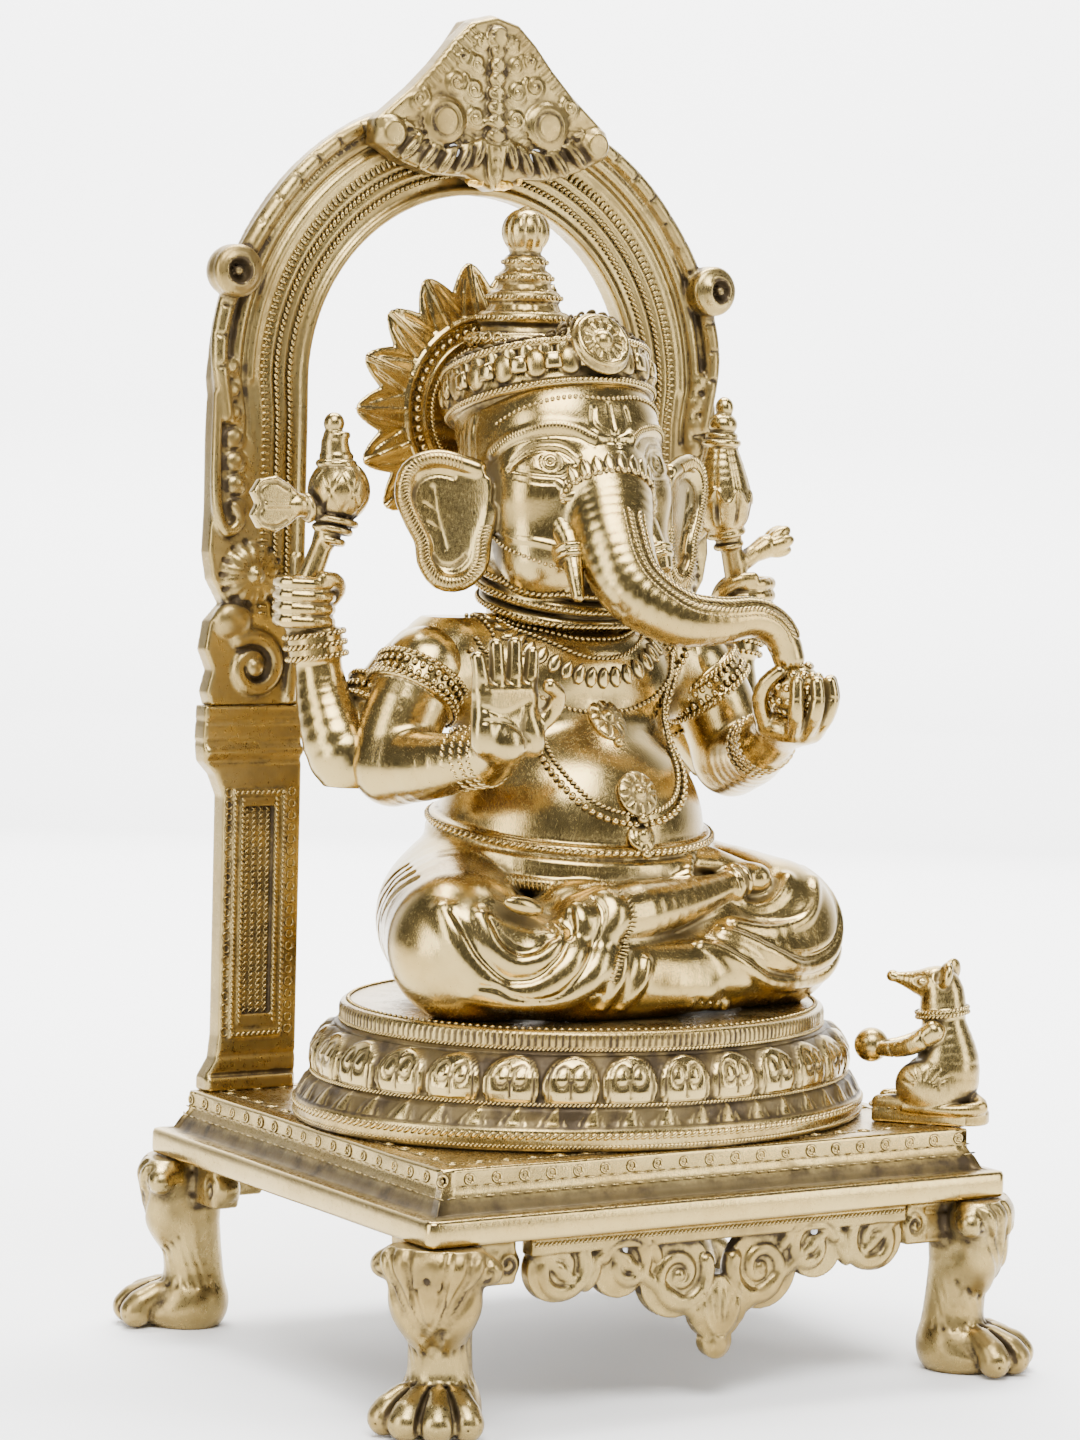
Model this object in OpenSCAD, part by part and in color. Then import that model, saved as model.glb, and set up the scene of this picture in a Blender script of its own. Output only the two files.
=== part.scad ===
// Seated elephant-headed figure on a lotus pedestal, with a footed plinth, a lift-out back arch
// and a mouse. Millimetres. The origin is on the floor under the centre of the plinth,
// +Z is up and the figure faces -Y, so its own right hand is on the -X side.

/* [Plinth] */
// Width of the plinth's slab
slab_w = 188; // [156:1:230]
// Depth of the plinth's slab
slab_d = 161; // [134:1:200]
// Height of the slab's plain upright edge
slab_t = 7.3; // [5:0.1:10]
// Height of the plinth, from the slab's underside to the tier's top
plinth_h = 19; // [16:0.5:24]
// How far the raised tier stands in from the slab's edge
tier_inset = 8.5; // [5:0.5:12]
// Thickness of the plinth's top plate
plate_t = 6; // [4:0.5:8]
// Width of the solid rim round the plinth's hollow
rim_w = 10; // [8:0.5:14]

/* [Feet] */
// Height of the four paw feet
leg_h = 49.4; // [40:0.1:60]
// Distance from the slab's edges in to a foot's axis
leg_inset = 10; // [9:0.5:14]
// Radius of a paw's pad
paw_r = 12; // [10:0.5:14]
// Radius of the threaded studs that hold the feet
leg_stud_r = 2.5; // [2:0.1:3.5]

/* [Pedestal] */
// Gap from the tier's side edge to the pedestal's widest point
ped_side_gap = 0.5; // [0.5:0.5:6]
// Gap from the tier's front and back edges to the pedestal
ped_front_gap = 4; // [4:0.5:10]
// Height of the pedestal
ped_h = 31.6; // [26:0.2:38]
// Width of the pedestal's top disc
ped_top_w = 140; // [120:1:150]
// Depth of the pedestal's top disc
ped_top_d = 124; // [110:1:130]
// Wall of the cast pedestal
ped_wall = 7; // [5:0.5:9]
// Radius of the two studs that clamp the figure down
fig_stud_r = 3; // [2.5:0.1:4]
// Distance from the middle to each clamping stud
fig_stud_x = 30; // [26:1:34]

/* [Arch] */
// Thickness of the pillars, the arch and their tenons' shoulders
arch_t = 8; // [6:0.5:10]
// Height of a pillar, from the plinth to the arch's foot
pillar_h = 111; // [95:0.5:134]
// Width of a pillar's shaft
pillar_w = 25; // [22:0.5:28]
// Distance from the tier's side edge in to a pillar's shaft
pillar_edge = 6; // [4:0.5:10]
// Height of the arch's centre above the pillars
arch_rise = 93.6; // [80:0.1:110]
// Width of the arch's moulded band
arch_band = 30; // [26:0.5:34]
// Height of the crest, from the arch's opening up
crest_h = 52; // [44:0.5:60]
// Depth of the tenons below the pillars
tenon_h = 8; // [6:0.5:10]

/* [Figure] */
// Radius of the belly
belly_r = 40; // [33:0.5:42]
// Radius of the head
head_r = 31; // [25:0.5:33]
// Height of the head's centre above the pedestal
head_z = 156; // [152:1:162]
// Outer radius of the halo's petals
halo_r = 45; // [38:0.5:48]
// Radius of the pin that holds the halo
halo_pin_r = 2.5; // [2:0.1:3]

/* [Mouse] */
// Height of the mouse
mouse_h = 45; // [38:0.5:52]
// Radius of the mouse's peg
peg_r = 2; // [1.5:0.1:2.5]

/* [Fits] */
// Clearance all round a pin or stud that is pressed or screwed in
pin_gap = 0.05; // [0.02:0.01:0.1]
// Clearance all round a tenon in its socket
tenon_gap = 0.4; // [0.3:0.05:0.6]

/* [Hidden] */
$fn = 48;
BRASS = [0.72, 0.58, 0.33];
OLD_BRASS = [0.55, 0.43, 0.24];
STEEL = [0.6, 0.6, 0.6];

// Plinth
tier_w = slab_w - 2 * tier_inset;
tier_d = slab_d - 2 * tier_inset;
plinth_z = leg_h + plinth_h;
leg_x = slab_w / 2 - leg_inset;
leg_y = slab_d / 2 - leg_inset;
boss = 2 * leg_inset + 4;
cove_z = (plinth_h + slab_t) / 2;

// Pedestal, in three stacked ovals
ped_w = tier_w - 2 * ped_side_gap;
ped_d = tier_d - 2 * ped_front_gap;
ped_y = -3.6;
ped_z = plinth_z + ped_h;
low_h = 0.38 * ped_h;
rim_h = 0.16 * ped_h;
stud_top = ped_z + 14;
washer_t = 1.5;
nut_t = 5;

// Arch and pillars, on the tier's back edge
arch_y = tier_d / 2 - arch_t + 0.3;
arch_mid_y = arch_y + arch_t / 2;
pillar_out = tier_w / 2 - pillar_edge;
pillar_in = pillar_out - pillar_w;
cap_h = 18;
cap_out = 6.8;
foot_out = 4;
arch_foot_z = plinth_z + pillar_h;
arch_z = arch_foot_z + arch_rise;
arch_r = pillar_in + 0.5;
arch_out = arch_r + arch_band;
crest_z = arch_z + arch_r;
tenon_w = 13;
tenon_t = 4;
tenon_x = pillar_in + 12;
dowel_r = 2;
dowel_l = 16;
scroll_r = 8;

// Figure
head_c = [0, 19, ped_z + head_z];
spire_c = [0, 38, head_c[2] + 29];
neck_z = ped_z + 106;
halo_y = 55;
halo_t = 4;

// Mouse
mouse_at = [tier_w / 2 - 4.5, -tier_d / 2 + 15, plinth_z];
mouse_turn = 133;
peg_l = 9;

// A tapering limb from a to b, with ball ends a little fuller than the cone
module limb(a, b, ra, rb) {
    d = b - a;
    l = norm(d);
    translate(a)
        rotate([0, acos(d[2] / l), atan2(d[1], d[0])])
            cylinder(h = l, r1 = ra, r2 = rb);
    ball(a, ra * 1.04);
    ball(b, rb * 1.04);
}

// A limb through a list of [point, radius] stations
module limb_chain(s) {
    for (i = [0:len(s) - 2])
        limb(s[i][0], s[i + 1][0], s[i][1], s[i + 1][1]);
}

module ball(c, r) {
    translate(c)
        sphere(r = r);
}

// A pin or stud standing on z0, and the hole for one, wider by the pin gap
module pin(x, y, z0, z1, r) {
    translate([x, y, z0])
        cylinder(h = z1 - z0, r = r);
}

module pin_hole(x, y, z0, z1, r) {
    pin(x, y, z0, z1, r + pin_gap);
}

module mirrored_x() {
    children();
    mirror([1, 0, 0])
        children();
}

module four_corners() {
    for (sx = [-1, 1], sy = [-1, 1])
        translate([sx * leg_x, sy * leg_y, 0])
            children();
}

module box(lo, hi) {
    translate(lo)
        cube(hi - lo);
}

// An upright slice of the arch's plane, drawn in X and Z
module upright(y0, t) {
    translate([0, y0 + t, 0])
        rotate([90, 0, 0])
            linear_extrude(t)
                children();
}

// ---------------------------------------------------------------- plinth and feet

module plinth_hollow() {
    top = plinth_z - plate_t;
    x = slab_w / 2 - rim_w;
    y = slab_d / 2 - rim_w;
    difference() {
        box([-x, -y, leg_h - 1], [x, y, top]);
        four_corners()
            translate([-boss / 2, -boss / 2, 0])
                cube([boss, boss, plinth_z]);
        mirrored_x()
            box([tenon_x - tenon_w / 2 - 5, arch_y - 5, 0], [slab_w, slab_d, plinth_z]);
        box([mouse_at[0] - 8, -slab_d, 0], [slab_w, mouse_at[1] + 8, plinth_z]);
    }
}

module plinth() {
    color(BRASS)
        difference() {
            union() {
                box([-slab_w / 2, -slab_d / 2, leg_h], [slab_w / 2, slab_d / 2, leg_h + slab_t]);
                box([-tier_w / 2 - 2.5, -tier_d / 2 - 2.5, leg_h],
                    [tier_w / 2 + 2.5, tier_d / 2 + 2.5, leg_h + cove_z]);
                box([-tier_w / 2, -tier_d / 2, leg_h], [tier_w / 2, tier_d / 2, plinth_z]);
            }
            plinth_hollow();
            four_corners()
                pin_hole(0, 0, leg_h - 1, leg_h + 12, leg_stud_r);
            mirrored_x() {
                pin_hole(fig_stud_x, ped_y, leg_h, plinth_z + 1, fig_stud_r);
                tenon(tenon_gap);
            }
            pin_hole(mouse_at[0], mouse_at[1], plinth_z - peg_l, plinth_z + 1, peg_r);
            apron_pin_pair(pin_gap);
        }
}

// One paw foot at the origin, its toes pointing out along the corner's diagonal and its two
// brackets running in along the slab's edges
module leg() {
    toe_turns = [-40, -13, 13, 40];
    bracket_l = 21;
    bracket_t = 9;
    bracket_h = 13;
    color(OLD_BRASS)
        difference() {
            union() {
                translate([0, 0, 7])
                    cylinder(h = 15, r1 = 11, r2 = 10);
                translate([0, 0, 22])
                    cylinder(h = 15, r1 = 10.8, r2 = 12.2);
                translate([0, 0, 36])
                    cylinder(h = leg_h - 36, r1 = 11.6, r2 = leg_inset - 0.6);
                for (turn = [135, -135])
                    rotate([0, 0, turn])
                        translate([6, -bracket_t / 2, leg_h - bracket_h])
                            cube([bracket_l - 6, bracket_t, bracket_h]);
                translate([3, 0, 0])
                    cylinder(h = 8, r1 = paw_r + 1, r2 = paw_r - 0.2);
                for (turn = toe_turns)
                    rotate([0, 0, turn])
                        ball([17, 0, 5.5], 5.6);
            }
            pin(0, 0, -paw_r, 0, 3 * paw_r);
            pin_hole(0, 0, leg_h - 12, leg_h + 1, leg_stud_r);
        }
}

module leg_at(sx, sy) {
    translate([sx * leg_x, sy * leg_y, 0])
        rotate([0, 0, atan2(sy, sx)])
            leg();
}

module leg_front_right() { leg_at(-1, -1); }
module leg_front_left() { leg_at(1, -1); }
module leg_back_right() { leg_at(-1, 1); }
module leg_back_left() { leg_at(1, 1); }

module leg_studs() {
    color(STEEL)
        four_corners()
            pin(0, 0, leg_h - 11.5, leg_h + 11.5, leg_stud_r);
}

// ---------------------------------------------------------------- apron

apron_w = 124;
apron_t = 6;
apron_y = -slab_d / 2 + 2.5;

module apron() {
    color(BRASS)
        difference() {
            upright(apron_y, apron_t) {
                translate([-apron_w / 2 + 4, leg_h - 6])
                    square([apron_w - 8, 6]);
                mirrored_x() {
                    translate([-apron_w / 2 + 10, leg_h - 9])
                        circle(r = 9.5);
                    translate([-apron_w / 2 + 30, leg_h - 10])
                        circle(r = 9);
                    translate([-14, leg_h - 14])
                        circle(r = 12);
                }
                translate([0, leg_h - 24])
                    circle(r = 9);
                translate([0, leg_h - 33])
                    circle(r = 5);
            }
            translate([-slab_w, -slab_d, leg_h])
                cube([2 * slab_w, 2 * slab_d, 20]);
            apron_pin_pair(pin_gap);
        }
}

module apron_pin_pair(gap) {
    mirrored_x()
        pin(apron_w / 4, apron_y + apron_t / 2, leg_h - 7, leg_h + 7, 1.5 + gap);
}

module apron_pins() {
    color(STEEL)
        apron_pin_pair(0);
}

// ---------------------------------------------------------------- lotus pedestal

// An oval turned from a profile whose radii are shares of half the width
module oval(w, d, profile) {
    scale([1, d / w, 1])
        rotate_extrude($fn = 64)
            polygon([for (p = profile) [p[0] * w / 2, p[1]]]);
}

module lotus_pedestal() {
    inner_w = ped_top_w - 2 * ped_wall;
    inner_d = ped_top_d - 2 * ped_wall;
    color(BRASS)
        difference() {
            translate([0, ped_y, plinth_z])
                union() {
                    oval(ped_w, ped_d, [[0, 0], [1, 0], [1, 0.5 * low_h], [0.97, 0.75 * low_h],
                        [0.94, low_h], [0, low_h]]);
                    oval(ped_top_w + 18, ped_top_d + 8, [[0, low_h - 1], [0.99, low_h - 1],
                        [1, low_h + 3], [0.98, low_h + 7], [0.93, ped_h - rim_h - 3],
                        [0.86, ped_h - rim_h], [0, ped_h - rim_h]]);
                    oval(ped_top_w, ped_top_d, [[0, low_h], [0.97, low_h], [1, ped_h - rim_h + 1],
                        [1, ped_h - 1.5], [0.98, ped_h], [0, ped_h]]);
                }
            translate([0, ped_y, plinth_z - 1])
                oval(inner_w, inner_d, [[0, 0], [1, 0], [0.96, ped_h - ped_wall - 4],
                    [0.88, ped_h - ped_wall + 1], [0, ped_h - ped_wall + 1]]);
            mirrored_x()
                pin_hole(fig_stud_x, ped_y, plinth_z, ped_z + 1, fig_stud_r);
        }
}

module figure_studs() {
    color(STEEL)
        mirrored_x()
            pin(fig_stud_x, ped_y, plinth_z - plate_t - washer_t - nut_t - 1, stud_top, fig_stud_r);
}

module figure_washers() {
    z = plinth_z - plate_t - washer_t;
    color(STEEL)
        mirrored_x()
            difference() {
                pin(fig_stud_x, ped_y, z, z + washer_t, 3 * fig_stud_r);
                pin_hole(fig_stud_x, ped_y, z - 1, z + washer_t + 1, fig_stud_r);
            }
}

module figure_nuts() {
    z = plinth_z - plate_t - washer_t - nut_t;
    color(STEEL)
        mirrored_x()
            difference() {
                translate([fig_stud_x, ped_y, z])
                    cylinder(h = nut_t, r = 2 * fig_stud_r, $fn = 6);
                pin_hole(fig_stud_x, ped_y, z - 1, z + nut_t + 1, fig_stud_r);
            }
}

// ---------------------------------------------------------------- figure

hip_z = ped_z + 24;

module shoulders() {
    limb([-32, 19, ped_z + 93], [32, 19, ped_z + 93], 16, 16);
    mirrored_x()
        limb([35, 17, ped_z + 96], [48, 12, ped_z + 88], 14.5, 12);
}

module torso() {
    color(BRASS)
        difference() {
            union() {
                limb([-30, 14, hip_z], [30, 14, hip_z], 23, 23);
                ball([0, 5, ped_z + 48], belly_r);
                ball([0, 17, ped_z + 86], 28);
                shoulders();
                mirrored_x() {
                    limb([28, 17, hip_z - 1], [52, -23, hip_z - 2], 21, 18.5);
                    limb([50, -28, hip_z - 8], [20, -38.5, hip_z - 10], 14, 12);
                }
                limb([-16, -39.5, hip_z - 13], [16, -38.5, hip_z - 12.5], 10.5, 10.2);
            }
            pin(0, 0, ped_z - 60, ped_z, 200);
            pin(0, 12, ped_z - 1, ped_z + 88, 17);
            mirrored_x()
                pin_hole(fig_stud_x, ped_y, ped_z - 1, stud_top + 0.5, fig_stud_r);
            neck_seat(0.2);
        }
}

// The neck's spigot, and with a gap the socket for it in the shoulders
module neck_seat(gap) {
    pin(0, 17, neck_z - 8, neck_z + 30, 14 + gap);
    pin(0, 17, neck_z, neck_z + 40, 40);
}

module head() {
    trunk = [[[0, -2, 48], 15], [[-0.4, -9, 40], 12.5], [[-3, -18, 29], 10.5],
        [[-1, -26, 17], 9.5], [[8, -33, 9], 8.5], [[19, -36, 8], 7.5], [[30, -36, 8.5], 6.5],
        [[39, -36, 3], 5.5]];
    color(BRASS)
        union() {
            difference() {
                limb([0, 17, neck_z - 8], head_c - [0, 2, 24], 20, 24);
                pin(0, 17, neck_z - 60, neck_z, 60);
            }
            pin(0, 17, neck_z - 8, neck_z + 5, 14);
            difference() {
                ball(head_c, head_r);
                halo_pin_hole();
            }
            limb_chain([for (s = trunk) [s[0] + [0, 0, ped_z + 100], s[1]]]);
            mirrored_x()
                ear();
        }
}

// The ear on the +X side, a swept-back plate with round corners
module ear() {
    translate([37, 13.5, head_c[2] - 17])
        rotate([0, 0, 32])
            upright(-2.5, 5)
                union() {
                    translate([-13, -6])
                        square([20, 20]);
                    translate([3, 8])
                        circle(r = 9.5);
                    translate([-2, -9])
                        circle(r = 8.5);
                }
}

tusk_a = [13.5, -7, ped_z + 133];
tusk_b = [15.5, -20, ped_z + 115];

// A tusk stands on the face as a tapering cone in a ring
module tusk(s, share) {
    a = [s * tusk_a[0], tusk_a[1] - 6, tusk_a[2] - 6];
    b = [s * tusk_b[0], tusk_b[1], tusk_b[2]];
    tip = a + share * (b - a);
    color(BRASS)
        difference() {
            union() {
                limb(a, tip, 4, 4 - 2.4 * share);
                ball(a, 5);
            }
            ball(head_c, head_r);
            limb([0, -2, ped_z + 148], [-0.4, -9, ped_z + 140], 15.2, 12.7);
            limb([-0.4, -9, ped_z + 140], [-3, -18, ped_z + 129], 12.8, 10.8);
            limb([-3, -18, ped_z + 129], [-1, -26, ped_z + 117], 10.8, 9.8);
        }
}

module tusk_right() { tusk(-1, 1); }
module tusk_left() { tusk(1, 0.5); }

// Crown: a jewelled band round the brow and a tiered spire behind it
module crown() {
    tiers = [[0, 15], [5, 12.5], [10, 10.5], [14, 8.5], [19, 6.2]];
    color(BRASS)
        difference() {
            union() {
                translate(head_c)
                    rotate([-12, 0, 0])
                        pin(0, 0, 12, 25, head_r - 0.5);
                translate(spire_c - [0, 0, 8])
                    cylinder(h = 12, r1 = 16.5, r2 = 15);
                for (t = tiers)
                    translate(spire_c + [0, 0, t[0]])
                        cylinder(h = 6, r1 = t[1], r2 = t[1] - 1.5);
                translate(spire_c + [0, 0, 19])
                    cylinder(h = 14, r = 5.4);
                ball(spire_c + [0, 0, 33], 6.4);
            }
            ball(head_c, head_r + 0.05);
            halo_pin_hole();
        }
}

module halo_pin_at(r) {
    translate([0, head_c[1] + head_r - 10, head_c[2] + 9])
        rotate([-90, 0, 0])
            cylinder(h = halo_y + halo_t - head_c[1] - head_r + 11, r = r);
}

module halo_pin_hole() {
    halo_pin_at(halo_pin_r + pin_gap);
}

module halo() {
    petals = 20;
    hub = halo_r * 0.7;
    color(BRASS)
        difference() {
            upright(halo_y, halo_t)
                translate([0, head_c[2] + 9])
                    union() {
                        circle(r = hub);
                        for (i = [0:petals - 1])
                            rotate(i * 360 / petals)
                                polygon([[hub - 2, -5.2], [hub + 6, -4.6], [halo_r, 0],
                                    [hub + 6, 4.6], [hub - 2, 5.2]]);
                    }
            halo_pin_hole();
        }
}

module halo_pin() {
    color(STEEL)
        halo_pin_at(halo_pin_r);
}

// ---------------------------------------------------------------- arms and attributes

// Rear arm on side s: out and down to the elbow, up to the wrist and fist
module rear_arm(s) {
    stations = [[[46, 24, 88], 11.5], [[62, 20, 66], 12], [[68, 26, 80], 9.5], [[70, 29, 98], 6.8]];
    color(BRASS)
        difference() {
            union() {
                limb_chain([for (p = stations) [[s * p[0][0], p[0][1], ped_z + p[0][2]], p[1]]]);
                limb([s * 70, 29, ped_z + 97], [s * 73, 31, ped_z + 113], 7.5, 10);
            }
            shoulders();
            upper_arm(s);
        }
}

// The front upper arm on side s, from the armlet down to the elbow
module upper_arm(s) {
    limb([s * 49, 11, ped_z + 86], [s * 56, 10, ped_z + 66], 11.5, 11.5);
}

// Front arm on side s, from the armlet round the elbow to the wrist
module front_arm(s, wrist) {
    color(BRASS)
        difference() {
            union() {
                upper_arm(s);
                limb([s * 56, 10, ped_z + 66], wrist, 11.5, 7.5);
            }
            shoulders();
        }
}

wrist_r = [-47, -27, ped_z + 71];
wrist_l = [48, -22, ped_z + 74];

module arm_rear_right() { rear_arm(-1); }
module arm_rear_left() { rear_arm(1); }

module arm_front_right() {
    front_arm(-1, wrist_r);
    palm_r = 11;
    color(BRASS)
        union() {
            translate([-48, -31, ped_z + 74])
                rotate([90, 0, 0])
                    cylinder(h = 9, r = palm_r);
            box([-48 - palm_r, -40, ped_z + 74], [-48 + palm_r, -33, ped_z + 103]);
        }
}

module arm_front_left() {
    front_arm(1, wrist_l);
    color(BRASS)
        difference() {
            limb([49, -28, ped_z + 79], [51, -38, ped_z + 80], 10, 10);
            ball(modak_c, modak_r + 0.1);
        }
}

modak_c = [46, -38, ped_z + 90];
modak_r = 8.5;

module modak() {
    color(BRASS)
        difference() {
            ball(modak_c, modak_r);
            limb([30, -36, ped_z + 108.5], [39, -36, ped_z + 103], 6.7, 5.9);
        }
}

// The attribute of the rear right hand: an axe blade beside a mace head with a small finial
module axe_and_mace() {
    foot = [-72, 31, ped_z + 121];
    color(BRASS)
        difference() {
            union() {
                limb(foot, [-66, 30, ped_z + 132], 4, 4);
                ball([-64, 30, ped_z + 142], 9);
                limb([-65, 30, ped_z + 148], [-66, 30, ped_z + 156], 6, 5);
                ball([-66, 30, ped_z + 161], 3.2);
                limb([-70, 30, ped_z + 136], [-78, 30, ped_z + 138], 3, 3.4);
                translate([-84, 27, ped_z + 138])
                    rotate([-90, 0, 0])
                        cylinder(h = 6, r = 8);
            }
            ball([-73, 31, ped_z + 113], 10.5);
        }
}

// The attribute of the rear left hand: a tall lotus bud with a flower bundle beside it
module lotus_bud() {
    foot = [71, 31, ped_z + 121];
    color(BRASS)
        difference() {
            union() {
                limb(foot, [67, 31, ped_z + 134], 4, 6);
                limb([66, 31, ped_z + 138], [65, 31, ped_z + 154], 9, 6);
                ball([65.5, 31, ped_z + 163], 5);
                ball([66, 31, ped_z + 168.5], 3);
                limb([74, 31, ped_z + 124], [86, 31, ped_z + 128], 4, 6);
            }
            ball([73, 31, ped_z + 113], 10.5);
        }
}

// ---------------------------------------------------------------- arch

// The tenon under the +X pillar, and with a gap the socket for it
module tenon(gap) {
    box([tenon_x - tenon_w / 2 - gap, arch_mid_y - tenon_t / 2 - gap, plinth_z - tenon_h - gap],
        [tenon_x + tenon_w / 2 + gap, arch_mid_y + tenon_t / 2 + gap, plinth_z + 1]);
}

module pillar() {
    panel_w = 10;
    panel_z = 22;
    panel_h = pillar_h - cap_h - panel_z - 10;
    color(BRASS)
        difference() {
            union() {
                upright(arch_y, arch_t)
                    translate([0, plinth_z])
                        polygon([[pillar_in, 0], [pillar_out + foot_out, 0],
                            [pillar_out + foot_out, 5], [pillar_out, 16],
                            [pillar_out, pillar_h - cap_h - 8],
                            [pillar_out + cap_out, pillar_h - cap_h],
                            [pillar_out + cap_out, pillar_h], [pillar_in - 1, pillar_h],
                            [pillar_in - 1, pillar_h - 5], [pillar_in, pillar_h - 8]]);
                tenon(0);
            }
            box([pillar_out - 6 - panel_w, arch_y - 1, plinth_z + panel_z],
                [pillar_out - 6, arch_y + 1.5, plinth_z + panel_z + panel_h]);
            arch_dowel(pin_gap);
        }
}

module pillar_left() { pillar(); }

module pillar_right() {
    mirror([1, 0, 0])
        pillar();
}

module arch_dowel(gap) {
    pin(pillar_in + 13, arch_mid_y, arch_foot_z - dowel_l / 2, arch_foot_z + dowel_l / 2,
        dowel_r + gap);
}

module arch_dowels() {
    color(STEEL)
        mirrored_x()
            arch_dowel(0);
}

// Arch: a horseshoe band on two scrolled feet, with a scroll ball on each shoulder
module arch() {
    scroll_x = arch_out - 3.5;
    color(BRASS)
        difference() {
            union() {
                upright(arch_y, arch_t)
                    difference() {
                        union() {
                            translate([0, arch_z])
                                circle(r = arch_out, $fn = 96);
                            mirrored_x() {
                                translate([pillar_in, arch_foot_z + 44])
                                    square([arch_band + 2.5, arch_rise - 26]);
                                translate([pillar_in + 4.5, arch_foot_z])
                                    square([23, 10]);
                                translate([pillar_in + 17, arch_foot_z + 18])
                                    circle(r = 13);
                                translate([pillar_in + 16, arch_foot_z + 40])
                                    circle(r = 15);
                            }
                        }
                        translate([0, arch_z])
                            circle(r = arch_r, $fn = 96);
                        translate([-arch_r, arch_foot_z - 1])
                            square([2 * arch_r, arch_rise + 1]);
                    }
                mirrored_x()
                    translate([scroll_x, arch_y - 3, arch_z + 30])
                        rotate([-90, 0, 0])
                            cylinder(h = arch_t + 4, r = scroll_r);
            }
            mirrored_x()
                arch_dowel(pin_gap);
            crest_rivet_pair(pin_gap);
            box([-crest_w, arch_y - 20, arch_z + arch_out - 4],
                [crest_w, arch_y + 40, arch_z + arch_out + 20]);
        }
}

crest_w = 28;
crest_t = 10;

module crest_rivet_pair(gap) {
    mirrored_x()
        translate([14, arch_y - crest_t + 2, arch_z + arch_r + 12])
            rotate([-90, 0, 0])
                cylinder(h = crest_t + arch_t - 2, r = 2 + gap);
}

// Crest: a carved mask plate in front of the arch, rising over it to a rounded peak
module crest() {
    front = arch_y - crest_t;
    peak = crest_z + crest_h;
    over = arch_z + arch_out - 4;
    color(OLD_BRASS)
        difference() {
            union() {
                upright(front, crest_t)
                    polygon([[0, crest_z + 1], [26, crest_z + 6], [40, crest_z + 14],
                        [38, crest_z + 22], [26, crest_z + 28], [16, peak - 12],
                        [-16, peak - 12], [-26, crest_z + 28], [-38, crest_z + 22],
                        [-40, crest_z + 14], [-26, crest_z + 6]]);
                upright(front, crest_t + arch_t)
                    union() {
                        polygon([[-crest_w, over], [crest_w, over], [18, over + 8],
                            [9, peak - 8], [-9, peak - 8], [-18, over + 8]]);
                        translate([0, peak - 10])
                            circle(r = 10);
                    }
            }
            crest_rivet_pair(pin_gap);
        }
}

module crest_rivets() {
    color(STEEL)
        crest_rivet_pair(0);
}

// ---------------------------------------------------------------- mouse

module mouse() {
    k = mouse_h / 45;
    color(OLD_BRASS)
        difference() {
            translate(mouse_at)
                rotate([0, 0, mouse_turn])
                    scale(k)
                        union() {
                            translate([-13, -8, 0])
                                cube([26, 16, 4]);
                            pin(-12, 0, 0, 4, 7);
                            limb([-6, 0, 11], [-5, 0, 26], 9, 7.5);
                            limb([2, 0, 6], [10, 0, 4.5], 6, 4.4);
                            limb([-5, 0, 30], [-4, 0, 36], 6, 6);
                            limb([-3, 0, 38], [9, 0, 40], 6.2, 1.8);
                            for (s = [-1, 1]) {
                                ball([-6, s * 5, 41], 3.6);
                                limb([-3, s * 6, 24], [10, s * 3, 20], 3, 2.4);
                            }
                            ball([15, 0, 20], 5);
                        }
            pin_hole(mouse_at[0], mouse_at[1], plinth_z - 1, plinth_z + peg_l, peg_r);
            pin(mouse_at[0], mouse_at[1], plinth_z - 20, plinth_z, 40);
        }
}

module mouse_peg() {
    color(STEEL)
        pin(mouse_at[0], mouse_at[1], plinth_z - peg_l + 0.5, plinth_z + peg_l - 0.5, peg_r);
}

plinth();
leg_front_right();
leg_front_left();
leg_back_right();
leg_back_left();
leg_studs();
apron();
apron_pins();
lotus_pedestal();
torso();
figure_studs();
figure_washers();
figure_nuts();
head();
tusk_right();
tusk_left();
crown();
halo();
halo_pin();
arm_rear_right();
arm_rear_left();
arm_front_right();
arm_front_left();
axe_and_mace();
lotus_bud();
modak();
pillar_right();
pillar_left();
arch();
arch_dowels();
crest();
crest_rivets();
mouse();
mouse_peg();
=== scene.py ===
"""Seated elephant-headed figure with its arch, plinth and mouse, built round the CAD frame."""

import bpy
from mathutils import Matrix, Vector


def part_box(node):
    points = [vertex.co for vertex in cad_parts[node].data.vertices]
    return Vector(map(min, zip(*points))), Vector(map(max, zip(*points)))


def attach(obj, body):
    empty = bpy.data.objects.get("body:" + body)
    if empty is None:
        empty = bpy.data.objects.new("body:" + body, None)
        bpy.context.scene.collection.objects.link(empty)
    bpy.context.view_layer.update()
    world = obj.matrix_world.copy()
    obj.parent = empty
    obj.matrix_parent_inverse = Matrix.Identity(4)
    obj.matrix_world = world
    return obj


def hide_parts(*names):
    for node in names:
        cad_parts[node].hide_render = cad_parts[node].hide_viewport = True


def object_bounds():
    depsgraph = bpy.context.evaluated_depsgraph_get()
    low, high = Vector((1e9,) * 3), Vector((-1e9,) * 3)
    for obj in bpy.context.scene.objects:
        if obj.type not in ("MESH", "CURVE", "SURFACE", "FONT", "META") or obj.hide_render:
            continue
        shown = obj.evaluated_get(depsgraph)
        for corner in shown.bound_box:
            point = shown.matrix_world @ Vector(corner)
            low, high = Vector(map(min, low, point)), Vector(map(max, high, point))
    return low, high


bl_info = {
    "name": "Seated figure with arch",
    "version": (1, 0, 0),
    "blender": (4, 5, 0),
    "location": "View3D > Sidebar > Idol",
    "description": "Builds the carved brass pieces of a seated elephant-headed figure round its CAD frame",
    "category": "Add Mesh",
}

import math
import time
from concurrent.futures import ThreadPoolExecutor

import bpy
import numpy as np
from mathutils import Matrix, Vector

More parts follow.
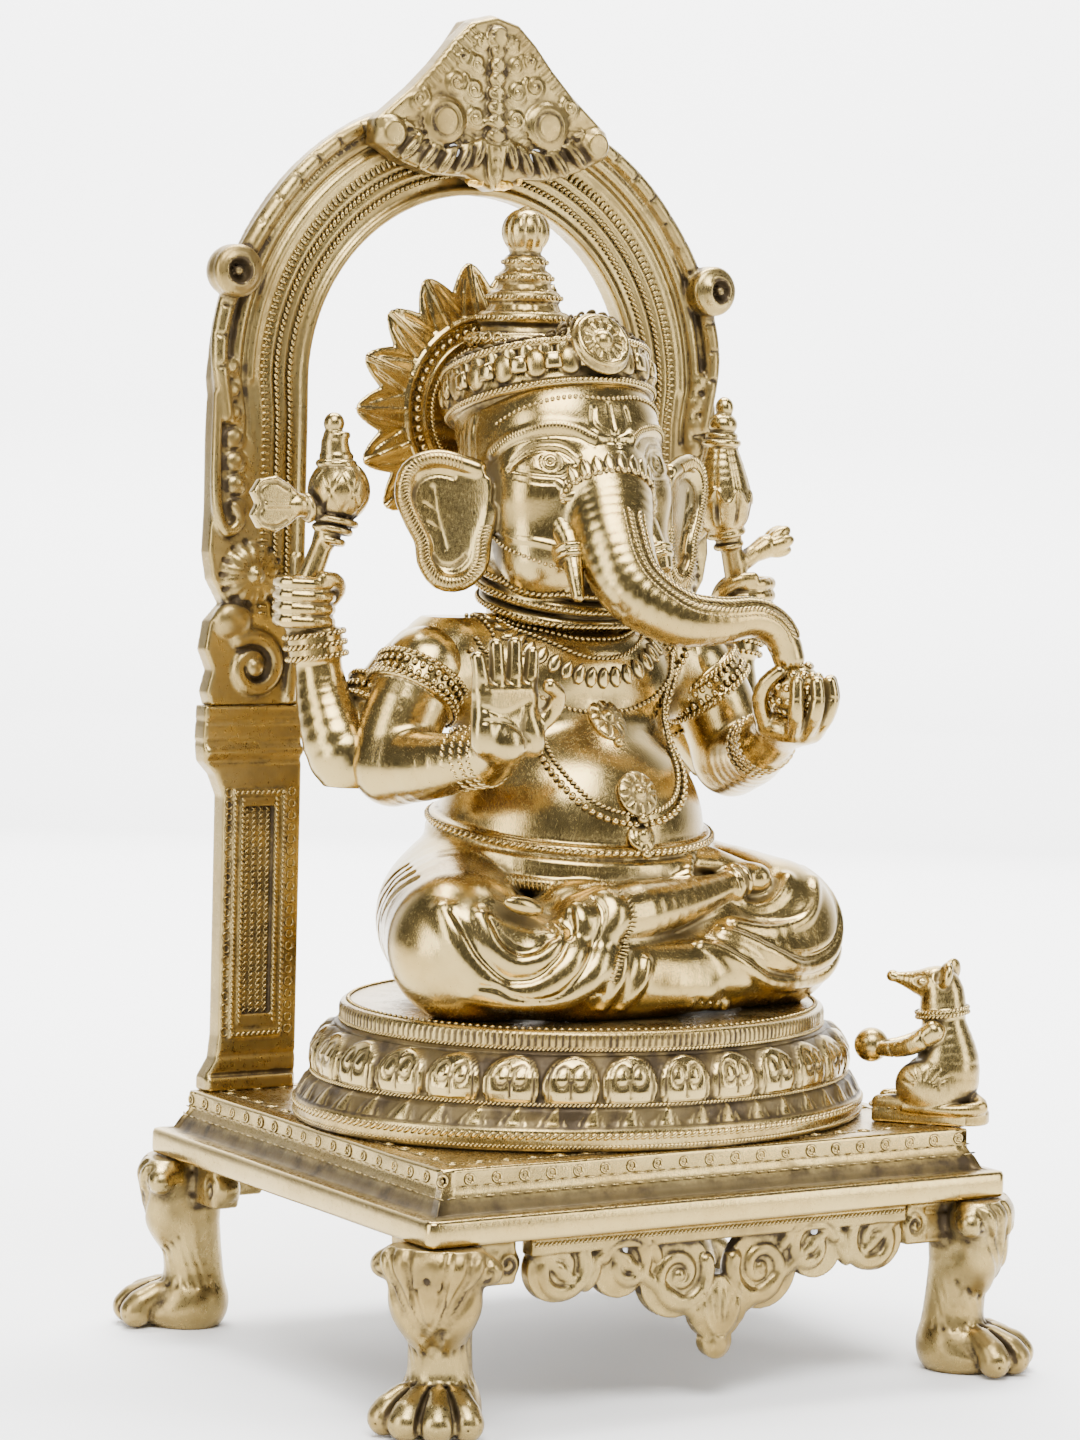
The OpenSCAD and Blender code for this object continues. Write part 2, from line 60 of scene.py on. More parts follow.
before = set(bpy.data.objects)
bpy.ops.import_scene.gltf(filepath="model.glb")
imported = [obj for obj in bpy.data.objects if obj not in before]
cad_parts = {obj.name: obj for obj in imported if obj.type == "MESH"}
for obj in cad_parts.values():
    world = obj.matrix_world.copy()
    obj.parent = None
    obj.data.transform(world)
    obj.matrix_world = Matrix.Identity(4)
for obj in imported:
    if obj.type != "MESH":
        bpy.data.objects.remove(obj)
CAD_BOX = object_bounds()
MM = 0.001
FAR = 60.0
LEFT = 1
RIGHT = -1
# body, colour slot and finish of each family of pieces
CARVED = ("base", "polished_brass", "carved")
SMOOTH = ("base", "polished_brass", "polished")
PLINTH = ("base", "polished_brass", "plinth")
AGED = ("base", "antiqued_brass", "aged")
ARCH = ("back_arch", "antiqued_brass", "aged")
BRAZE = ("back_arch", "antiqued_brass", "braze")


# ---------------------------------------------------------------- solids by distance, in millimetres


def f32(values):
    return np.asarray(values, np.float32)


def length(rows):
    return np.sqrt(np.einsum("...k,...k->...", rows, rows))


def unit(v):
    v = np.asarray(v, float)
    return v / np.linalg.norm(v)


def box_mm(node):
    """Lowest and highest corners of a CAD node, in millimetres."""
    low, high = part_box(node)
    return np.array(low) / MM, np.array(high) / MM


def middle(node):
    low, high = box_mm(node)
    return (low + high) / 2


class Form:
    """A solid given by its distance function, with the box it stays in."""

    def __init__(self, far, low, high):
        self.far, self.low, self.high = far, f32(low), f32(high)


def axes(along, up=(0, 0, 1)):
    """Rows are a local frame: x along, z as near to up as it can be."""
    x = unit(along)
    y = np.cross(up, x)
    y = unit(y) if np.linalg.norm(y) > 1e-6 else unit(np.cross((0, 1, 0.01), x))
    return f32([x, y, np.cross(x, y)])


def flip(points, side):
    """Mirrors points to the figure's left or right side."""
    return np.asarray(points, float) * (side, 1, 1)


def ball(at, r):
    at = f32(at)
    return Form(lambda p: length(p - at) - r, at - r, at + r)


def oval(at, radii, turn=None):
    """An ellipsoid whose axes are the rows of turn."""
    at, radii = f32(at), f32(radii)
    turn = f32(np.eye(3) if turn is None else turn)
    reach = np.sqrt(((turn.T * radii) ** 2).sum(1))

    def far(p):
        q = (p - at) @ turn.T
        k0, k1 = length(q / radii), length(q / radii**2)
        return np.where(k1 > 1e-5, k0 / np.maximum(k1, 1e-5), radii.min()) * (k0 - 1)

    return Form(far, at - reach, at + reach)


def chain(points, radii):
    """A tapering round bar through points."""
    a = f32(points)
    r = np.broadcast_to(f32(radii), (len(a),)).astype(np.float32)
    d, dr = np.diff(a, axis=0), np.diff(r)
    square = np.maximum((d * d).sum(1), 1e-9)

    def far(p):
        w = p[:, None, :] - a[:-1]
        t = np.clip(np.einsum("nsk,sk->ns", w, d) / square, 0, 1)
        return (length(w - t[..., None] * d) - r[:-1] - dr * t).min(1)

    return Form(far, (a - r[:, None]).min(0), (a + r[:, None]).max(0))


def limb(a, b, ra, rb=None):
    return chain([a, b], [ra, ra if rb is None else rb])


def strap(points, radii, flat, up):
    """A bar through points, flattened along up to a share of its width."""
    up = f32(unit(up))
    squash = np.eye(3, dtype=np.float32) + (1 / flat - 1) * np.outer(up, up).astype(np.float32)
    inner = chain(f32(points) @ squash, radii)
    low, high = f32(points).min(0) - np.max(radii), f32(points).max(0) + np.max(radii)
    return Form(lambda p: inner.far(p @ squash) * flat ** 0.5, low, high)


def block(at, half, turn=None, soft=0.5):
    at, half = f32(at), f32(half)
    turn = f32(np.eye(3) if turn is None else turn)
    reach = (np.abs(turn.T) * half).sum(1)

    def far(p):
        q = np.abs((p - at) @ turn.T) - half + soft
        return length(np.maximum(q, 0)) + np.minimum(q.max(1), 0) - soft

    return Form(far, at - reach, at + reach)


def ring(at, axis, big, small):
    """A torus."""
    at, axis = f32(at), f32(unit(axis))

    def far(p):
        q = p - at
        h = q @ axis
        return np.hypot(length(q - h[:, None] * axis) - big, h) - small

    reach = np.sqrt(np.maximum(1 - axis**2, 0)) * big + small
    return Form(far, at - reach, at + reach)


def drum(a, b, ra, rb=None, soft=0.4):
    """A straight round bar with flat ends."""
    a, b = f32(a), f32(b)
    rb = ra if rb is None else rb
    tall = float(np.linalg.norm(b - a))
    axis = (b - a) / tall

    def far(p):
        q = p - (a + b) / 2
        h = q @ axis
        r = ra + (rb - ra) * np.clip(h / tall + 0.5, 0, 1)
        u = length(q - h[:, None] * axis) - r + soft
        v = np.abs(h) - tall / 2 + soft
        return np.hypot(np.maximum(u, 0), np.maximum(v, 0)) + np.minimum(np.maximum(u, v), 0) - soft

    reach = np.sqrt(np.maximum(1 - axis**2, 0)) * max(ra, rb)
    return Form(far, np.minimum(a, b) - reach, np.maximum(a, b) + reach)


def outline(points, soft=0.4):
    """Signed distance to a flat closed outline, as a function of two coordinates."""
    a = f32(points)
    b = np.roll(a, -1, 0)
    d = b - a

    def far(x, y):
        w = np.stack([x, y], 1)[:, None, :] - a
        t = np.clip(np.einsum("nsk,sk->ns", w, d) / (d * d).sum(1), 0, 1)
        q = w - t[..., None] * d
        gap = np.sqrt(np.einsum("nsk,nsk->ns", q, q).min(1))
        over = (a[:, 1] <= y[:, None]) != (b[:, 1] <= y[:, None])
        at = a[:, 0] + (y[:, None] - a[:, 1]) * d[:, 0] / np.where(d[:, 1] == 0, 1e-9, d[:, 1])
        return np.where((over & (x[:, None] < at)).sum(1) % 2, -gap, gap) + soft

    return far


def slice_xz(points, y0, y1, soft=0.8):
    """An upright plate: an outline in X and Z, between two values of Y, with softened edges."""
    flat = outline(points, soft)
    a = f32(points)

    def far(p):
        u = flat(p[:, 0], p[:, 2])
        v = np.abs(p[:, 1] - (y0 + y1) / 2) - (y1 - y0) / 2 + soft
        return np.hypot(np.maximum(u, 0), np.maximum(v, 0)) + np.minimum(np.maximum(u, v), 0) - soft

    low, high = a.min(0), a.max(0)
    return Form(far, (low[0], y0, low[1]), (high[0], y1, high[1]))


def half_space(at, out):
    """Everything behind a flat face whose outward direction is out."""
    at, out = f32(at), f32(unit(out))
    return Form(lambda p: (p - at) @ out, (-9e3,) * 3, (9e3,) * 3)


def curve(points, count=24, closed=False):
    """Even points on a smooth curve through the given ones."""
    p = np.asarray(points, float)
    q = np.vstack([p[-1:], p, p[:2]]) if closed else np.vstack(
        [2 * p[:1] - p[1:2], p, 2 * p[-1:] - p[-2:-1]]
    )
    spans = len(q) - 3
    u = np.linspace(0, spans, 12 * spans + 1)
    i = np.minimum(u.astype(int), spans - 1)
    f = (u - i)[:, None]
    a, b, c, d = q[i], q[i + 1], q[i + 2], q[i + 3]
    out = 0.5 * (2 * b + (c - a) * f + (2 * a - 5 * b + 4 * c - d) * f**2 + (3 * b - a - 3 * c + d) * f**3)
    run = np.concatenate([[0], np.cumsum(length(np.diff(out, axis=0)))])
    want = np.linspace(0, run[-1], count)
    return np.stack([np.interp(want, run, out[:, k]) for k in range(out.shape[1])], 1)


def loop(at, axis, radius, count=48, start=0.0, sweep=360.0, stretch=1.0):
    """Points round an axis. Start is measured from the side nearest +X, or from -Y for an upright axis."""
    axis = unit(axis)
    first = np.cross(axis, (1, 0, 0)) if abs(axis[2]) > 0.9 else np.cross(
        axis, np.cross((1, 0, 0.01), axis)
    )
    first = unit(np.cross(first, axis)) if abs(axis[2]) > 0.9 else unit(np.cross(first, axis))
    second = np.cross(axis, first)
    t = np.radians(start + np.linspace(0, sweep, count))
    return np.asarray(at, float) + radius * (
        np.cos(t)[:, None] * first + stretch * np.sin(t)[:, None] * second
    )


def spiral(at, across, up, big, small, turns, count=40, start=0.0):
    """A flat spiral in the plane of across and up."""
    t = np.linspace(0, 1, count)
    angle = math.radians(start) + 2 * math.pi * turns * t
    r = big + (small - big) * t
    return np.asarray(at, float) + r[:, None] * (
        np.cos(angle)[:, None] * np.asarray(across, float) + np.sin(angle)[:, None] * np.asarray(up, float)
    )


class Sculpt:
    """A piece built up from forms joined, cut and grooved in order."""

    def __init__(self):
        self.steps = []

    def _put(self, kind, forms, k):
        self.steps += [(kind, form, k) for form in forms]
        self.lows = f32([s[1].low - (abs(s[2]) if s[0] != "groove" else 0) for s in self.steps])
        self.highs = f32([s[1].high + (abs(s[2]) if s[0] != "groove" else 0) for s in self.steps])
        return self

    def add(self, *forms, k=0.0):
        return self._put("add", forms, k)

    def cut(self, *forms, k=0.0):
        return self._put("cut", forms, k)

    def trim(self, *forms, k=0.0):
        wide = [Form(f.far, (-9e3,) * 3, (9e3,) * 3) for f in forms]
        return self._put("trim", wide, k)

    def groove(self, points, width=0.7, depth=0.6):
        """A cut line along points. A negative depth raises a line instead."""
        line = chain(points, 0.0)
        far = lambda p: np.exp(-((line.far(p) / width) ** 2))
        return self._put("groove", [Form(far, line.low - 2.4 * width, line.high + 2.4 * width)], depth)

    def ridge(self, points, width=0.7, height=0.6):
        return self.groove(points, width, -height)

    def relief(self, low, high, rise):
        """Raises the surface by rise(p) inside a box."""
        return self._put("relief", [Form(rise, low, high)], 0.0)

    def at(self, p, margin):
        low, high = p.min(0) - margin, p.max(0) + margin
        d = np.full(len(p), FAR, np.float32)
        for i in np.nonzero(((self.lows <= high) & (self.highs >= low)).all(1))[0]:
            kind, form, k = self.steps[i]
            e = form.far(p)
            if kind == "add":
                d2 = np.minimum(d, e)
                d = d2 - np.maximum(k - np.abs(d - e), 0) ** 2 / (4 * k) if k else d2
            elif kind == "cut":
                d2 = np.maximum(d, -e)
                d = d2 + np.maximum(k - np.abs(d + e), 0) ** 2 / (4 * k) if k else d2
            elif kind == "trim":
                d2 = np.maximum(d, e)
                d = d2 + np.maximum(k - np.abs(d - e), 0) ** 2 / (4 * k) if k else d2
            elif kind == "groove":
                d = d + k * e
            else:
                d = d - e
        return d

    def measure(self, points, margin=6.5, size=7.0):
        """Signed distance at any points, worked out in small neighbourhoods."""
        p = f32(points)
        key = np.floor((p - p.min(0)) / size).astype(np.int64)
        code = (key[:, 0] * 4096 + key[:, 1]) * 4096 + key[:, 2]
        order = np.argsort(code, kind="stable")
        parts = np.split(order, np.nonzero(np.diff(code[order]))[0] + 1)
        out = np.empty(len(p), np.float32)

        def work(part):
            out[part] = self.at(p[part], margin)

        with ThreadPoolExecutor(4) as pool:
            list(pool.map(work, parts))
        return out

    def slope(self, points, step=0.25):
        """Outward direction of the surface near points."""
        p = f32(points)
        n = np.zeros_like(p)
        for k in range(3):
            e = np.zeros(3, np.float32)
            e[k] = step
            n[:, k] = self.measure(p + e, 30) - self.measure(p - e, 30)
        return n / np.maximum(length(n), 1e-6)[:, None]

    def engrave(self, points, count, radius, depth):
        """Cuts a groove along a curve laid on the surface."""
        self.groove(self.settle(curve(points, count))[0], radius, depth)

    def emboss(self, points, count, radius, height):
        """Raises a ridge along a curve laid on the surface."""
        self.ridge(self.settle(curve(points, count))[0], radius, height)

    def settle(self, points, lift=0.0, rounds=4):
        """Moves points on to the surface and returns them with the outward directions."""
        p = f32(points)
        for _ in range(rounds):
            p = p - self.slope(p, 0.4) * np.clip(self.measure(p, 30), -3, 3)[:, None]
        n = self.slope(p, 0.4)
        return p + n * lift, n

    def skin(self, cell, occlude=(1.0, 3.5)):
        """Closed surface of the sculpt: points, four-sided faces, how deep each point sits (laid on as
        patina and painted shade) and how proud each point is.
        """
        solid = [i for i, s in enumerate(self.steps) if s[0] == "add"]
        low, high = self.lows[solid].min(0) - 1.5, self.highs[solid].max(0) + 1.5
        side = 10
        counts = np.ceil((high - low) / (cell * side)).astype(int) + 1
        base = np.stack(np.meshgrid(*[np.arange(c) for c in counts], indexing="ij"), -1).reshape(-1, 3)
        reach = side * cell * 0.5 * math.sqrt(3) * 1.25 + 1.2
        margin = max(6.5, reach + 1)
        coarse = self.measure(low + (base * side + (side - 1) / 2) * cell, margin, side * cell * 2)
        field = np.repeat(
            np.repeat(np.repeat(np.where(coarse > 0, 9, -9).reshape(counts), side, 0), side, 1), side, 2
        )
        field = field.astype(np.float32)
        local = np.stack(np.meshgrid(*[np.arange(side)] * 3, indexing="ij"), -1).reshape(-1, 3)

        def fill(b):
            p = f32(low + (b * side + local) * cell)
            i, j, k = b * side
            field[
                i : i + side, j : j + side, k : k + side
            ] = self.at(p, 1.0 + cell).reshape(side, side, side)

        with ThreadPoolExecutor(4) as pool:
            list(pool.map(fill, base[np.abs(coarse) < reach]))
        verts, quads = surface_net(field, low, cell)
        normal = corner_normals(verts, quads)
        verts = verts - normal * np.clip(self.measure(verts), -0.6 * cell, 0.6 * cell)[:, None]
        normal = corner_normals(verts, quads)
        # occlusion of each point; the finishes darken it as real patina and as painted shade
        deep = np.zeros(len(verts), np.float32)
        for h in occlude:
            deep += np.clip(1 - self.measure(verts + normal * h) / h, 0, 1) / len(occlude)
        proud = np.clip(1 + self.measure(verts - normal * 1.2) / 1.2, 0, 1)
        return verts, quads, np.clip(deep * 1.5, 0, 1), proud


CORNERS = np.array([(a, b, c) for a in (0, 1) for b in (0, 1) for c in (0, 1)])
EDGES = [(u, v) for u in range(8) for v in range(u + 1, 8) if np.abs(CORNERS[u] - CORNERS[v]).sum() == 1]


def surface_net(field, low, cell):
    """Surface nets on a dense grid of distances."""
    inside = field < 0
    n = [s - 1 for s in field.shape]
    total = sum(inside[a : a + n[0], b : b + n[1], c : c + n[2]].astype(np.uint8) for a, b, c in CORNERS)
    cells = np.argwhere((total > 0) & (total < 8))
    i, j, k = cells.T
    values = [field[i + a, j + b, k + c] for a, b, c in CORNERS]
    spot, count = np.zeros((len(cells), 3)), np.zeros(len(cells))
    for u, v in EDGES:
        crossed = (values[u] < 0) != (values[v] < 0)
        t = np.where(crossed, values[u] / np.where(crossed, values[u] - values[v], 1), 0)
        spot += crossed[:, None] * (CORNERS[u] + t[:, None] * (CORNERS[v] - CORNERS[u]))
        count += crossed
    verts = low + cell * (cells + spot / count[:, None])
    index = np.full(n, -1, np.int64)
    index[i, j, k] = np.arange(len(cells))
    quads = []
    for axis in range(3):
        a = inside[tuple(slice(0, -1) if x == axis else slice(1, -1) for x in range(3))]
        b = inside[tuple(slice(1, None) if x == axis else slice(1, -1) for x in range(3))]
        e = np.argwhere(a != b)
        out = a[tuple(e.T)]
        one, two = np.zeros(3, int), np.zeros(3, int)
        one[(axis + 1) % 3] = two[(axis + 2) % 3] = 1
        e = e + one + two
        q = np.stack([index[tuple(c.T)] for c in (e, e - one, e - one - two, e - two)], 1)
        quads += [q[out], q[~out][:, ::-1]]
    return verts, np.vstack(quads)


def corner_normals(verts, quads):
    v = verts[quads]
    n = np.cross(v[:, 2] - v[:, 0], v[:, 3] - v[:, 1])
    out = np.zeros_like(verts)
    for c in range(4):
        for k in range(3):
            out[:, k] += np.bincount(quads[:, c], n[:, k], len(verts))
    return out / np.maximum(length(out), 1e-9)[:, None]


# ---------------------------------------------------------------- meshes


def float_layer(mesh, name, values):
    layer = mesh.attributes.new(name, "FLOAT", "POINT")
    layer.data.foreach_set("value", np.broadcast_to(f32(values), (len(mesh.vertices),)).copy())


def finish_piece(obj, body, slot, look, *nodes):
    """Gives a piece its body and finish, and lets it stand for its CAD nodes; slot is not used."""
    obj.data.materials.clear()
    obj.data.materials.append(finish(look))
    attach(obj, body)
    if nodes:
        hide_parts(*nodes)
    return obj


def mesh_object(name, verts, faces, deep=0.0, proud=0.0, edges=()):
    """A smooth mesh object from millimetres."""
    mesh = bpy.data.meshes.new(name)
    mesh.from_pydata(
        (np.asarray(verts, float) * MM).tolist(), list(edges),
        faces.tolist() if isinstance(faces, np.ndarray) else faces
    )
    if len(faces):
        mesh.polygons.foreach_set("use_smooth", np.ones(len(mesh.polygons), bool))
    # occlusion darkness for the finishes: patina and painted shade in the hollows
    float_layer(mesh, "patina_and_shade", deep)
    float_layer(mesh, "wear", proud)
    mesh.update()
    obj = bpy.data.objects.new(name, mesh)
    bpy.context.scene.collection.objects.link(obj)
    return obj


def cast(name, sculpt, cell, body, slot, look, *nodes):
    """Turns a sculpt into a finished piece."""
    verts, quads, deep, proud = sculpt.skin(cell)
    if not len(quads):
        raise RuntimeError(name + " came out empty")
    print(f"  {name}: {2 * len(quads)} triangles")
    return finish_piece(mesh_object(name, verts, quads, deep, proud), body, slot, look, *nodes)


# ---------------------------------------------------------------- ornaments along a path


def build_strand_tree():
    """Geometry Nodes: an ornament repeated along every path, standing on the surface the path lies on."""
    tree = bpy.data.node_groups.new("ornament_strand", "GeometryNodeTree")
    face = tree.interface
    face.new_socket("Geometry", in_out="INPUT", socket_type="NodeSocketGeometry")
    face.new_socket("Ornament", in_out="INPUT", socket_type="NodeSocketObject")
    spacing = face.new_socket("Spacing", in_out="INPUT", socket_type="NodeSocketFloat")
    spacing.default_value, spacing.min_value, spacing.subtype = 0.002, 0.0002, "DISTANCE"
    face.new_socket("Size", in_out="INPUT", socket_type="NodeSocketFloat").default_value = 1.0
    uneven = face.new_socket("Unevenness", in_out="INPUT", socket_type="NodeSocketFloat")
    uneven.default_value, uneven.subtype = 0.05, "FACTOR"
    face.new_socket("Material", in_out="INPUT", socket_type="NodeSocketMaterial")
    face.new_socket("Geometry", in_out="OUTPUT", socket_type="NodeSocketGeometry")
    nodes, link = tree.nodes, tree.links.new

    def node(kind, settings=None, **sockets):
        made = nodes.new(kind)
        for key, value in (settings or {}).items():
            setattr(made, key, value)
        for key, value in sockets.items():
            socket = made.inputs[key.replace("_", " ")]
            if isinstance(value, bpy.types.NodeSocket):
                link(value, socket)
            else:
                socket.default_value = value
        return made

    given = nodes.new("NodeGroupInput").outputs
    to_curve = node("GeometryNodeMeshToCurve", Mesh=given["Geometry"])
    evened = node(
        "GeometryNodeResampleCurve", {"mode": "LENGTH"}, Curve=to_curve.outputs[0], Length=given["Spacing"]
    )
    up = node("GeometryNodeInputNamedAttribute", {"data_type": "FLOAT_VECTOR"}, Name="up")
    share = node("GeometryNodeInputNamedAttribute", {"data_type": "FLOAT"}, Name="share")
    stand = node("FunctionNodeAlignRotationToVector", {"axis": "Z"}, Vector=up.outputs[0])
    along = node(
        "FunctionNodeAlignRotationToVector",
        {"axis": "X", "pivot_axis": "Z"},
        Rotation=stand.outputs[0],
        Vector=node("GeometryNodeInputTangent").outputs[0],
    )
    wobble = nodes.new("FunctionNodeRandomValue")
    wobble.data_type = "FLOAT"
    floats = [s for s in wobble.inputs if s.type == "VALUE" and s.enabled]
    floats[0].default_value, floats[1].default_value = -1.0, 1.0
    wobble.inputs["Seed"].default_value = 7
    swing = node("ShaderNodeMath", {"operation": "MULTIPLY_ADD"})
    link(next(s for s in wobble.outputs if s.enabled), swing.inputs[0])
    link(given["Unevenness"], swing.inputs[1])
    link(given["Size"], swing.inputs[2])
    size = node("ShaderNodeMath", {"operation": "MULTIPLY"})
    link(swing.outputs[0], size.inputs[0])
    link(share.outputs[0], size.inputs[1])
    ornament = node("GeometryNodeObjectInfo", Object=given["Ornament"])
    placed = node(
        "GeometryNodeInstanceOnPoints",
        Points=evened.outputs[0],
        Instance=ornament.outputs["Geometry"],
        Rotation=along.outputs[0],
        Scale=size.outputs[0],
    )
    real = node("GeometryNodeRealizeInstances", Geometry=placed.outputs[0])
    smooth = node("GeometryNodeSetShadeSmooth", Geometry=real.outputs[0])
    painted = node("GeometryNodeSetMaterial", Geometry=smooth.outputs[0], Material=given["Material"])
    link(painted.outputs[0], nodes.new("NodeGroupOutput").inputs[0])
    return tree


class Path:
    """A line that ornaments follow: points in millimetres, the way up and the size at each."""

    def __init__(self, points, ups, share=1.0, closed=False):
        self.points = np.asarray(points, float)
        self.ups = np.broadcast_to(np.asarray(ups, float), self.points.shape)
        self.share = np.broadcast_to(np.asarray(share, float), (len(self.points),))
        self.closed = closed and len(self.points) > 2
        if self.closed and np.linalg.norm(self.points[0] - self.points[-1]) < 1e-3:
            self.points, self.ups, self.share = self.points[:-1], self.ups[:-1], self.share[:-1]


def on_surface(sculpt, points, lift=0.0, share=1.0, closed=False):
    """A path laid on a sculpt's surface."""
    spots, ups = sculpt.settle(points, lift)
    return Path(spots, ups, share, closed)


def strand(name, paths, ornament, spacing, body, slot, look, size=1.0, uneven=0.04):
    """Repeats an ornament along paths as one piece."""
    verts, ups, shares, edges = [], [], [], []
    for path in paths:
        first, n = len(verts), len(path.points)
        verts += path.points.tolist()
        ups += path.ups.tolist()
        shares += path.share.tolist()
        edges += [(first + i, first + i + 1) for i in range(n - 1)]
        if path.closed:
            edges.append((first + n - 1, first))
    host = mesh_object(name, verts, [], edges=edges)
    layer = host.data.attributes.new("up", "FLOAT_VECTOR", "POINT")
    layer.data.foreach_set("vector", f32(ups).ravel())
    float_layer(host.data, "share", shares)
    host.data.attributes.remove(host.data.attributes["patina_and_shade"])
    host.data.attributes.remove(host.data.attributes["wear"])
    tree = bpy.data.node_groups.get("ornament_strand") or build_strand_tree()
    modifier = host.modifiers.new("ornaments", "NODES")
    modifier.node_group = tree
    names = {s.name: s.identifier for s in tree.interface.items_tree if s.in_out == "INPUT"}
    modifier[names["Ornament"]] = ornament
    modifier[names["Spacing"]] = spacing * MM
    modifier[names["Size"]] = size
    modifier[names["Unevenness"]] = uneven
    modifier[names["Material"]] = finish(look)
    graph = bpy.context.evaluated_depsgraph_get()
    mesh = bpy.data.meshes.new_from_object(host.evaluated_get(graph))
    host.modifiers.remove(modifier)
    old = host.data
    host.data = mesh
    bpy.data.meshes.remove(old)
    if not len(mesh.polygons):
        raise RuntimeError(name + " came out empty")
    for spare in ("up", "share"):
        if spare in mesh.attributes:
            mesh.attributes.remove(mesh.attributes[spare])
    mesh.name = name
    print(f"  {name}: {sum(len(p.vertices) - 2 for p in mesh.polygons)} triangles")
    return finish_piece(host, body, slot, look)


def ornament(name, verts, faces, base=0.0):
    """A small template, darker towards where it meets the surface it stands on: painted shade and patina in
    the joint.
    """
    v = np.asarray(verts, float)
    top = max(v[:, 2].max(), 1e-6)
    # painted shade and patina towards the foot, worn bright on top
    deep = np.clip(1.1 - 1.5 * (v[:, 2] - base) / top, 0, 1)
    obj = mesh_object(name, v, faces, deep, np.clip(1 - 2 * deep, 0, 1))
    bpy.context.scene.collection.objects.unlink(obj)
    return obj


def turned(profile, around=10):
    """Closed mesh turned about Z from (radius, height) pairs that start and end on the axis."""
    inner = profile[1:-1]
    verts = [(0, 0, profile[0][1])]
    for r, z in inner:
        verts += [(r * math.cos(t), r * math.sin(t), z) for t in np.arange(around) * 2 * math.pi / around]
    verts.append((0, 0, profile[-1][1]))
    faces, last = [], len(verts) - 1
    for i in range(around):
        j = (i + 1) % around
        faces.append((0, 1 + j, 1 + i))
        for k in range(len(inner) - 1):
            a, b = 1 + k * around, 1 + (k + 1) * around
            faces.append((a + i, a + j, b + j, b + i))
        a = 1 + (len(inner) - 1) * around
        faces.append((a + i, a + j, last))
    if profile[0][1] > profile[-1][1]:
        faces = [f[::-1] for f in faces]
    return np.array(verts, float), faces


def pad(length_x, width_y, height, spin=0.0, rows=3, around=8, sink=0.35):
    """A low rounded pad, its long side along X, turned by spin degrees."""
    profile = [(0, -sink)] + [
        (math.sin(a) ** 0.7, (height + sink) * (1 - math.cos(a)) / 2 - sink)
        for a in np.linspace(0.35, math.pi - 0.35, rows + 1)
    ] + [(0, height)]
    verts, faces = turned(profile, around)
    verts[:, 0] *= length_x / 2
    verts[:, 1] *= width_y / 2
    c, s = math.cos(math.radians(spin)), math.sin(math.radians(spin))
    verts[:, :2] = verts[:, :2] @ np.array([[c, s], [-s, c]])
    return verts, faces


def hoop(big, small, around=14, thick=5):
    """A flat-lying ring, as a punch leaves it."""
    verts, faces = [], []
    for i in range(around):
        a = 2 * math.pi * i / around
        for k in range(thick):
            b = 2 * math.pi * k / thick
            r = big + small * math.cos(b)
            verts.append((r * math.cos(a), r * math.sin(a), small * 0.8 * math.sin(b)))
            i2, k2 = (i + 1) % around, (k + 1) % thick
            faces.append((i * thick + k, i2 * thick + k, i2 * thick + k2, i * thick + k2))
    return np.array(verts), faces


def leaf(long, wide, high, groove=0.35, rows=7, across=6, point=1.0, heart=0.0):
    """A petal standing on the surface, its tip along +Y, with a closed underside."""
    top = []
    for i in range(rows + 1):
        v = i / rows
        w = wide / 2 * math.sin(math.pi * min(v * 0.93 + 0.07, 1) ** point) ** 0.75
        for j in range(across + 1):
            u = 2 * j / across - 1
            dome = (1 - u * u) ** 0.5 * math.sin(math.pi * (0.12 + 0.8 * v)) ** 0.5
            dip = groove * math.exp(-((u / 0.28) ** 2)) + groove * math.exp(
                -(((abs(u) - 0.72) / 0.14) ** 2)
            )
            y = long * v - heart * long * (1 - abs(u)) * max(0, v - 0.75) * 2
            top.append((u * w, y, high * max(dome - dip * (0.25 < v < 0.93), 0.05)))
    top = np.array(top)
    low = top.copy()
    low[:, 2] = -0.35
    n = across + 1
    count = len(top)
    faces = []
    for i in range(rows):
        for j in range(across):
            a = i * n + j
            faces.append((a, a + 1, a + 1 + n, a + n))
            faces.append((count + a, count + a + n, count + a + 1 + n, count + a + 1))
    rim = [j for j in range(n)] + [i * n + across for i in range(1, rows + 1)]
    rim += [rows * n + j for j in range(across - 1, -1, -1)] + [i * n for i in range(rows - 1, 0, -1)]
    for a, b in zip(rim, rim[1:] + rim[:1]):
        faces.append((b, a, count + a, count + b))
    return np.vstack([top, low]), faces


# ---------------------------------------------------------------- finishes


class Value:
    """A shader socket that does sums."""

    def __init__(self, shader, socket):
        self.shader, self.socket = shader, socket

    def _sum(self, operation, *others):
        return self.shader.node("ShaderNodeMath", {"operation": operation}, *others)

    def __add__(self, other):
        return self._sum("ADD", self, other)

    def __mul__(self, other):
        return self._sum("MULTIPLY", self, other)

    def __sub__(self, other):
        return self._sum("SUBTRACT", self, other)

    def __rsub__(self, other):
        return self._sum("SUBTRACT", other, self)

    __radd__, __rmul__ = __add__, __mul__

    def between(self, low, high):
        """0 below low, 1 above high, smooth between."""
        return self.shader.node(
            "ShaderNodeMapRange",
            {"interpolation_type": "SMOOTHSTEP"},
            Value=self,
            From_Min=low,
            From_Max=high,
            To_Min=0.0,
            To_Max=1.0,
        )

    def clamped(self):
        return self.shader.node("ShaderNodeMath", {"operation": "ADD", "use_clamp": True}, self, 0.0)


